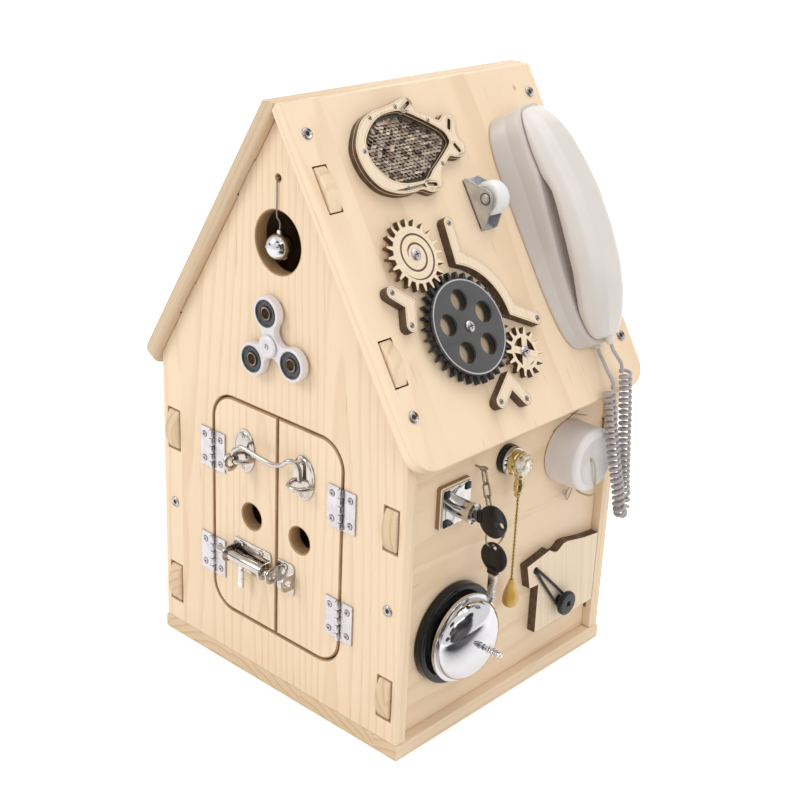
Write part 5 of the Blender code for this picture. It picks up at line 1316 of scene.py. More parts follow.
def hookPlateMesh(x):
    # An oval domed plate with its half-ring staple.
    radius, rim = cabinHook.plateHeight / 2, 0.0003 + cabinHook.rim
    profile = [(0, 0.0003), (radius * 0.99, 0.0003), (radius, 0.0003 + cabinHook.rim * 0.4),
               (radius * 0.985, rim), (radius * 0.9, rim + 0.0001)]
    for t in np.linspace(0.12, 0.97, 12):
        profile.append((0.88 * radius * math.sqrt(1 - t * t), rim + (cabinHook.crown - cabinHook.rim) * t))
    profile.append((0, 0.0003 + cabinHook.crown))
    narrow = Matrix.Diagonal((cabinHook.plateWidth / cabinHook.plateHeight, 1, 1, 1))
    plate = moved(turned(profile, 72), shift(x, cabinHook.centre) @ narrow)
    route = [(x + cabinHook.stapleHalf, cabinHook.staple, 0.0007)]
    for t in np.radians(np.linspace(10, 170, 28)):
        route.append((x + cabinHook.stapleHalf * math.cos(t), cabinHook.staple,
                      cabinHook.reach * math.sin(t)))
    route.append((x - cabinHook.stapleHalf, cabinHook.staple, 0.0007))
    return joined(plate, tube(route, cabinHook.wire, 20))


def hookMesh():
    span = cabinHook.places[1] - cabinHook.places[0]
    knots = [(cabinHook.places[0] + a * span, cabinHook.staple + b * cabinHook.eye, c * cabinHook.reach)
             for a, b, c in cabinHook.route]
    route = smooth(knots, 8)
    radii = [cabinHook.wire] * (len(route) - 5) + [cabinHook.wire * share
            for share in (0.99, 0.95, 0.86, 0.7, 0.42)]
    level = cabinHook.reach + cabinHook.eye - 2 * cabinHook.wire - cabinHook.play
    eye = [(cabinHook.places[0], cabinHook.staple + cabinHook.eye * math.cos(t),
            level + cabinHook.eye * math.sin(t))
           for t in np.linspace(0, 2 * math.pi, 40, endpoint=False)]
    return joined(tube(route, radii, 20), tube(eye, cabinHook.wire, 20, closed=True))


for name, x, body, node in (("hookPlate", cabinHook.places[0], "left_leaf", "hook_plate"),
                            ("eyePlate", cabinHook.places[1], "right_leaf", "hook_eye_plate")):
    addPiece(name, hookPlateMesh(x), nickel, frontFrame, node, sharp=45, body=body)
    places = [(x, cabinHook.centre + up * 0.0128, 0.0022) for up in (-1, 1)]
    addScrews(name + "Screws", smallDomed, places, nickel, body, frontFrame)
hookPivot = shift(cabinHook.places[0], cabinHook.staple)
raise_ = hookPivot @ Matrix.Rotation(math.radians(cabinHook.raised), 4, "Z") @ hookPivot.inverted()
addPiece("cabinHook", hookMesh(), nickel, frontFrame @ raise_, "door_hook", sharp=50, body="hook")

bolt = Settings({
    "height": 0.115,
    "axis": 0.0082,
    "rod": 0.003,
    "length": 0.061,
    "tip": 0.0006,
    "barrel": 0.0046,
    "ear": 0.007,
    "earThickness": 0.0015,
    "plate": (-0.049, -0.0035),
    "keeper": (0.0042, 0.0238),
    "plateWidth": 0.028,
    "knob": 0.0027,
    "drop": 0.026,
    "travel": 0.024,
    "clearance": 0.0004,
})
knobEngaged = bolt.plate[1] - bolt.earThickness - bolt.clearance - bolt.knob
knobRest = knobEngaged - bolt.travel


def boltPlate(left, right):
    low, high = bolt.height - bolt.plateWidth / 2, bolt.height + bolt.plateWidth / 2
    return slab(roundedRectangle(left, right, low, high, 0.003, 8), 0.0003, 0.0015, (), 0.0003)


def boltEar(left):
    outline = [(bolt.height - bolt.ear, 0.0009), (bolt.height + bolt.ear, 0.0009)]
    outline += arc((bolt.height, bolt.axis), bolt.ear, 0, 180, 24)
    bore = circle((bolt.height, bolt.axis), bolt.rod + bolt.clearance, 36)
    return moved(slab(outline, left, left + bolt.earThickness, [bore], 0.0003), cycled)


def barrelMesh():
    # The barrel is open below, where the knob slides, and its outer edges are rounded at both ends.
    left, right = bolt.plate[0] + 0.0005, bolt.plate[1] - bolt.earThickness + 0.0005
    inner = bolt.rod + bolt.clearance
    profile = [(inner, left), (bolt.barrel, left), (bolt.barrel, right), (inner, right)]
    pipe = moved(turned(filleted(profile, 0.0004, 2), 56), shift(0, bolt.height, bolt.axis) @ turnToX)
    slotHalf = bolt.knob + bolt.clearance
    slot = slab(rectangle(knobRest - slotHalf, right - 0.0005, bolt.height - bolt.plateWidth, bolt.height),
                bolt.axis - slotHalf, bolt.axis + slotHalf)
    return cutAway(pipe, slot)


left, right = bolt.plate
addPiece("boltBarrel", joined(boltPlate(left, right), boltEar(left), boltEar(right - bolt.earThickness),
                              barrelMesh()),
         nickel, frontFrame, "bolt_barrel", sharp=35, body="left_leaf")
places = [(x, bolt.height + up, 0.0014) for up, xs in ((0.0102, (-0.039, -0.015)), (-0.0102, (-0.044,)))
          for x in xs]
addScrews("boltScrews", domed, places, nickel, "left_leaf", frontFrame)
left, right = bolt.keeper
addPiece("boltKeeper", joined(boltPlate(left, right), boltEar(left), boltEar(right - bolt.earThickness)),
         nickel,
         frontFrame, "bolt_keeper", sharp=35, body="right_leaf")
middle = (left + right) / 2
addScrews("keeperScrews", domed, [(middle, bolt.height + 0.0102, 0.0014),
                                  (middle, bolt.height - 0.0102, 0.0014)],
          nickel, "right_leaf", frontFrame)
toAxis = shift(0, bolt.height, bolt.axis)
shaft = moved(rod(bolt.rod, bolt.tip - bolt.length, bolt.tip, 40, turnToX, 0.0008), toAxis)
drop = bolt.drop
knobProfile = filleted([(0, -drop), (bolt.knob * 0.92, -drop), (bolt.knob, -drop + 0.003),
                        (bolt.knob * 0.94, -drop * 0.35),
                        (bolt.knob * 0.8, -drop * 0.28), (bolt.knob * 0.8, 0), (0, 0)], 0.0008, 4)
knob = moved(turned(knobProfile, 40), shift(knobRest, bolt.height, bolt.axis) @ turnToY)
satinNickel = plainMetal("satinNickel", (0.74, 0.72, 0.69), (0.6, 0.58, 0.55), 0.32, 400.0)
addPiece("boltRod", joined(shaft, painted(knob)), [nickel, satinNickel], frontFrame, "bolt_rod",
         sharp=40, body="bolt")
print("door furniture made")

spinner = Settings({
    "height": 0.3135,
    "pitch": 0.0255,
    "lobe": 0.0135,
    "waist": 0.0095,
    "low": 0.0015,
    "high": 0.0085,
    "weight": 0.0108,
    "bore": 0.0052,
    "proud": 0.0006,
    "turn": 9.5,
    "shaft": 0.003,
    "cap": (0.009, 0.0022),
})


def spinnerOutline():
    # Three round lobes joined by arcs that touch them and pass the hub at the waist.
    gap = spinner.lobe - spinner.waist
    valley = (spinner.pitch ** 2 - gap ** 2) / (spinner.pitch + 2 * gap)
    centre = (valley * math.cos(math.radians(60)), valley * math.sin(math.radians(60)))
    lean = math.degrees(math.atan2(centre[1], centre[0] - spinner.pitch))
    third = arc((spinner.pitch, 0), spinner.lobe, -lean, lean, 36)
    third += arc(centre, valley - spinner.waist, lean - 180, -lean - 60, 14)[1:-1]
    points = []
    for k in range(3):
        turn = Matrix.Rotation(math.radians(90 + spinner.turn + 120 * k), 2)
        points += [tuple(turn @ Vector(point)) for point in third]
    return points


lobePlaces = [(spinner.pitch * math.cos(t), spinner.pitch * math.sin(t))
              for t in np.radians([90 + spinner.turn + 120 * k for k in range(3)])]


def weightMesh(centre):
    # A ring with a flat rim, a dished face and a raised lip round the bore.
    top, low = spinner.high + spinner.proud, spinner.low - spinner.proud
    profile = [(spinner.bore, low), (spinner.weight, low), (spinner.weight, top),
               (spinner.weight * 0.88, top),
               (spinner.weight * 0.84, top - 0.001), (spinner.bore + 0.0012, top - 0.0013),
               (spinner.bore + 0.0008, top - 0.0002),
               (spinner.bore, top - 0.0002)]
    return turned(filleted(profile, 0.0003, 2), 64, centre)


spinnerHoles = [circle(centre, spinner.weight - 0.0004, 64) for centre in lobePlaces]
spinnerHoles.append(circle((0, 0), spinner.shaft + 0.0004, 32))
spinnerPlastic = moulded("spinnerPlastic", (0.72, 0.685, 0.7), 0.3, 0.02, coat=0.2)
blackWeight = moulded("blackWeight", (0.022, 0.021, 0.022), 0.22, 0.05, 0.00005, 1400.0)
boreBrown = plainMetal("boreBrown", (0.42, 0.33, 0.27), (0.22, 0.16, 0.12), 0.35)
spinnerPlace = frontFrame @ shift(0, spinner.height)
addPiece("spinnerBody", slab(spinnerOutline(), spinner.low, spinner.high, spinnerHoles, 0.0009, 4),
         spinnerPlastic,
         spinnerPlace, "spinner_body", sharp=40, body="spinner")
addPiece("spinnerWeights", joined(*[weightMesh(centre) for centre in lobePlaces]), blackWeight,
         spinnerPlace, sharp=35, body="spinner")
sleeves = [turned([(spinner.bore - 0.0009, spinner.low), (spinner.bore + 0.0001, spinner.low),
                   (spinner.bore + 0.0001, 0.0084), (spinner.bore - 0.0009, 0.0084)], 48, centre)
           for centre in lobePlaces]
addPiece("spinnerBores", joined(*sleeves), boreBrown, spinnerPlace, sharp=35, body="spinner")
capLow = spinner.high + spinner.proud + 0.0003
flangeHigh = spinner.low - spinner.proud - 0.0003
capRadius, capThickness = spinner.cap
axleProfile = [(0, 0.0003), (spinner.waist - 0.0005, 0.0003), (spinner.waist - 0.0005, flangeHigh),
               (spinner.shaft, flangeHigh),
               (spinner.shaft, capLow), (capRadius, capLow), (capRadius, capLow + capThickness * 0.5),
               (capRadius * 0.86, capLow + capThickness), (capRadius * 0.55, capLow + capThickness),
               (capRadius * 0.4, capLow + capThickness - 0.0007), (0, capLow + capThickness - 0.0007)]
addPiece("spinnerCap", turned(filleted(axleProfile, 0.0004, 3), 64), spinnerPlastic,
         spinnerPlace, "spinner_axle", sharp=40)
addScrews("spinnerScrew", smallDomed, [(0, 0, capLow + capThickness - 0.0008)], zinc, "house",
          spinnerPlace)
print("spinner made")

counterBell = Settings({
    "place": (-0.0667, 0.089),
    "base": (0.043, 0.01, 0.003),
    "rim": (0.0375, 0.014, 0.004),
    "shoulder": 0.0345,
    "top": 0.036,
    "wall": 0.0012,
    "post": 0.005,
    "plunger": 0.0022,
    "plungerTop": 0.054,
    "head": 0.0034,
    "headLow": 0.0403,
    "headRibs": [(1.0, 0.02), (1.0, 0.14), (0.72, 0.18), (0.72, 0.3), (0.95, 0.34), (0.95, 0.48),
                 (0.72, 0.52),
                 (0.72, 0.6), (0.86, 0.64), (0.86, 0.74), (0.66, 0.78), (0.66, 0.92), (0.5, 1.0)],
})


def domeMesh():
    rim, low, thick = counterBell.rim
    foot = low + thick
    bore = counterBell.plunger + 0.0004
    rise = counterBell.top - foot

    def curve(radius, height):
        last = math.degrees(math.acos(bore / radius))
        return [(radius * math.cos(t), foot + height * math.sin(t))
                for t in np.radians(np.linspace(0, last, 40))]

    outer = filleted([(rim - 0.0004, low), (rim, low + 0.0002), (rim, foot - 0.0008), (rim - 0.0008, foot),
                      (counterBell.shoulder + 0.0006, foot)], 0.0006, 4)
    profile = outer + curve(counterBell.shoulder, rise) + curve(counterBell.shoulder - counterBell.wall,
            rise - counterBell.wall)[:0:-1]
    profile += [(counterBell.shoulder - counterBell.wall, foot - counterBell.wall),
                (rim - counterBell.wall, foot - counterBell.wall), (rim - counterBell.wall, low)]
    return turned(profile, 128)


radius, thick, roundness = counterBell.base
glossyBlack = moulded("glossyBlack", (0.01, 0.01, 0.011), 0.16, 0.05, 0.00002, 700.0, coat=0.15, shine=0.25)
satinBlack = moulded("satinBlack", (0.014, 0.014, 0.015), 0.26, 0.05, shine=0.3)
bellFrame = wallFrame @ shift(*counterBell.place)
postTop = 0.0342
baseProfile = [(0, 0.0003), (radius - 0.0012, 0.0003), (radius, 0.0012), (radius, thick - roundness)]
baseProfile += [(radius - roundness + roundness * math.cos(t), thick - roundness + roundness * math.sin(t))
                for t in np.radians(np.linspace(10, 90, 10))]
baseProfile += [(radius * 0.8, thick), (radius * 0.78, thick - 0.0008), (counterBell.post, thick - 0.0008),
                (counterBell.post, postTop),
                (counterBell.plunger + 0.0004, postTop), (counterBell.plunger + 0.0004, thick / 2),
                (0, thick / 2)]
addPiece("bellBase", turned(baseProfile, 128), glossyBlack, bellFrame, "bell_base",
         sharp=35)
domeChrome = turnedMetal("domeChrome", (0.66, 0.65, 0.675), (0.6, 0.59, 0.615), 0.055, (1, 0, 0),
                         (0.132, *counterBell.place))
addPiece("bellDome", domeMesh(), domeChrome, bellFrame, "bell_dome", sharp=30)
length = counterBell.plungerTop - counterBell.headLow
plungerProfile = [(0, 0.0093), (counterBell.plunger, 0.0093), (counterBell.plunger, counterBell.headLow)]
plungerProfile += [(r * counterBell.head, counterBell.headLow + h * length)
                   for r, h in counterBell.headRibs] + [(0, counterBell.plungerTop)]
addPiece("bellPlunger", turned(filleted(plungerProfile, 0.0002, 2), 48), chrome, bellFrame,
         "bell_plunger", sharp=35, body="bell_button")
print("counter bell made")

lock = Settings({
    "place": (-0.0715, 0.203),
    "plate": (-0.074, 0.206),
    "backing": (0.036, 0.004),
    "plateSize": (0.033, 0.0012),
    "corner": 0.0025,
    "radius": 0.0085,
    "front": 0.023,
    "plug": (0.005, 0.009),
    "bow": (0.013, 0.003, 0.04),
    "hole": (0.0024, 0.0087),
    "blade": (0.008, 0.0022),
})


def squarePlate(size, low, high, edge, rim=0.0):
    x, y = lock.plate
    half = size / 2
    outline = roundedRectangle(x - half, x + half, y - half, y + half, lock.corner, 8)
    return slab(outline, low, high, (), edge, 3, rim)


lockPly = plywood("lockPly", (1, 0, 0), (0, 1, 0), 0.1323, 0.004, 3.0, 0.45)
plateLow = 0.0003 + lock.backing[1] + 0.0003
addPiece("lockBacking", squarePlate(lock.backing[0], 0.0003, 0.0043, 0.0001, 0.0012), lockPly,
         wallFrame, "lock_backing")
bodyProfile = [(lock.plug[0] + 0.0004, lock.front - lock.plug[1]),
               (lock.plug[0] + 0.0004, lock.front - 0.0003),
               (lock.radius - 0.0022, lock.front), (lock.radius - 0.0014, lock.front),
               (lock.radius, lock.front - 0.0012),
               (lock.radius, lock.front - 0.0046), (lock.radius - 0.0006, lock.front - 0.0052),
               (lock.radius - 0.0006, plateLow)]
cylinder = turned([(0, plateLow + 0.0005)] + bodyProfile[::-1] + [(0, lock.front - lock.plug[1])], 72,
                  lock.place)
lockChrome = plainMetal("lockChrome", (0.65, 0.63, 0.61), (0.52, 0.5, 0.48), 0.1, 90.0, 0.2)
addPiece("lockBody", joined(squarePlate(lock.plateSize[0], plateLow, plateLow + lock.plateSize[1], 0.0004),
                            cylinder),
         lockChrome, wallFrame, "lock_body", sharp=35)
half = lock.plateSize[0] / 2 - 0.0042
corners = [(lock.plate[0] + x * half, lock.plate[1] + y * half) for x in (-1, 1) for y in (-1, 1)]
cornerPads = [slab(roundedRectangle(x - 0.003, x + 0.003, y - 0.003, y + 0.003, 0.0008, 5),
                   plateLow + 0.001,
                   plateLow + 0.0021, (), 0.0003) for x, y in corners]
addPiece("lockCornerPads", joined(*cornerPads), satinBlack, wallFrame, sharp=35)


def keyBow(radius, thickness, holeUp):
    # A round bow with a hole that stands on edge, with rounded edges.
    x, y = (0, lock.hole[1]) if holeUp else (lock.hole[1], 0)
    hole = circle((x, y), lock.hole[0], 32)
    core = slab(circle((0, 0), radius, 96), -thickness / 2, thickness / 2, [hole], 0.0007, 4)
    return moved(core, swapXZ)


plugRadius, plugDepth = lock.plug
plugLow = lock.front - plugDepth + 0.0003
plug = turned(filleted([(0, plugLow), (plugRadius, plugLow), (plugRadius, lock.front - 0.0003),
                        (0, lock.front - 0.0003)], 0.0004), 48)
bladeWidth, bladeThickness = lock.blade
bowRadius, bowThickness, bowHeight = lock.bow
blade = slab(rectangle(-bladeThickness / 2, bladeThickness / 2, -bladeWidth / 2, bladeWidth / 2),
             lock.front - 0.002,
             bowHeight - bowRadius + 0.001, (), 0.0003)
collar = slab(roundedRectangle(-0.0021, 0.0021, -0.0052, 0.0052, 0.0012), bowHeight - bowRadius - 0.0016,
              bowHeight - bowRadius + 0.003, (), 0.0004)
lockSteel = plainMetal("keySteel", (0.62, 0.59, 0.55), (0.42, 0.39, 0.36), 0.2, 300.0)
turnedKey = joined(painted(plug), painted(blade), collar,
                   moved(keyBow(bowRadius, bowThickness, False), shift(0, 0, bowHeight)))
addPiece("turnedKey", turnedKey, [glossyBlack, lockSteel], wallFrame @ shift(*lock.place),
         "lock_key", sharp=40, body="turned_key")

chain = Settings({
    "hook": (-0.0468, 0.2285),
    "wire": 0.0009,
    "width": 0.007,
    "links": 4,
    "ring": (-0.0555, 0.185, 0.031),
    "ringRadius": 0.012,
    "spareBow": (0.0125, 0.0026, 0.029),
})


def ringPoint(angle, radius=None):
    t = math.radians(angle)
    r = radius or chain.ringRadius
    return Vector((chain.ring[0] + r * math.cos(t), chain.ring[1] + r * math.sin(t), chain.ring[2]))


def chainLink(start, end, flat):
    start, end = Vector(start), Vector(end)
    width = chain.width - 2 * chain.wire
    straight = (end - start).length / 2 - width / 2
    oval = arc((straight, 0), width / 2, -90, 90, 16) + arc((-straight, 0), width / 2, 90, 270, 16)
    along = (end - start).normalized()
    across = along.cross(Vector((0, 0, 1))).normalized()
    side = across if flat else along.cross(across)
    middle = (start + end) / 2
    return tube([tuple(middle + along * x + side * y) for x, y in oval], chain.wire, 14, closed=True)


def chainMesh():
    eyeRadius = chain.width / 2 - chain.wire
    eyeHeight = 0.0003 + 3 * eyeRadius
    hook = chain.hook
    eye = tube([(hook[0] + eyeRadius * math.cos(t), hook[1], eyeHeight + eyeRadius * math.sin(t))
                for t in np.linspace(0, 2 * math.pi, 32, endpoint=False)], chain.wire, 14, closed=True)
    stem = moved(rod(chain.wire, 0.0003, eyeHeight - eyeRadius, 20), shift(*hook))
    start, end = Vector((*hook, eyeHeight)), ringPoint(120)
    along = (end - start).normalized()
    start += along * (eyeRadius / 2)
    end += along * chain.wire
    bite = chain.wire * 0.8
    pitch = ((end - start).length - 2 * bite) / chain.links
    parts = [eye, stem]
    for k in range(chain.links):
        first = start + along * (k * pitch)
        parts.append(chainLink(first, first + along * (pitch + 2 * bite), k % 2 == 0))
    # The split ring is wire wound twice round.
    split = [tuple(ringPoint(angle) + Vector((0, 0, 0.0005 * (angle - 360) / 360)))
             for angle in range(0, 721, 10)]
    parts.append(tube(split, chain.wire * 0.66, 12))
    return joined(*parts)


bronze = plainMetal("chainBronze", (0.44, 0.38, 0.31), (0.25, 0.205, 0.16), 0.24, 500.0)
addPiece("keyChain", chainMesh(), bronze, wallFrame, "key_chain", sharp=50)

spareRadius, spareThickness, spareLength = chain.spareBow
sparePivot = ringPoint(270)
spareDrop = lock.hole[0] - chain.wire - 0.0003
spareAt = shift(sparePivot.x, sparePivot.y - spareDrop - lock.hole[1], sparePivot.z)


def notchedBlade():
    # The blade's own outline: a shoulder, bitting along one side and a pointed end.
    top, low = -spareRadius + 0.002, -spareRadius - spareLength + 0.0005
    half = bladeWidth / 2
    points = [(-half, top), (-half, low + 0.003), (0, low), (half * 0.35, low + 0.0018)]
    depths = (0.55, 0.95, 0.62, 0.85, 0.5, 0.78, 0.98)
    step = (spareLength - 0.01) / len(depths)
    for k, depth in enumerate(depths):
        y = low + 0.003 + k * step
        points += [(half * depth, y), (half * depth, y + step * 0.55)]
    points += [(half, low + 0.003 + len(depths) * step), (half, top)]
    core = slab(points[::-1], -spareThickness / 3, spareThickness / 3, (), 0.00015, 2)
    return moved(core, swapXZ)


spareCollar = moved(slab(roundedRectangle(-0.0048, 0.0048, -spareRadius - 0.0022, -spareRadius + 0.003,
                                          0.0012),
                         -0.0019, 0.0019, (), 0.0004), swapXZ)
addPiece("spareKey", joined(keyBow(spareRadius, spareThickness, True), spareCollar,
                            painted(notchedBlade())),
         [glossyBlack, lockSteel], wallFrame @ spareAt, "spare_key", sharp=40,
         body="hanging_key")
print("lock and keys made")

pullSwitch = Settings({
    "place": (-0.009, 0.223),
    "base": 0.0125,
    "front": 0.023,
    "neck": (0.015, 0.0042, 0.195),
    "chainTop": 0.198,
    "beads": 24,
    "pitch": 0.0033,
    "bead": 0.0013,
    "core": 0.0006,
    "knob": (0.0066, 0.025),
    "knobShape": [(0.45, 0.01), (0.72, 0.05), (0.92, 0.13), (1.0, 0.27), (0.96, 0.42), (0.78, 0.6),
                  (0.52, 0.8), (0.34, 0.95), (0.28, 1.0)],
})
switchFrame = wallFrame @ shift(*pullSwitch.place)
brass = plainMetal("agedBrass", (0.72, 0.6, 0.28), (0.46, 0.38, 0.16), 0.22, 260.0)
r, f = pullSwitch.base, pullSwitch.front
collarProfile = [(0, 0.0003), (r, 0.0003), (r, f * 0.2), (r * 0.97, f * 0.27), (r * 0.9, f * 0.28),
                 (0, f * 0.28)]
addPiece("switchCollar", turned(filleted(collarProfile, 0.0005), 72), satinBlack,
         switchFrame, sharp=35)
bodyProfile = [(0, f * 0.26), (r * 0.9, f * 0.26), (r * 0.92, f * 0.38), (r * 0.84, f * 0.4),
               (r * 0.8, f * 0.44), (r * 0.8, f * 0.6), (r * 0.74, f * 0.64),
               (r * 0.74, f * 0.7), (0, f * 0.7)]
switchBody = turned(filleted(bodyProfile, 0.0004), 72)
neckPlace, neckRadius, neckLow = pullSwitch.neck
neckProfile = [(pullSwitch.bead + 0.0005, neckLow - pullSwitch.place[1]),
               (neckRadius * 0.8, neckLow - pullSwitch.place[1]), (neckRadius * 0.8, -0.0245),
               (neckRadius, -0.0235),
               (neckRadius, -0.017), (neckRadius * 0.85, -0.016), (neckRadius * 0.85, -0.012),
               (neckRadius, -0.011), (neckRadius, 0), (pullSwitch.bead + 0.0005, 0)]
neck = moved(turned(filleted(neckProfile, 0.0003, 2), 40), shift(0, 0, neckPlace) @ turnToY)
addPiece("switchBody", joined(switchBody, neck), brass, switchFrame, "switch_body", sharp=35)


def clearPlastic(name, tint):
    # Clear plastic over a pale inside, shown as a glossy coat on a bright base.
    clear = Finish(name)
    place = clear.place()
    cloud = clear.noise(place, 260.0, 3.0, 0.5, 0.8)
    fine = clear.noise(place, 900.0, 2.0)
    colour = clear.colours(cloud, [(0.35, tuple(v * 0.3 for v in tint)), (0.5, tint),
                                   (0.65, (0.85, 0.83, 0.76))])
    return clear.finished(clear.shade(colour, fine.ramp(0.3, 0.7, 0.05, 0.14), 0.25,
                                      clear.bump(cloud, 0.0004, 0.5),
                                      {"Coat Weight": 0.9, "Coat Roughness": 0.03}))


facets = [(r * 0.74, f * 0.7), (r * 0.76, f * 0.82), (r * 0.66, f * 0.93), (r * 0.4, f), (0, f)]
addPiece("switchFront", turned([(0, f * 0.66), (r * 0.74, f * 0.66)] + facets, 14),
         clearPlastic("clearFront", (0.62, 0.55, 0.38)), switchFrame, sharp=12)
ringProfile = [(r * 0.8, f * 0.28), (r * 0.96, f * 0.28), (r * 0.98, f * 0.34), (r * 0.9, f * 0.42),
               (r * 0.8, f * 0.42)]
addPiece("switchBezel", turned(filleted(ringProfile, 0.0004), 72), chrome, switchFrame, sharp=35)

knobTop = pullSwitch.chainTop - pullSwitch.beads * pullSwitch.pitch
beadProfiles = []
for k in range(pullSwitch.beads):
    middle = knobTop + (k + 0.5) * pullSwitch.pitch
    beadProfiles.append(turned([(0, middle - pullSwitch.bead)]
                               + [(pullSwitch.bead * math.cos(t), middle + pullSwitch.bead * math.sin(t))
                                        for t in np.radians(np.linspace(-80, 80, 9))]
                               + [(0, middle + pullSwitch.bead)], 20))
wire = rod(pullSwitch.core * 1.1, knobTop - 0.001, pullSwitch.chainTop, 10)
knobRadius, knobLength = pullSwitch.knob
knobProfile = [(0, knobTop - knobLength)] + [(share * knobRadius, knobTop - (1 - up) * knobLength)
        for share, up in pullSwitch.knobShape] + [(0, knobTop)]
knob = turned([(max(a, 0), b) for a, b in smooth(knobProfile, 5)][:-1] + [(0, knobTop)], 48)
chainPlace = wallFrame @ shift(pullSwitch.place[0], 0, neckPlace) @ turnToY
chainBrass = plainMetal("beadBrass", (0.66, 0.55, 0.14), (0.34, 0.27, 0.06), 0.25, 900.0)


def amberPlastic():
    amber = Finish("amberPlastic")
    place = amber.place()
    streak = amber.noise(amber.vector(amber.along(place, (1, 0, 0)) * 90.0,
                                      amber.along(place, (0, 1, 0)) * 90.0,
                                      amber.along(place, (0, 0, 1)) * 30.0), 1.0, 3.0, 0.5, 1.2)
    fine = amber.noise(place, 1200.0, 2.0)
    colour = amber.colours(streak, [(0.3, (0.42, 0.22, 0.025)), (0.5, (0.56, 0.32, 0.045)),
                                    (0.72, (0.64, 0.42, 0.1))])
    return amber.finished(amber.shade(colour, fine.ramp(0.3, 0.7, 0.16, 0.28), 0.0,
                                      amber.bump(fine, 0.00003, 0.3),
                                      {"Coat Weight": 0.5, "Coat Roughness": 0.08}))


addPiece("pullChain", joined(*beadProfiles, painted(wire)), [chainBrass, satinBlack],
         chainPlace, "pull_chain", sharp=50, body="pull")
addPiece("pullKnob", knob, amberPlastic(), chainPlace, sharp=50, body="pull")
print("pull switch made")

drum = Settings({"place": (0.07, 0.206), "radius": 0.0275, "height": 0.032, "round": 0.005, "dish": 0.004,
                 "hole": 0.0016})


def drumMesh():
    # Its face is dished, with a step at the rim and folds that run in to the hole.
    r, h, e = drum.radius, drum.height, drum.round
    profile = [(0, 0.0003), (r - 0.001, 0.0003), (r, 0.0013), (r, h - e)]
    profile += [(r - e + e * math.cos(t), h - e + e * math.sin(t))
                for t in np.radians(np.linspace(8, 90, 12))]
    inner = r - 1.6 * e
    profile += [(inner + 0.0012, h), (inner, h - 0.0009)]
    profile += [(inner * share, h - 0.0009 - (drum.dish - 0.0009) * (1 - share ** 1.6))
                for share in np.linspace(0.92, 0.1, 16)]
    profile += [(drum.hole, h - drum.dish), (drum.hole, h - drum.dish - e), (0, h - drum.dish - e)]
    mesh = turned(profile, 120)
    for vertex in mesh.vertices:
        away = math.hypot(vertex.co.x, vertex.co.y)
        if vertex.co.z > h - drum.dish - 0.001 and drum.hole * 1.5 < away < inner * 0.98:
            turn = math.atan2(vertex.co.y, vertex.co.x)
            share = away / inner
            vertex.co.z += 0.00045 * math.sin(3 * turn + 0.8) * math.sin(math.pi * share)
    return mesh


drumPlastic = moulded("drumPlastic", (0.75, 0.71, 0.7), 0.34, 0.03, 0.00004, 700.0)
addPiece("pullDrum", drumMesh(), drumPlastic, wallFrame @ shift(*drum.place), "drum",
         sharp=32)
threadFinish = yarn("wallThread", (0.4, 0.28, 0.17), (0.22, 0.14, 0.08))
threads = [tube([(a, b, 0.0004), (c, d, 0.0004)], 0.00035, 8)
           for a, b, c, d in ((0.052, 0.2275, 0.1, 0.2425), (0.06, 0.2425, 0.098, 0.229))]
paleYarn = yarn("paleYarn", (0.62, 0.56, 0.44), (0.42, 0.36, 0.26))
loops = []
for k, (sideways, low) in enumerate(((0.0015, 0.158), (-0.003, 0.164))):
    route = smooth([(0.074, 0.1785, 0.0094), (0.0765 + sideways, 0.17, 0.0062),
                    (0.077 + sideways, low + 0.004, 0.004), (0.0745 + sideways, low, 0.0034),
                    (0.0715 + sideways, low + 0.005, 0.0042), (0.0722, 0.171, 0.0066),
                    (0.074, 0.1785, 0.0098)], 8)
    loops.append(tube(route, 0.0006, 10))

panel = Settings({
    "left": 0.021,
    "right": 0.1215,
    "low": 0.045,
    "high": 0.1207,
    "thickness": 0.008,
    "shares": [(0.0, 0.933), (0.055, 0.635), (0.174, 0.625), (0.178, 0.0), (1.0, 0.0), (1.0, 0.89),
               (0.806, 0.923), (0.545, 0.995),
               (0.49, 0.992), (0.45, 0.96), (0.411, 0.931), (0.365, 0.945), (0.294, 1.0)],
    "hole": (0.033, 0.108, 0.003),
    "button": (0.07, 0.0655, 0.011, 0.005),
    "stem": (0.004, 0.006),
})
outline = [(panel.left + u * (panel.right - panel.left), panel.low + v * (panel.high - panel.low))
           for u, v in panel.shares]
panelPly = plywood("panelPly", (1, 0, 0), (0, 1, 0), 0.1323, 0.008, 4.0)
addPiece("raisedPanel", slab(outline, 0.0003, 0.0003 + panel.thickness,
                             [circle(panel.hole[:2], panel.hole[2], 40)], 0.0001, 2, 0.0009),
         panelPly, wallFrame, "ply_panel", sharp=35)
x, y, r, thick = panel.button
stemRadius, stemHeight = panel.stem
stemLow = panel.thickness + 0.0006
capUnder = stemLow + stemHeight
capHigh = capUnder + thick
buttonProfile = [(0, stemLow), (stemRadius + 0.0014, stemLow), (stemRadius, stemLow + 0.0012),
                 (stemRadius, capUnder), (r - 0.0008, capUnder), (r, capUnder + 0.0012),
                 (r * 0.985, capHigh - 0.001),
                 (r * 0.9, capHigh - 0.0002), (r * 0.6, capHigh), (0, capHigh)]
# The square recess in the cap takes the second finish, near-black painted shade.
button = cutAway(turned(filleted(buttonProfile, 0.0006), 64),
                  painted(slab(roundedRectangle(-0.0024, 0.0024, -0.0024, 0.0024, 0.0004), capHigh - 0.0022,
                               capHigh + 0.002)))
addPiece("panelButton", button, [satinBlack, recessShade], wallFrame @ shift(x, y), "button",
         sharp=35)
print("wall fittings made")

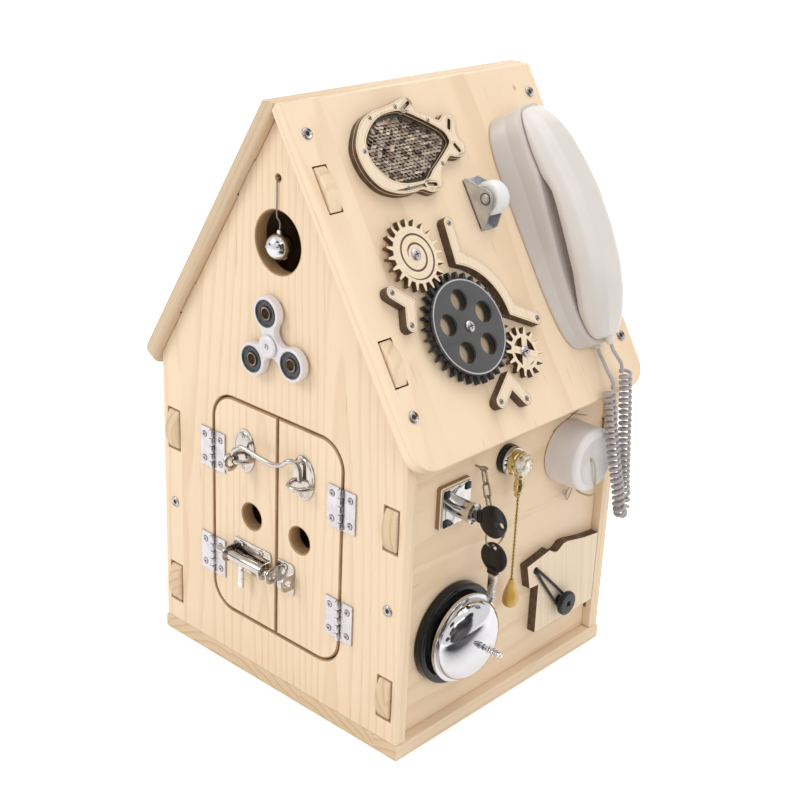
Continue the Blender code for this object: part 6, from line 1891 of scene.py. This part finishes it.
gears = Settings({
    "module": 0.0026,
    "teeth": {"drive": 32, "spiral": 20, "small": 14},
    "drive": (-0.051, 0.091),
    "toSpiral": 111.5,
    "spiralLine": (0.0071, 0.0071, 0.0195),
    "toSmall": -32.4,
    "slack": 0.0004,
    "low": 0.003,
    "high": 0.008,
    "addendum": 0.85,
    "dedendum": 1.45,
    "root": 0.27,
    "tip": 0.085,
    "disc": (0.03775, 0.0083, 0.0105),
    "window": (0.0085, 0.0215, 20.0),
    "cutout": (0.004, 0.0118, 20.0),
    "shaft": 0.0025,
    "head": (0.0045, 0.0016),
    "washer": 0.006,
})


def gearOutline(teeth, turn):
    pitch = gears.module * teeth / 2
    root, tip = pitch - gears.dedendum * gears.module, pitch + gears.addendum * gears.module
    step = 360 / teeth
    points = []
    for k in range(teeth):
        for radius, share in ((root, -gears.root), (tip, -gears.tip), (tip, gears.tip), (root, gears.root)):
            t = math.radians(turn + (k + share) * step)
            points.append((radius * math.cos(t), radius * math.sin(t)))
    return points


def toward(angle, distance, origin=(0, 0)):
    t = math.radians(angle)
    return (origin[0] + distance * math.cos(t), origin[1] + distance * math.sin(t))


def pitchRadius(teeth):
    return gears.module * teeth / 2


driveTeeth, spiralTeeth, smallTeeth = gears.teeth["drive"], gears.teeth["spiral"], gears.teeth["small"]
driveTurn = gears.toSpiral
spiralTurn = gears.toSpiral + 180 + 180 / spiralTeeth
toothOffset = (driveTurn - gears.toSmall) % (360 / driveTeeth)
smallTurn = gears.toSmall + 180 - toothOffset * driveTeeth / smallTeeth + 180 / smallTeeth
spiralPlace = toward(gears.toSpiral, pitchRadius(driveTeeth + spiralTeeth) + gears.slack, gears.drive)
smallPlace = toward(gears.toSmall, pitchRadius(driveTeeth + smallTeeth) + gears.slack, gears.drive)
bore = circle((0, 0), gears.shaft + 0.0004, 32)
windowRadius, windowPitch, windowTurn = gears.window
windows = [circle(toward(windowTurn + 72 * k, windowPitch), windowRadius, 56) for k in range(5)]
inner, outer, cutTurn = gears.cutout
cutouts = []
for k in range(4):
    middle = cutTurn + 90 * k
    cutouts.append([toward(middle, inner), toward(middle - 30, outer), toward(middle, outer * 0.97),
                    toward(middle + 30, outer)])
roofPly = {}
for name in ("gear", "guard", "fish"):
    roofPly[name] = plywood(name + "Ply", roofNormal, out,
                            Vector(roofNormal).dot(roofFrame @ Vector((0, 0, 0.003
                                    if name == "gear" else 0.0003))),
                            0.005 if name == "gear" else 0.008, 3.0 if name == "gear" else 4.0, 1.0, 0.0
                            if name == "gear" else 0.75)


def spiralGearFinish():
    # Pale ply with a burnt spiral line cut into its face.
    ply = Finish("spiralPly")
    place = ply.place()
    middle = roofFrame @ Vector((*spiralPlace, 0))
    local = ply.node("ShaderNodeVectorMath", {"operation": "SUBTRACT"}, {0: place, 1: tuple(middle)})
    u, v = ply.along(local, out), ply.along(local, slopeUp)
    away = (u * u + v * v) ** 0.5
    angle = v.maths("ARCTAN2", v, u) / (2 * math.pi)
    start, step, end = gears.spiralLine
    turns = away / step + angle + 0.043
    line = 1 - abs(turns.fraction() - 0.5).ramp(0.095, 0.135)
    whole = turns.floor()
    line = line * whole.ramp(0.4, 0.6) * (1 - whole.ramp(2.4, 2.6)) * away.ramp(start,
            start + 0.0002) * (1 - away.ramp(end, end + 0.0002))
    height = (ply.along(place, roofNormal) - Vector(roofNormal).dot(middle) - gears.low) / 0.005
    streak = ply.noise(ply.vector(u * 12.0, v * 420.0, height * 2.0), 1.0, 3.0)
    fleck = ply.noise(place, 700.0, 2.0)
    face = ply.mix(streak.ramp(0.35, 0.75) * 0.5 + (fleck - 0.5) * 0.3 + 0.1, plyLook.face, plyLook.fleck)
    face = ply.mix(ply.attribute("rim") ** 2.5 * 0.8, face, plyLook.toast)
    face = ply.mix(line, face, (0.12, 0.06, 0.03))
    layer = (height * 3.0).fraction()
    glue = 1 - layer.ramp(0.0, 0.12) * (1 - layer.ramp(0.88, 1.0))
    burn = ply.noise(place, 150.0, 3.0)
    edge = ply.mix((1 - glue) * burn.ramp(0.3, 0.75, 0.25, 0.95), plyLook.char, plyLook.brown)
    sideways = 1 - abs(ply.along(ply.facing(), roofNormal)).ramp(0.25, 0.75)
    colour = ply.mix(sideways, face, edge)
    return ply.finished(ply.shade(colour, streak.ramp(0.3, 0.7, 0.5, 0.66), 0.0,
                                  ply.bump(streak * 0.1 - line, 0.0007, 0.6)))


def addGear(name, mesh, finishes, body, at, node, sharp=30):
    addPiece(name, mesh, finishes, roofFrame @ shift(*at), node, sharp=sharp, body=body)


blackGear = moulded("blackGear", (0.016, 0.016, 0.017), 0.3, 0.05)
discGrey = moulded("discGrey", (0.072, 0.07, 0.073), 0.3, 0.05, 0.00003, 1000.0)
rimGrey = moulded("rimGrey", (0.55, 0.54, 0.53), 0.3)
addGear("driveGear", slab(gearOutline(driveTeeth, driveTurn), gears.low, gears.high, [bore] + windows,
                          0.0002, 2), blackGear,
        "drive_wheel", gears.drive, "drive_gear")
discRadius, discLow, discHigh = gears.disc
addGear("gearDisc", slab(circle((0, 0), discRadius, 128), discLow, discHigh, [bore] + windows, 0.0003, 3),
        discGrey,
        "drive_wheel", gears.drive, "gear_disc")
rimLine = turned([(discRadius - 0.0016, discHigh - 0.0004), (discRadius - 0.0007, discHigh - 0.0004),
                  (discRadius - 0.0007, discHigh + 0.00012),
                  (discRadius - 0.0016, discHigh + 0.00012)], 128)
addGear("gearDiscRim", rimLine, rimGrey, "drive_wheel", gears.drive, ())
addGear("spiralGear", slab(gearOutline(spiralTeeth, spiralTurn), gears.low, gears.high, [bore], 0.0001, 2,
                           0.0008), spiralGearFinish(),
        "spiral_wheel", spiralPlace, "spiral_gear")
addGear("smallGear", slab(gearOutline(smallTeeth, smallTurn), gears.low, gears.high, [bore] + cutouts,
                          0.0001, 2, 0.0005), roofPly["gear"],
        "small_wheel", smallPlace, "small_gear")
headRadius, headHeight = gears.head
for name, at, top in (("drive", gears.drive, discHigh), ("spiral", spiralPlace, gears.high),
                      ("small", smallPlace, gears.high)):
    profile = [(0, 0.0003), (gears.washer, 0.0003), (gears.washer, gears.low - 0.0003),
               (gears.shaft, gears.low - 0.0003), (gears.shaft, top + 0.0003),
               (headRadius, top + 0.0003), (headRadius, top + 0.0008)]
    profile += [(headRadius * math.cos(t), top + 0.0008 + (headHeight - 0.0005) * math.sin(t))
                for t in np.radians([20, 40, 60, 75])]
    profile += [(0, top + 0.0003 + headHeight)]
    axle = turned(profile, 40)
    recessTop = top + 0.0003 + headHeight
    # The cross recess takes the second finish, near-black painted shade.
    cross = [painted(slab(shape, recessTop - 0.0008, recessTop + 0.002))
             for shape in (rectangle(-0.0022, 0.0022, -0.0005, 0.0005),
                           rectangle(-0.0005, 0.0005, -0.0022, 0.0022))]
    addGear(name + "GearScrew", cutAway(axle, *cross), [zinc, recessShade], "house", at,
            name + "_gear_axle", sharp=35)
print("gears made")

guards = Settings({
    "width": 0.0105,
    "top": [(-0.0302, 0.1706)] + arc(gears.drive, 0.0545, 71, 2, 18) + [(0.0274, 0.08)],
    "left": [(-0.1129, 0.1326), (-0.0997, 0.1212), (-0.1057, 0.1056)],
    "lower": [(-0.0451, 0.0298), (-0.0279, 0.0421), (-0.017, 0.0246)],
})
guardEnds = []
for name in ("top", "left", "lower"):
    route = guards[name]
    guardEnds += [(*route[0], 0.0082), (*route[-1], 0.0082)]
    addPiece(name + "Guard", slab(ribbon(route, guards.width, 20), 0.0003, 0.0083, (), 0.0001, 2, 0.0022),
             roofPly["guard"], roofFrame, name + "_guard", sharp=35)
addScrews("guardScrews", smallDomed, guardEnds, screwSteel, "house", roofFrame)

fish = Settings({
    "centre": (-0.042, 0.234),
    "size": 0.116,
    "outline": [
        (-0.445, 0.11), (-0.345, 0.225), (-0.215, 0.28), (-0.115, 0.292), (-0.01, 0.31), (0.05, 0.325),
        (0.14, 0.338), (0.178, 0.285),
        (0.195, 0.225), (0.285, 0.195), (0.358, 0.142), (0.418, 0.172), (0.49, 0.175), (0.524, 0.14),
        (0.52, 0.08), (0.495, 0.018),
        (0.528, -0.05), (0.52, -0.105), (0.46, -0.14), (0.39, -0.133), (0.342, -0.122), (0.278, -0.165),
        (0.222, -0.205), (0.195, -0.28),
        (0.14, -0.322), (0.06, -0.328), (-0.02, -0.295), (-0.1, -0.3), (-0.225, -0.29), (-0.345, -0.245),
        (-0.415, -0.18),
        (-0.462, -0.09), (-0.475, 0.02),
    ],
    "opening": [
        (-0.33, 0.12), (-0.245, 0.19), (-0.15, 0.232), (-0.04, 0.245), (0.05, 0.238), (0.155, 0.19),
        (0.345, 0.07), (0.385, 0.0),
        (0.365, -0.038), (0.24, -0.118), (0.14, -0.175), (0.06, -0.226), (-0.07, -0.23), (-0.165, -0.218),
        (-0.26, -0.178),
        (-0.33, -0.105), (-0.368, -0.02), (-0.362, 0.062),
    ],
    # middle, half length, half width, angle of the dark slots at the fins and the tail
    "slots": [(0.105, 0.272, 0.05, 0.012, 25), (0.085, -0.272, 0.046, 0.012, -10),
              (0.445, 0.095, 0.042, 0.013, 62), (0.44, -0.072, 0.038, 0.013, -62)],
    "screws": [(-0.4, 0.03), (-0.25, 0.235), (0.01, 0.278), (-0.14, -0.262), (0.262, 0.15), (0.25, -0.155)],
    "discSpacing": 0.0042,
    "discSeed": 7,
})


def fishPoints(shares, steps=6, closer=0.0):
    x, y = fish.centre
    points = smooth([(x + u * fish.size, y + v * fish.size) for u, v in shares], steps, closed=True)
    return inset(turnedLeft(points), closer) if closer else points


def ovalSlot(u, v, halfLength, halfWidth, angle):
    middle = Vector((fish.centre[0] + u * fish.size, fish.centre[1] + v * fish.size))
    turn = Matrix.Rotation(math.radians(angle), 2)
    l, w = halfLength * fish.size, halfWidth * fish.size
    oval = arc((l - w, 0), w, -90, 90, 8) + arc((w - l, 0), w, 90, 270, 8)
    return [tuple(middle + turn @ Vector(point)) for point in oval]


lowerLayer = slab(fishPoints(fish.outline), 0.0003, 0.0048, [fishPoints(fish.opening)], 0.0001, 2, 0.0011)
slots = [ovalSlot(*slot) for slot in fish.slots]
upperLayer = slab(fishPoints(fish.outline, closer=0.0004), 0.0049, 0.0083,
                  [fishPoints(fish.opening, closer=-0.0004)] + slots, 0.0001, 2, 0.0022)
addPiece("fishFrame", joined(lowerLayer, upperLayer), roofPly["fish"], roofFrame, "fish_frame",
         sharp=35)
at = [(fish.centre[0] + u * fish.size, fish.centre[1] + v * fish.size, 0.0082) for u, v in fish.screws]
addScrews("fishScrews", domedScrew(0.0016, 0.0007), at, darkNickel, "house", roofFrame)


def inside(point, outline):
    hit = False
    for (ax, ay), (bx, by) in zip(outline, outline[1:] + outline[:1]):
        if (ay > point[1]) != (by > point[1]) and point[0] < (bx - ax) * (point[1] - ay) / (by - ay) + ax:
            hit = not hit
    return hit


def sequinDiscs():
    # Overlapping discs in offset rows, each tipped a little its own way.
    noise.seed_set(fish.discSeed)
    outline = fishPoints(fish.opening, 3, 0.003)
    spacing = fish.discSpacing
    vertices, faces = [], []
    xs, ys = [x for x, y in outline], [y for x, y in outline]
    rows = int((max(ys) - min(ys)) / (spacing * 0.62)) + 1
    columns = int((max(xs) - min(xs)) / spacing) + 2
    for row in range(rows):
        for column in range(columns):
            x = min(xs) + (column + row % 2 / 2) * spacing
            y = min(ys) + row * spacing * 0.62
            if not inside((x, y), outline):
                continue
            chance = noise.noise_vector(Vector((x * 900, y * 900, 3.1)))
            normal = Vector((chance.x * 0.42, 0.34 + chance.y * 0.36, 1)).normalized()
            side = normal.orthogonal().normalized()
            other = normal.cross(side)
            centre = Vector((x, y, 0.0043 + chance.z * 0.0002))
            start = len(vertices)
            count = 10
            for lift in (0, -0.00022):
                vertices += [tuple(centre + normal * lift + 0.0026
                                   * (side * math.cos(t) + other * math.sin(t)))
                             for t in np.linspace(0, 2 * math.pi, count, endpoint=False)]
            faces += [tuple(range(start, start + count)),
                      tuple(range(start + count, start + 2 * count))[::-1]]
            faces += [(start + i, start + (i + 1) % count, start + count + (i + 1) % count,
                       start + count + i) for i in range(count)]
    return meshOf(vertices, faces)


def sequinFinish():
    shiny = Finish("sequinBronze")
    place = shiny.place()
    chance = shiny.cells(place, 230.0, "Color")
    each = shiny.along(chance, (0.4, 0.3, 0.3))
    fine = shiny.noise(place, 2400.0, 2.0)
    colour = shiny.colours(each, [(0.15, (0.075, 0.052, 0.038)), (0.4, (0.22, 0.165, 0.125)),
                                  (0.62, (0.42, 0.34, 0.27)), (0.85, (0.16, 0.115, 0.085))])
    return shiny.finished(shiny.shade(colour, each.ramp(0.2, 0.8, 0.18, 0.45), 0.85,
                                      shiny.bump(fine, 0.00003, 0.3)))


def wovenBack():
    cloth = Finish("sequinBacking")
    place = cloth.place()
    weave = cloth.noise(place, 1500.0, 2.0)
    colour = cloth.mix(weave, (0.06, 0.048, 0.038), (0.12, 0.095, 0.075))
    return cloth.finished(cloth.shade(colour, weave.ramp(0.3, 0.7, 0.8, 0.95), 0.0,
                                      cloth.bump(weave, 0.0002, 0.5)))


def clothMesh():
    # A single surface held at its edge and slack in the middle.
    outline = fishPoints(fish.opening, 3, 0.0006)
    centre = Vector((sum(x for x, y in outline), sum(y for x, y in outline))) / len(outline)
    vertices, faces = [(*centre, 0.0034)], []
    rings = 10
    for k in range(1, rings + 1):
        share = k / rings
        vertices += [(*(centre + (Vector(point) - centre) * share), 0.0034 + 0.0002 * math.sin(9 * share))
                     for point in outline]
    size = len(outline)
    for k in range(rings):
        for i in range(size):
            j = (i + 1) % size
            if k:
                a, b = 1 + (k - 1) * size, 1 + k * size
                faces.append((a + i, a + j, b + j, b + i))
            else:
                faces.append((0, 1 + i, 1 + j))
    return meshOf(vertices, faces)


discs = addPiece("sequinDiscs", sequinDiscs(), sequinFinish(), roofFrame, sharp=30)
sequinCloth = addPiece("sequinCloth", clothMesh(), wovenBack(), roofFrame, "sequin_cloth",
                       sharp=60)
clothPoints = fishPoints(fish.opening, 3, 0.0006)
clothSize = [max(point[k] for point in clothPoints) - min(point[k] for point in clothPoints)
             for k in (0, 1)]
print("fish made", [round(size, 4) for size in clothSize])

caster = Settings({
    "place": (0.0185, 0.18),
    "length": 0.043,
    "plate": 0.0015,
    "cheek": 0.0015,
    "wheel": (0.0135, 0.013, 0.003),
    "axle": (0.016, 0.0022),
    "rivet": (0.0038, 0.0012),
})
wheelRadius, wheelWidth, wheelRound = caster.wheel
axleHeight, axleRadius = caster.axle
rivetRadius, rivetHeight = caster.rivet
cheekInside = wheelWidth / 2 + 0.0004
cheekOutside = cheekInside + caster.cheek
x, y = caster.place
half = caster.length / 2
plateHigh = 0.0003 + caster.plate
plate = slab(roundedRectangle(x - cheekOutside, x + cheekOutside, y - half, y + half, 0.0015), 0.0003,
             plateHigh, (), 0.0003)
cheekOutline = [(y + half, 0.0003), (y + half, 2 * plateHigh)] + arc((y, axleHeight), rivetRadius * 2, 35,
        145, 24)
cheekOutline += [(y - half, 2 * plateHigh), (y - half, 0.0003)]
cheeks = [moved(slab(cheekOutline, x + a, x + b, (), 0.0003), cycled)
          for a, b in ((-cheekOutside, -cheekInside), (cheekInside, cheekOutside))]
axlePlace = shift(x, y, axleHeight)
axleProfile = [(0, -cheekOutside - rivetHeight), (rivetRadius * 0.8, -cheekOutside - rivetHeight),
               (rivetRadius, -cheekOutside - rivetHeight * 0.4), (rivetRadius, -cheekInside - 0.0005),
               (axleRadius, -cheekInside - 0.0005), (axleRadius, cheekInside + 0.0005),
               (rivetRadius, cheekInside + 0.0005),
               (rivetRadius, cheekOutside + rivetHeight * 0.4),
               (rivetRadius * 0.8, cheekOutside + rivetHeight), (0, cheekOutside + rivetHeight)]
axle = moved(turned(axleProfile, 40), axlePlace @ turnToX)
addPiece("casterBracket", joined(plate, *cheeks, axle), dullZinc, roofFrame, "caster_bracket",
         sharp=35)
lips = [turned([(rivetRadius + 0.0004, z), (rivetRadius + 0.0012, z), (rivetRadius + 0.0012, z + 0.0002),
                (rivetRadius + 0.0004, z + 0.0002)], 40)
        for z in (-cheekOutside - 0.0002, cheekOutside)]
addPiece("casterRivetRings", moved(joined(*lips), axlePlace @ turnToX), satinBlack, roofFrame,
         sharp=35)
wheelHalf = wheelWidth / 2
wheelBore = axleRadius + 0.0004
wheelProfile = [(wheelBore, -wheelHalf), (0.005, -wheelHalf), (0.0056, -wheelHalf + 0.0008),
                (0.0092, -wheelHalf + 0.0008), (0.0098, -wheelHalf)]
wheelProfile += [(wheelRadius - wheelRound + wheelRound * math.cos(t),
                  -wheelHalf + wheelRound + wheelRound * math.sin(t))
                 for t in np.radians(np.linspace(-90, 0, 8))]
wheelProfile = wheelProfile + [(radius, -z) for radius, z in reversed(wheelProfile)]
wheelPlastic = moulded("wheelPlastic", (0.8, 0.79, 0.78), 0.32, 0.02)
addPiece("casterWheel", turned(wheelProfile, 72), wheelPlastic,
         roofFrame @ axlePlace @ turnToX,
         "caster_wheel", sharp=35, body="rolling_wheel")
addScrews("casterScrews", smallDomed, [(x - 0.0045, y - half + 0.005, plateHigh - 0.0002),
                                       (x - 0.0045, y + half - 0.005, plateHigh - 0.0002)], zinc,
          "house", roofFrame)
print("caster made")

phone = Settings({
    "low": 0.043,
    "high": 0.244,
    "centre": 0.088,
    "baseHalf": 0.035,
    "rimHalf": 0.025,
    "rimHeight": 0.03,
    "edge": 0.0025,
    "endPower": 0.48,
    "rimShares": [(0.0, 0.5), (0.05, 0.47), (0.15, 0.49), (0.34, 0.6), (0.53, 0.78), (0.66, 0.92),
                  (0.72, 0.98), (0.8, 0.94), (0.9, 0.94), (1.0, 0.9)],
    "inset": 0.0035,
    "half": 0.024,
    "ridgeHalf": 0.0195,
    "height": 0.056,
    "gripRise": 0.008,
    "gripShares": [(0.0, 0.0), (0.13, 0.0), (0.3, 0.9), (0.42, 1.0), (0.62, 1.0), (0.67, 0.6), (0.71, 0.0),
                   (1.0, 0.0)],
    "topShares": [(0.0, 0.47), (0.03, 0.54), (0.065, 0.62), (0.16, 0.78), (0.27, 0.9), (0.43, 0.98),
                  (0.585, 1.0), (0.7, 0.96), (0.84, 0.875),
                  (0.915, 0.79), (0.977, 0.67), (1.0, 0.6)],
    "ridgeDrop": 0.0065,
    "boss": (0.0032, 0.006),
    "sockets": ((0.086, 0.007), (0.086, 0.0215)),
})


def between(shares, position):
    # A soft curve through the shares, averaged over a short span.
    places, values = [u for u, v in shares], [v for u, v in shares]
    return float(np.mean([np.interp(position + step, places, values)
                          for step in np.linspace(-0.018, 0.018, 7)]))


def rimHeight(along):
    return phone.rimHeight * between(phone.rimShares, (along - phone.low) / (phone.high - phone.low))


def endRounding(low, high, count=72):
    # (place along, share of the full width) of the sections of a body with rounded ends.
    middle, half = (low + high) / 2, (high - low) / 2
    rounded = []
    for t in np.radians(np.linspace(2.5, 177.5, count)):
        rounded.append((middle - half * math.copysign(abs(math.cos(t)) ** phone.endPower, math.cos(t)),
                        math.sin(t) ** phone.endPower))
    return sorted(rounded)


def crossSection(right, along, corner):
    # Both sides of a section, with its corners rounded.
    x = phone.centre
    right = filleted([(0, right[0][1])] + right + [(0, right[-1][1])], corner, 5, 3.141)[1:-1]
    return [(x + a, along, b) for a, b in right] + [(x - a, along, b) for a, b in reversed(right)]


def phoneBaseMesh():
    sections = []
    for along, width in endRounding(phone.low, phone.high):
        foot, top = phone.baseHalf * width, phone.rimHalf * width
        high = rimHeight(along)
        right = [(foot, 0.0003), (foot * 0.99, 0.0022), ((foot + 3 * top) / 4, high / 2),
                 (top, high - phone.edge), (top - phone.edge * width, high)]
        sections.append(crossSection(right, along, 0.0035))
    return loft(sections)


def handsetMesh():
    low, high = phone.low + phone.inset, phone.high - phone.inset
    sections = []
    for along, width in endRounding(low, high):
        share = (along - low) / (high - low)
        wide, ridge = phone.half * width, phone.ridgeHalf * width
        under = rimHeight(along) + 0.0003 + phone.gripRise * between(phone.gripShares, share)
        top = phone.height * between(phone.topShares, share)
        drop = phone.ridgeDrop * width
        side = under + (top - drop - under) * 0.4
        right = [(0.9 * wide, under), (wide, side), (ridge, top - drop), (ridge / 2, top - drop / 4)]
        sections.append(crossSection(right, along, 0.006))
    return loft(sections)


def boss(at):
    radius, length = phone.boss
    out = phone.low - length / 2
    profile = filleted([(0, out), (radius, out), (radius, out + 2 * length), (0, out + 2 * length)], 0.0006)
    return moved(turned(profile, 32), shift(at[0], 0, at[1]) @ turnToY)


def phonePlastic(name, colour):
    plastic = Finish(name)
    place = plastic.place()
    cloud = plastic.noise(place, 18.0, 3.0)
    fine = plastic.noise(place, 1500.0, 3.0, 0.6)
    wear = plastic.noise(place, 120.0, 4.0, 0.6)
    darker = tuple(value * 0.9 for value in colour)
    tone = plastic.mix(cloud.ramp(0.3, 0.75) * 0.6 + fine * 0.2, colour, darker)
    finish = wear.ramp(0.2, 0.8, 0.3, 0.38)
    return plastic.finished(plastic.shade(tone, finish, 0.0, plastic.bump(fine, 0.00002, 0.2)))


phoneBeige = phonePlastic("phoneBeige", (0.6, 0.545, 0.5))
handsetBeige = phonePlastic("handsetBeige", (0.7, 0.645, 0.605))
addPiece("phoneBase", joined(phoneBaseMesh(), boss(phone.sockets[0])), phoneBeige,
         roofFrame, "phone_base", sharp=40)
addPiece("phoneHandset", joined(handsetMesh(), boss(phone.sockets[1])), handsetBeige,
         roofFrame, "phone_handset",
         sharp=40, body="handset")
print("telephone made")

slopeAt = [(y, s, 0.0) for y in (-0.129, 0.129) for s in (0.043, 0.2605)]
for name, frameOf in (("right", roofFrame), ("left", leftRoofFrame)):
    addScrews(name + "RoofScrews", boardScrew, slopeAt, screwSteel, "house", frameOf)
gableAt = [(x, 0.1315, 0.0) for x in (-0.126, 0.126)]
for name, frameOf in (("front", frontFrame), ("back", backFrame)):
    addScrews(name + "GableScrews", boardScrew, gableAt, screwSteel, "house", frameOf)
addPiece("drumLoops", joined(*loops), paleYarn, wallFrame, sharp=60)
addPiece("wallThreads", joined(*threads), threadFinish, wallFrame, sharp=60)
print("board screws driven")

print("house finished")
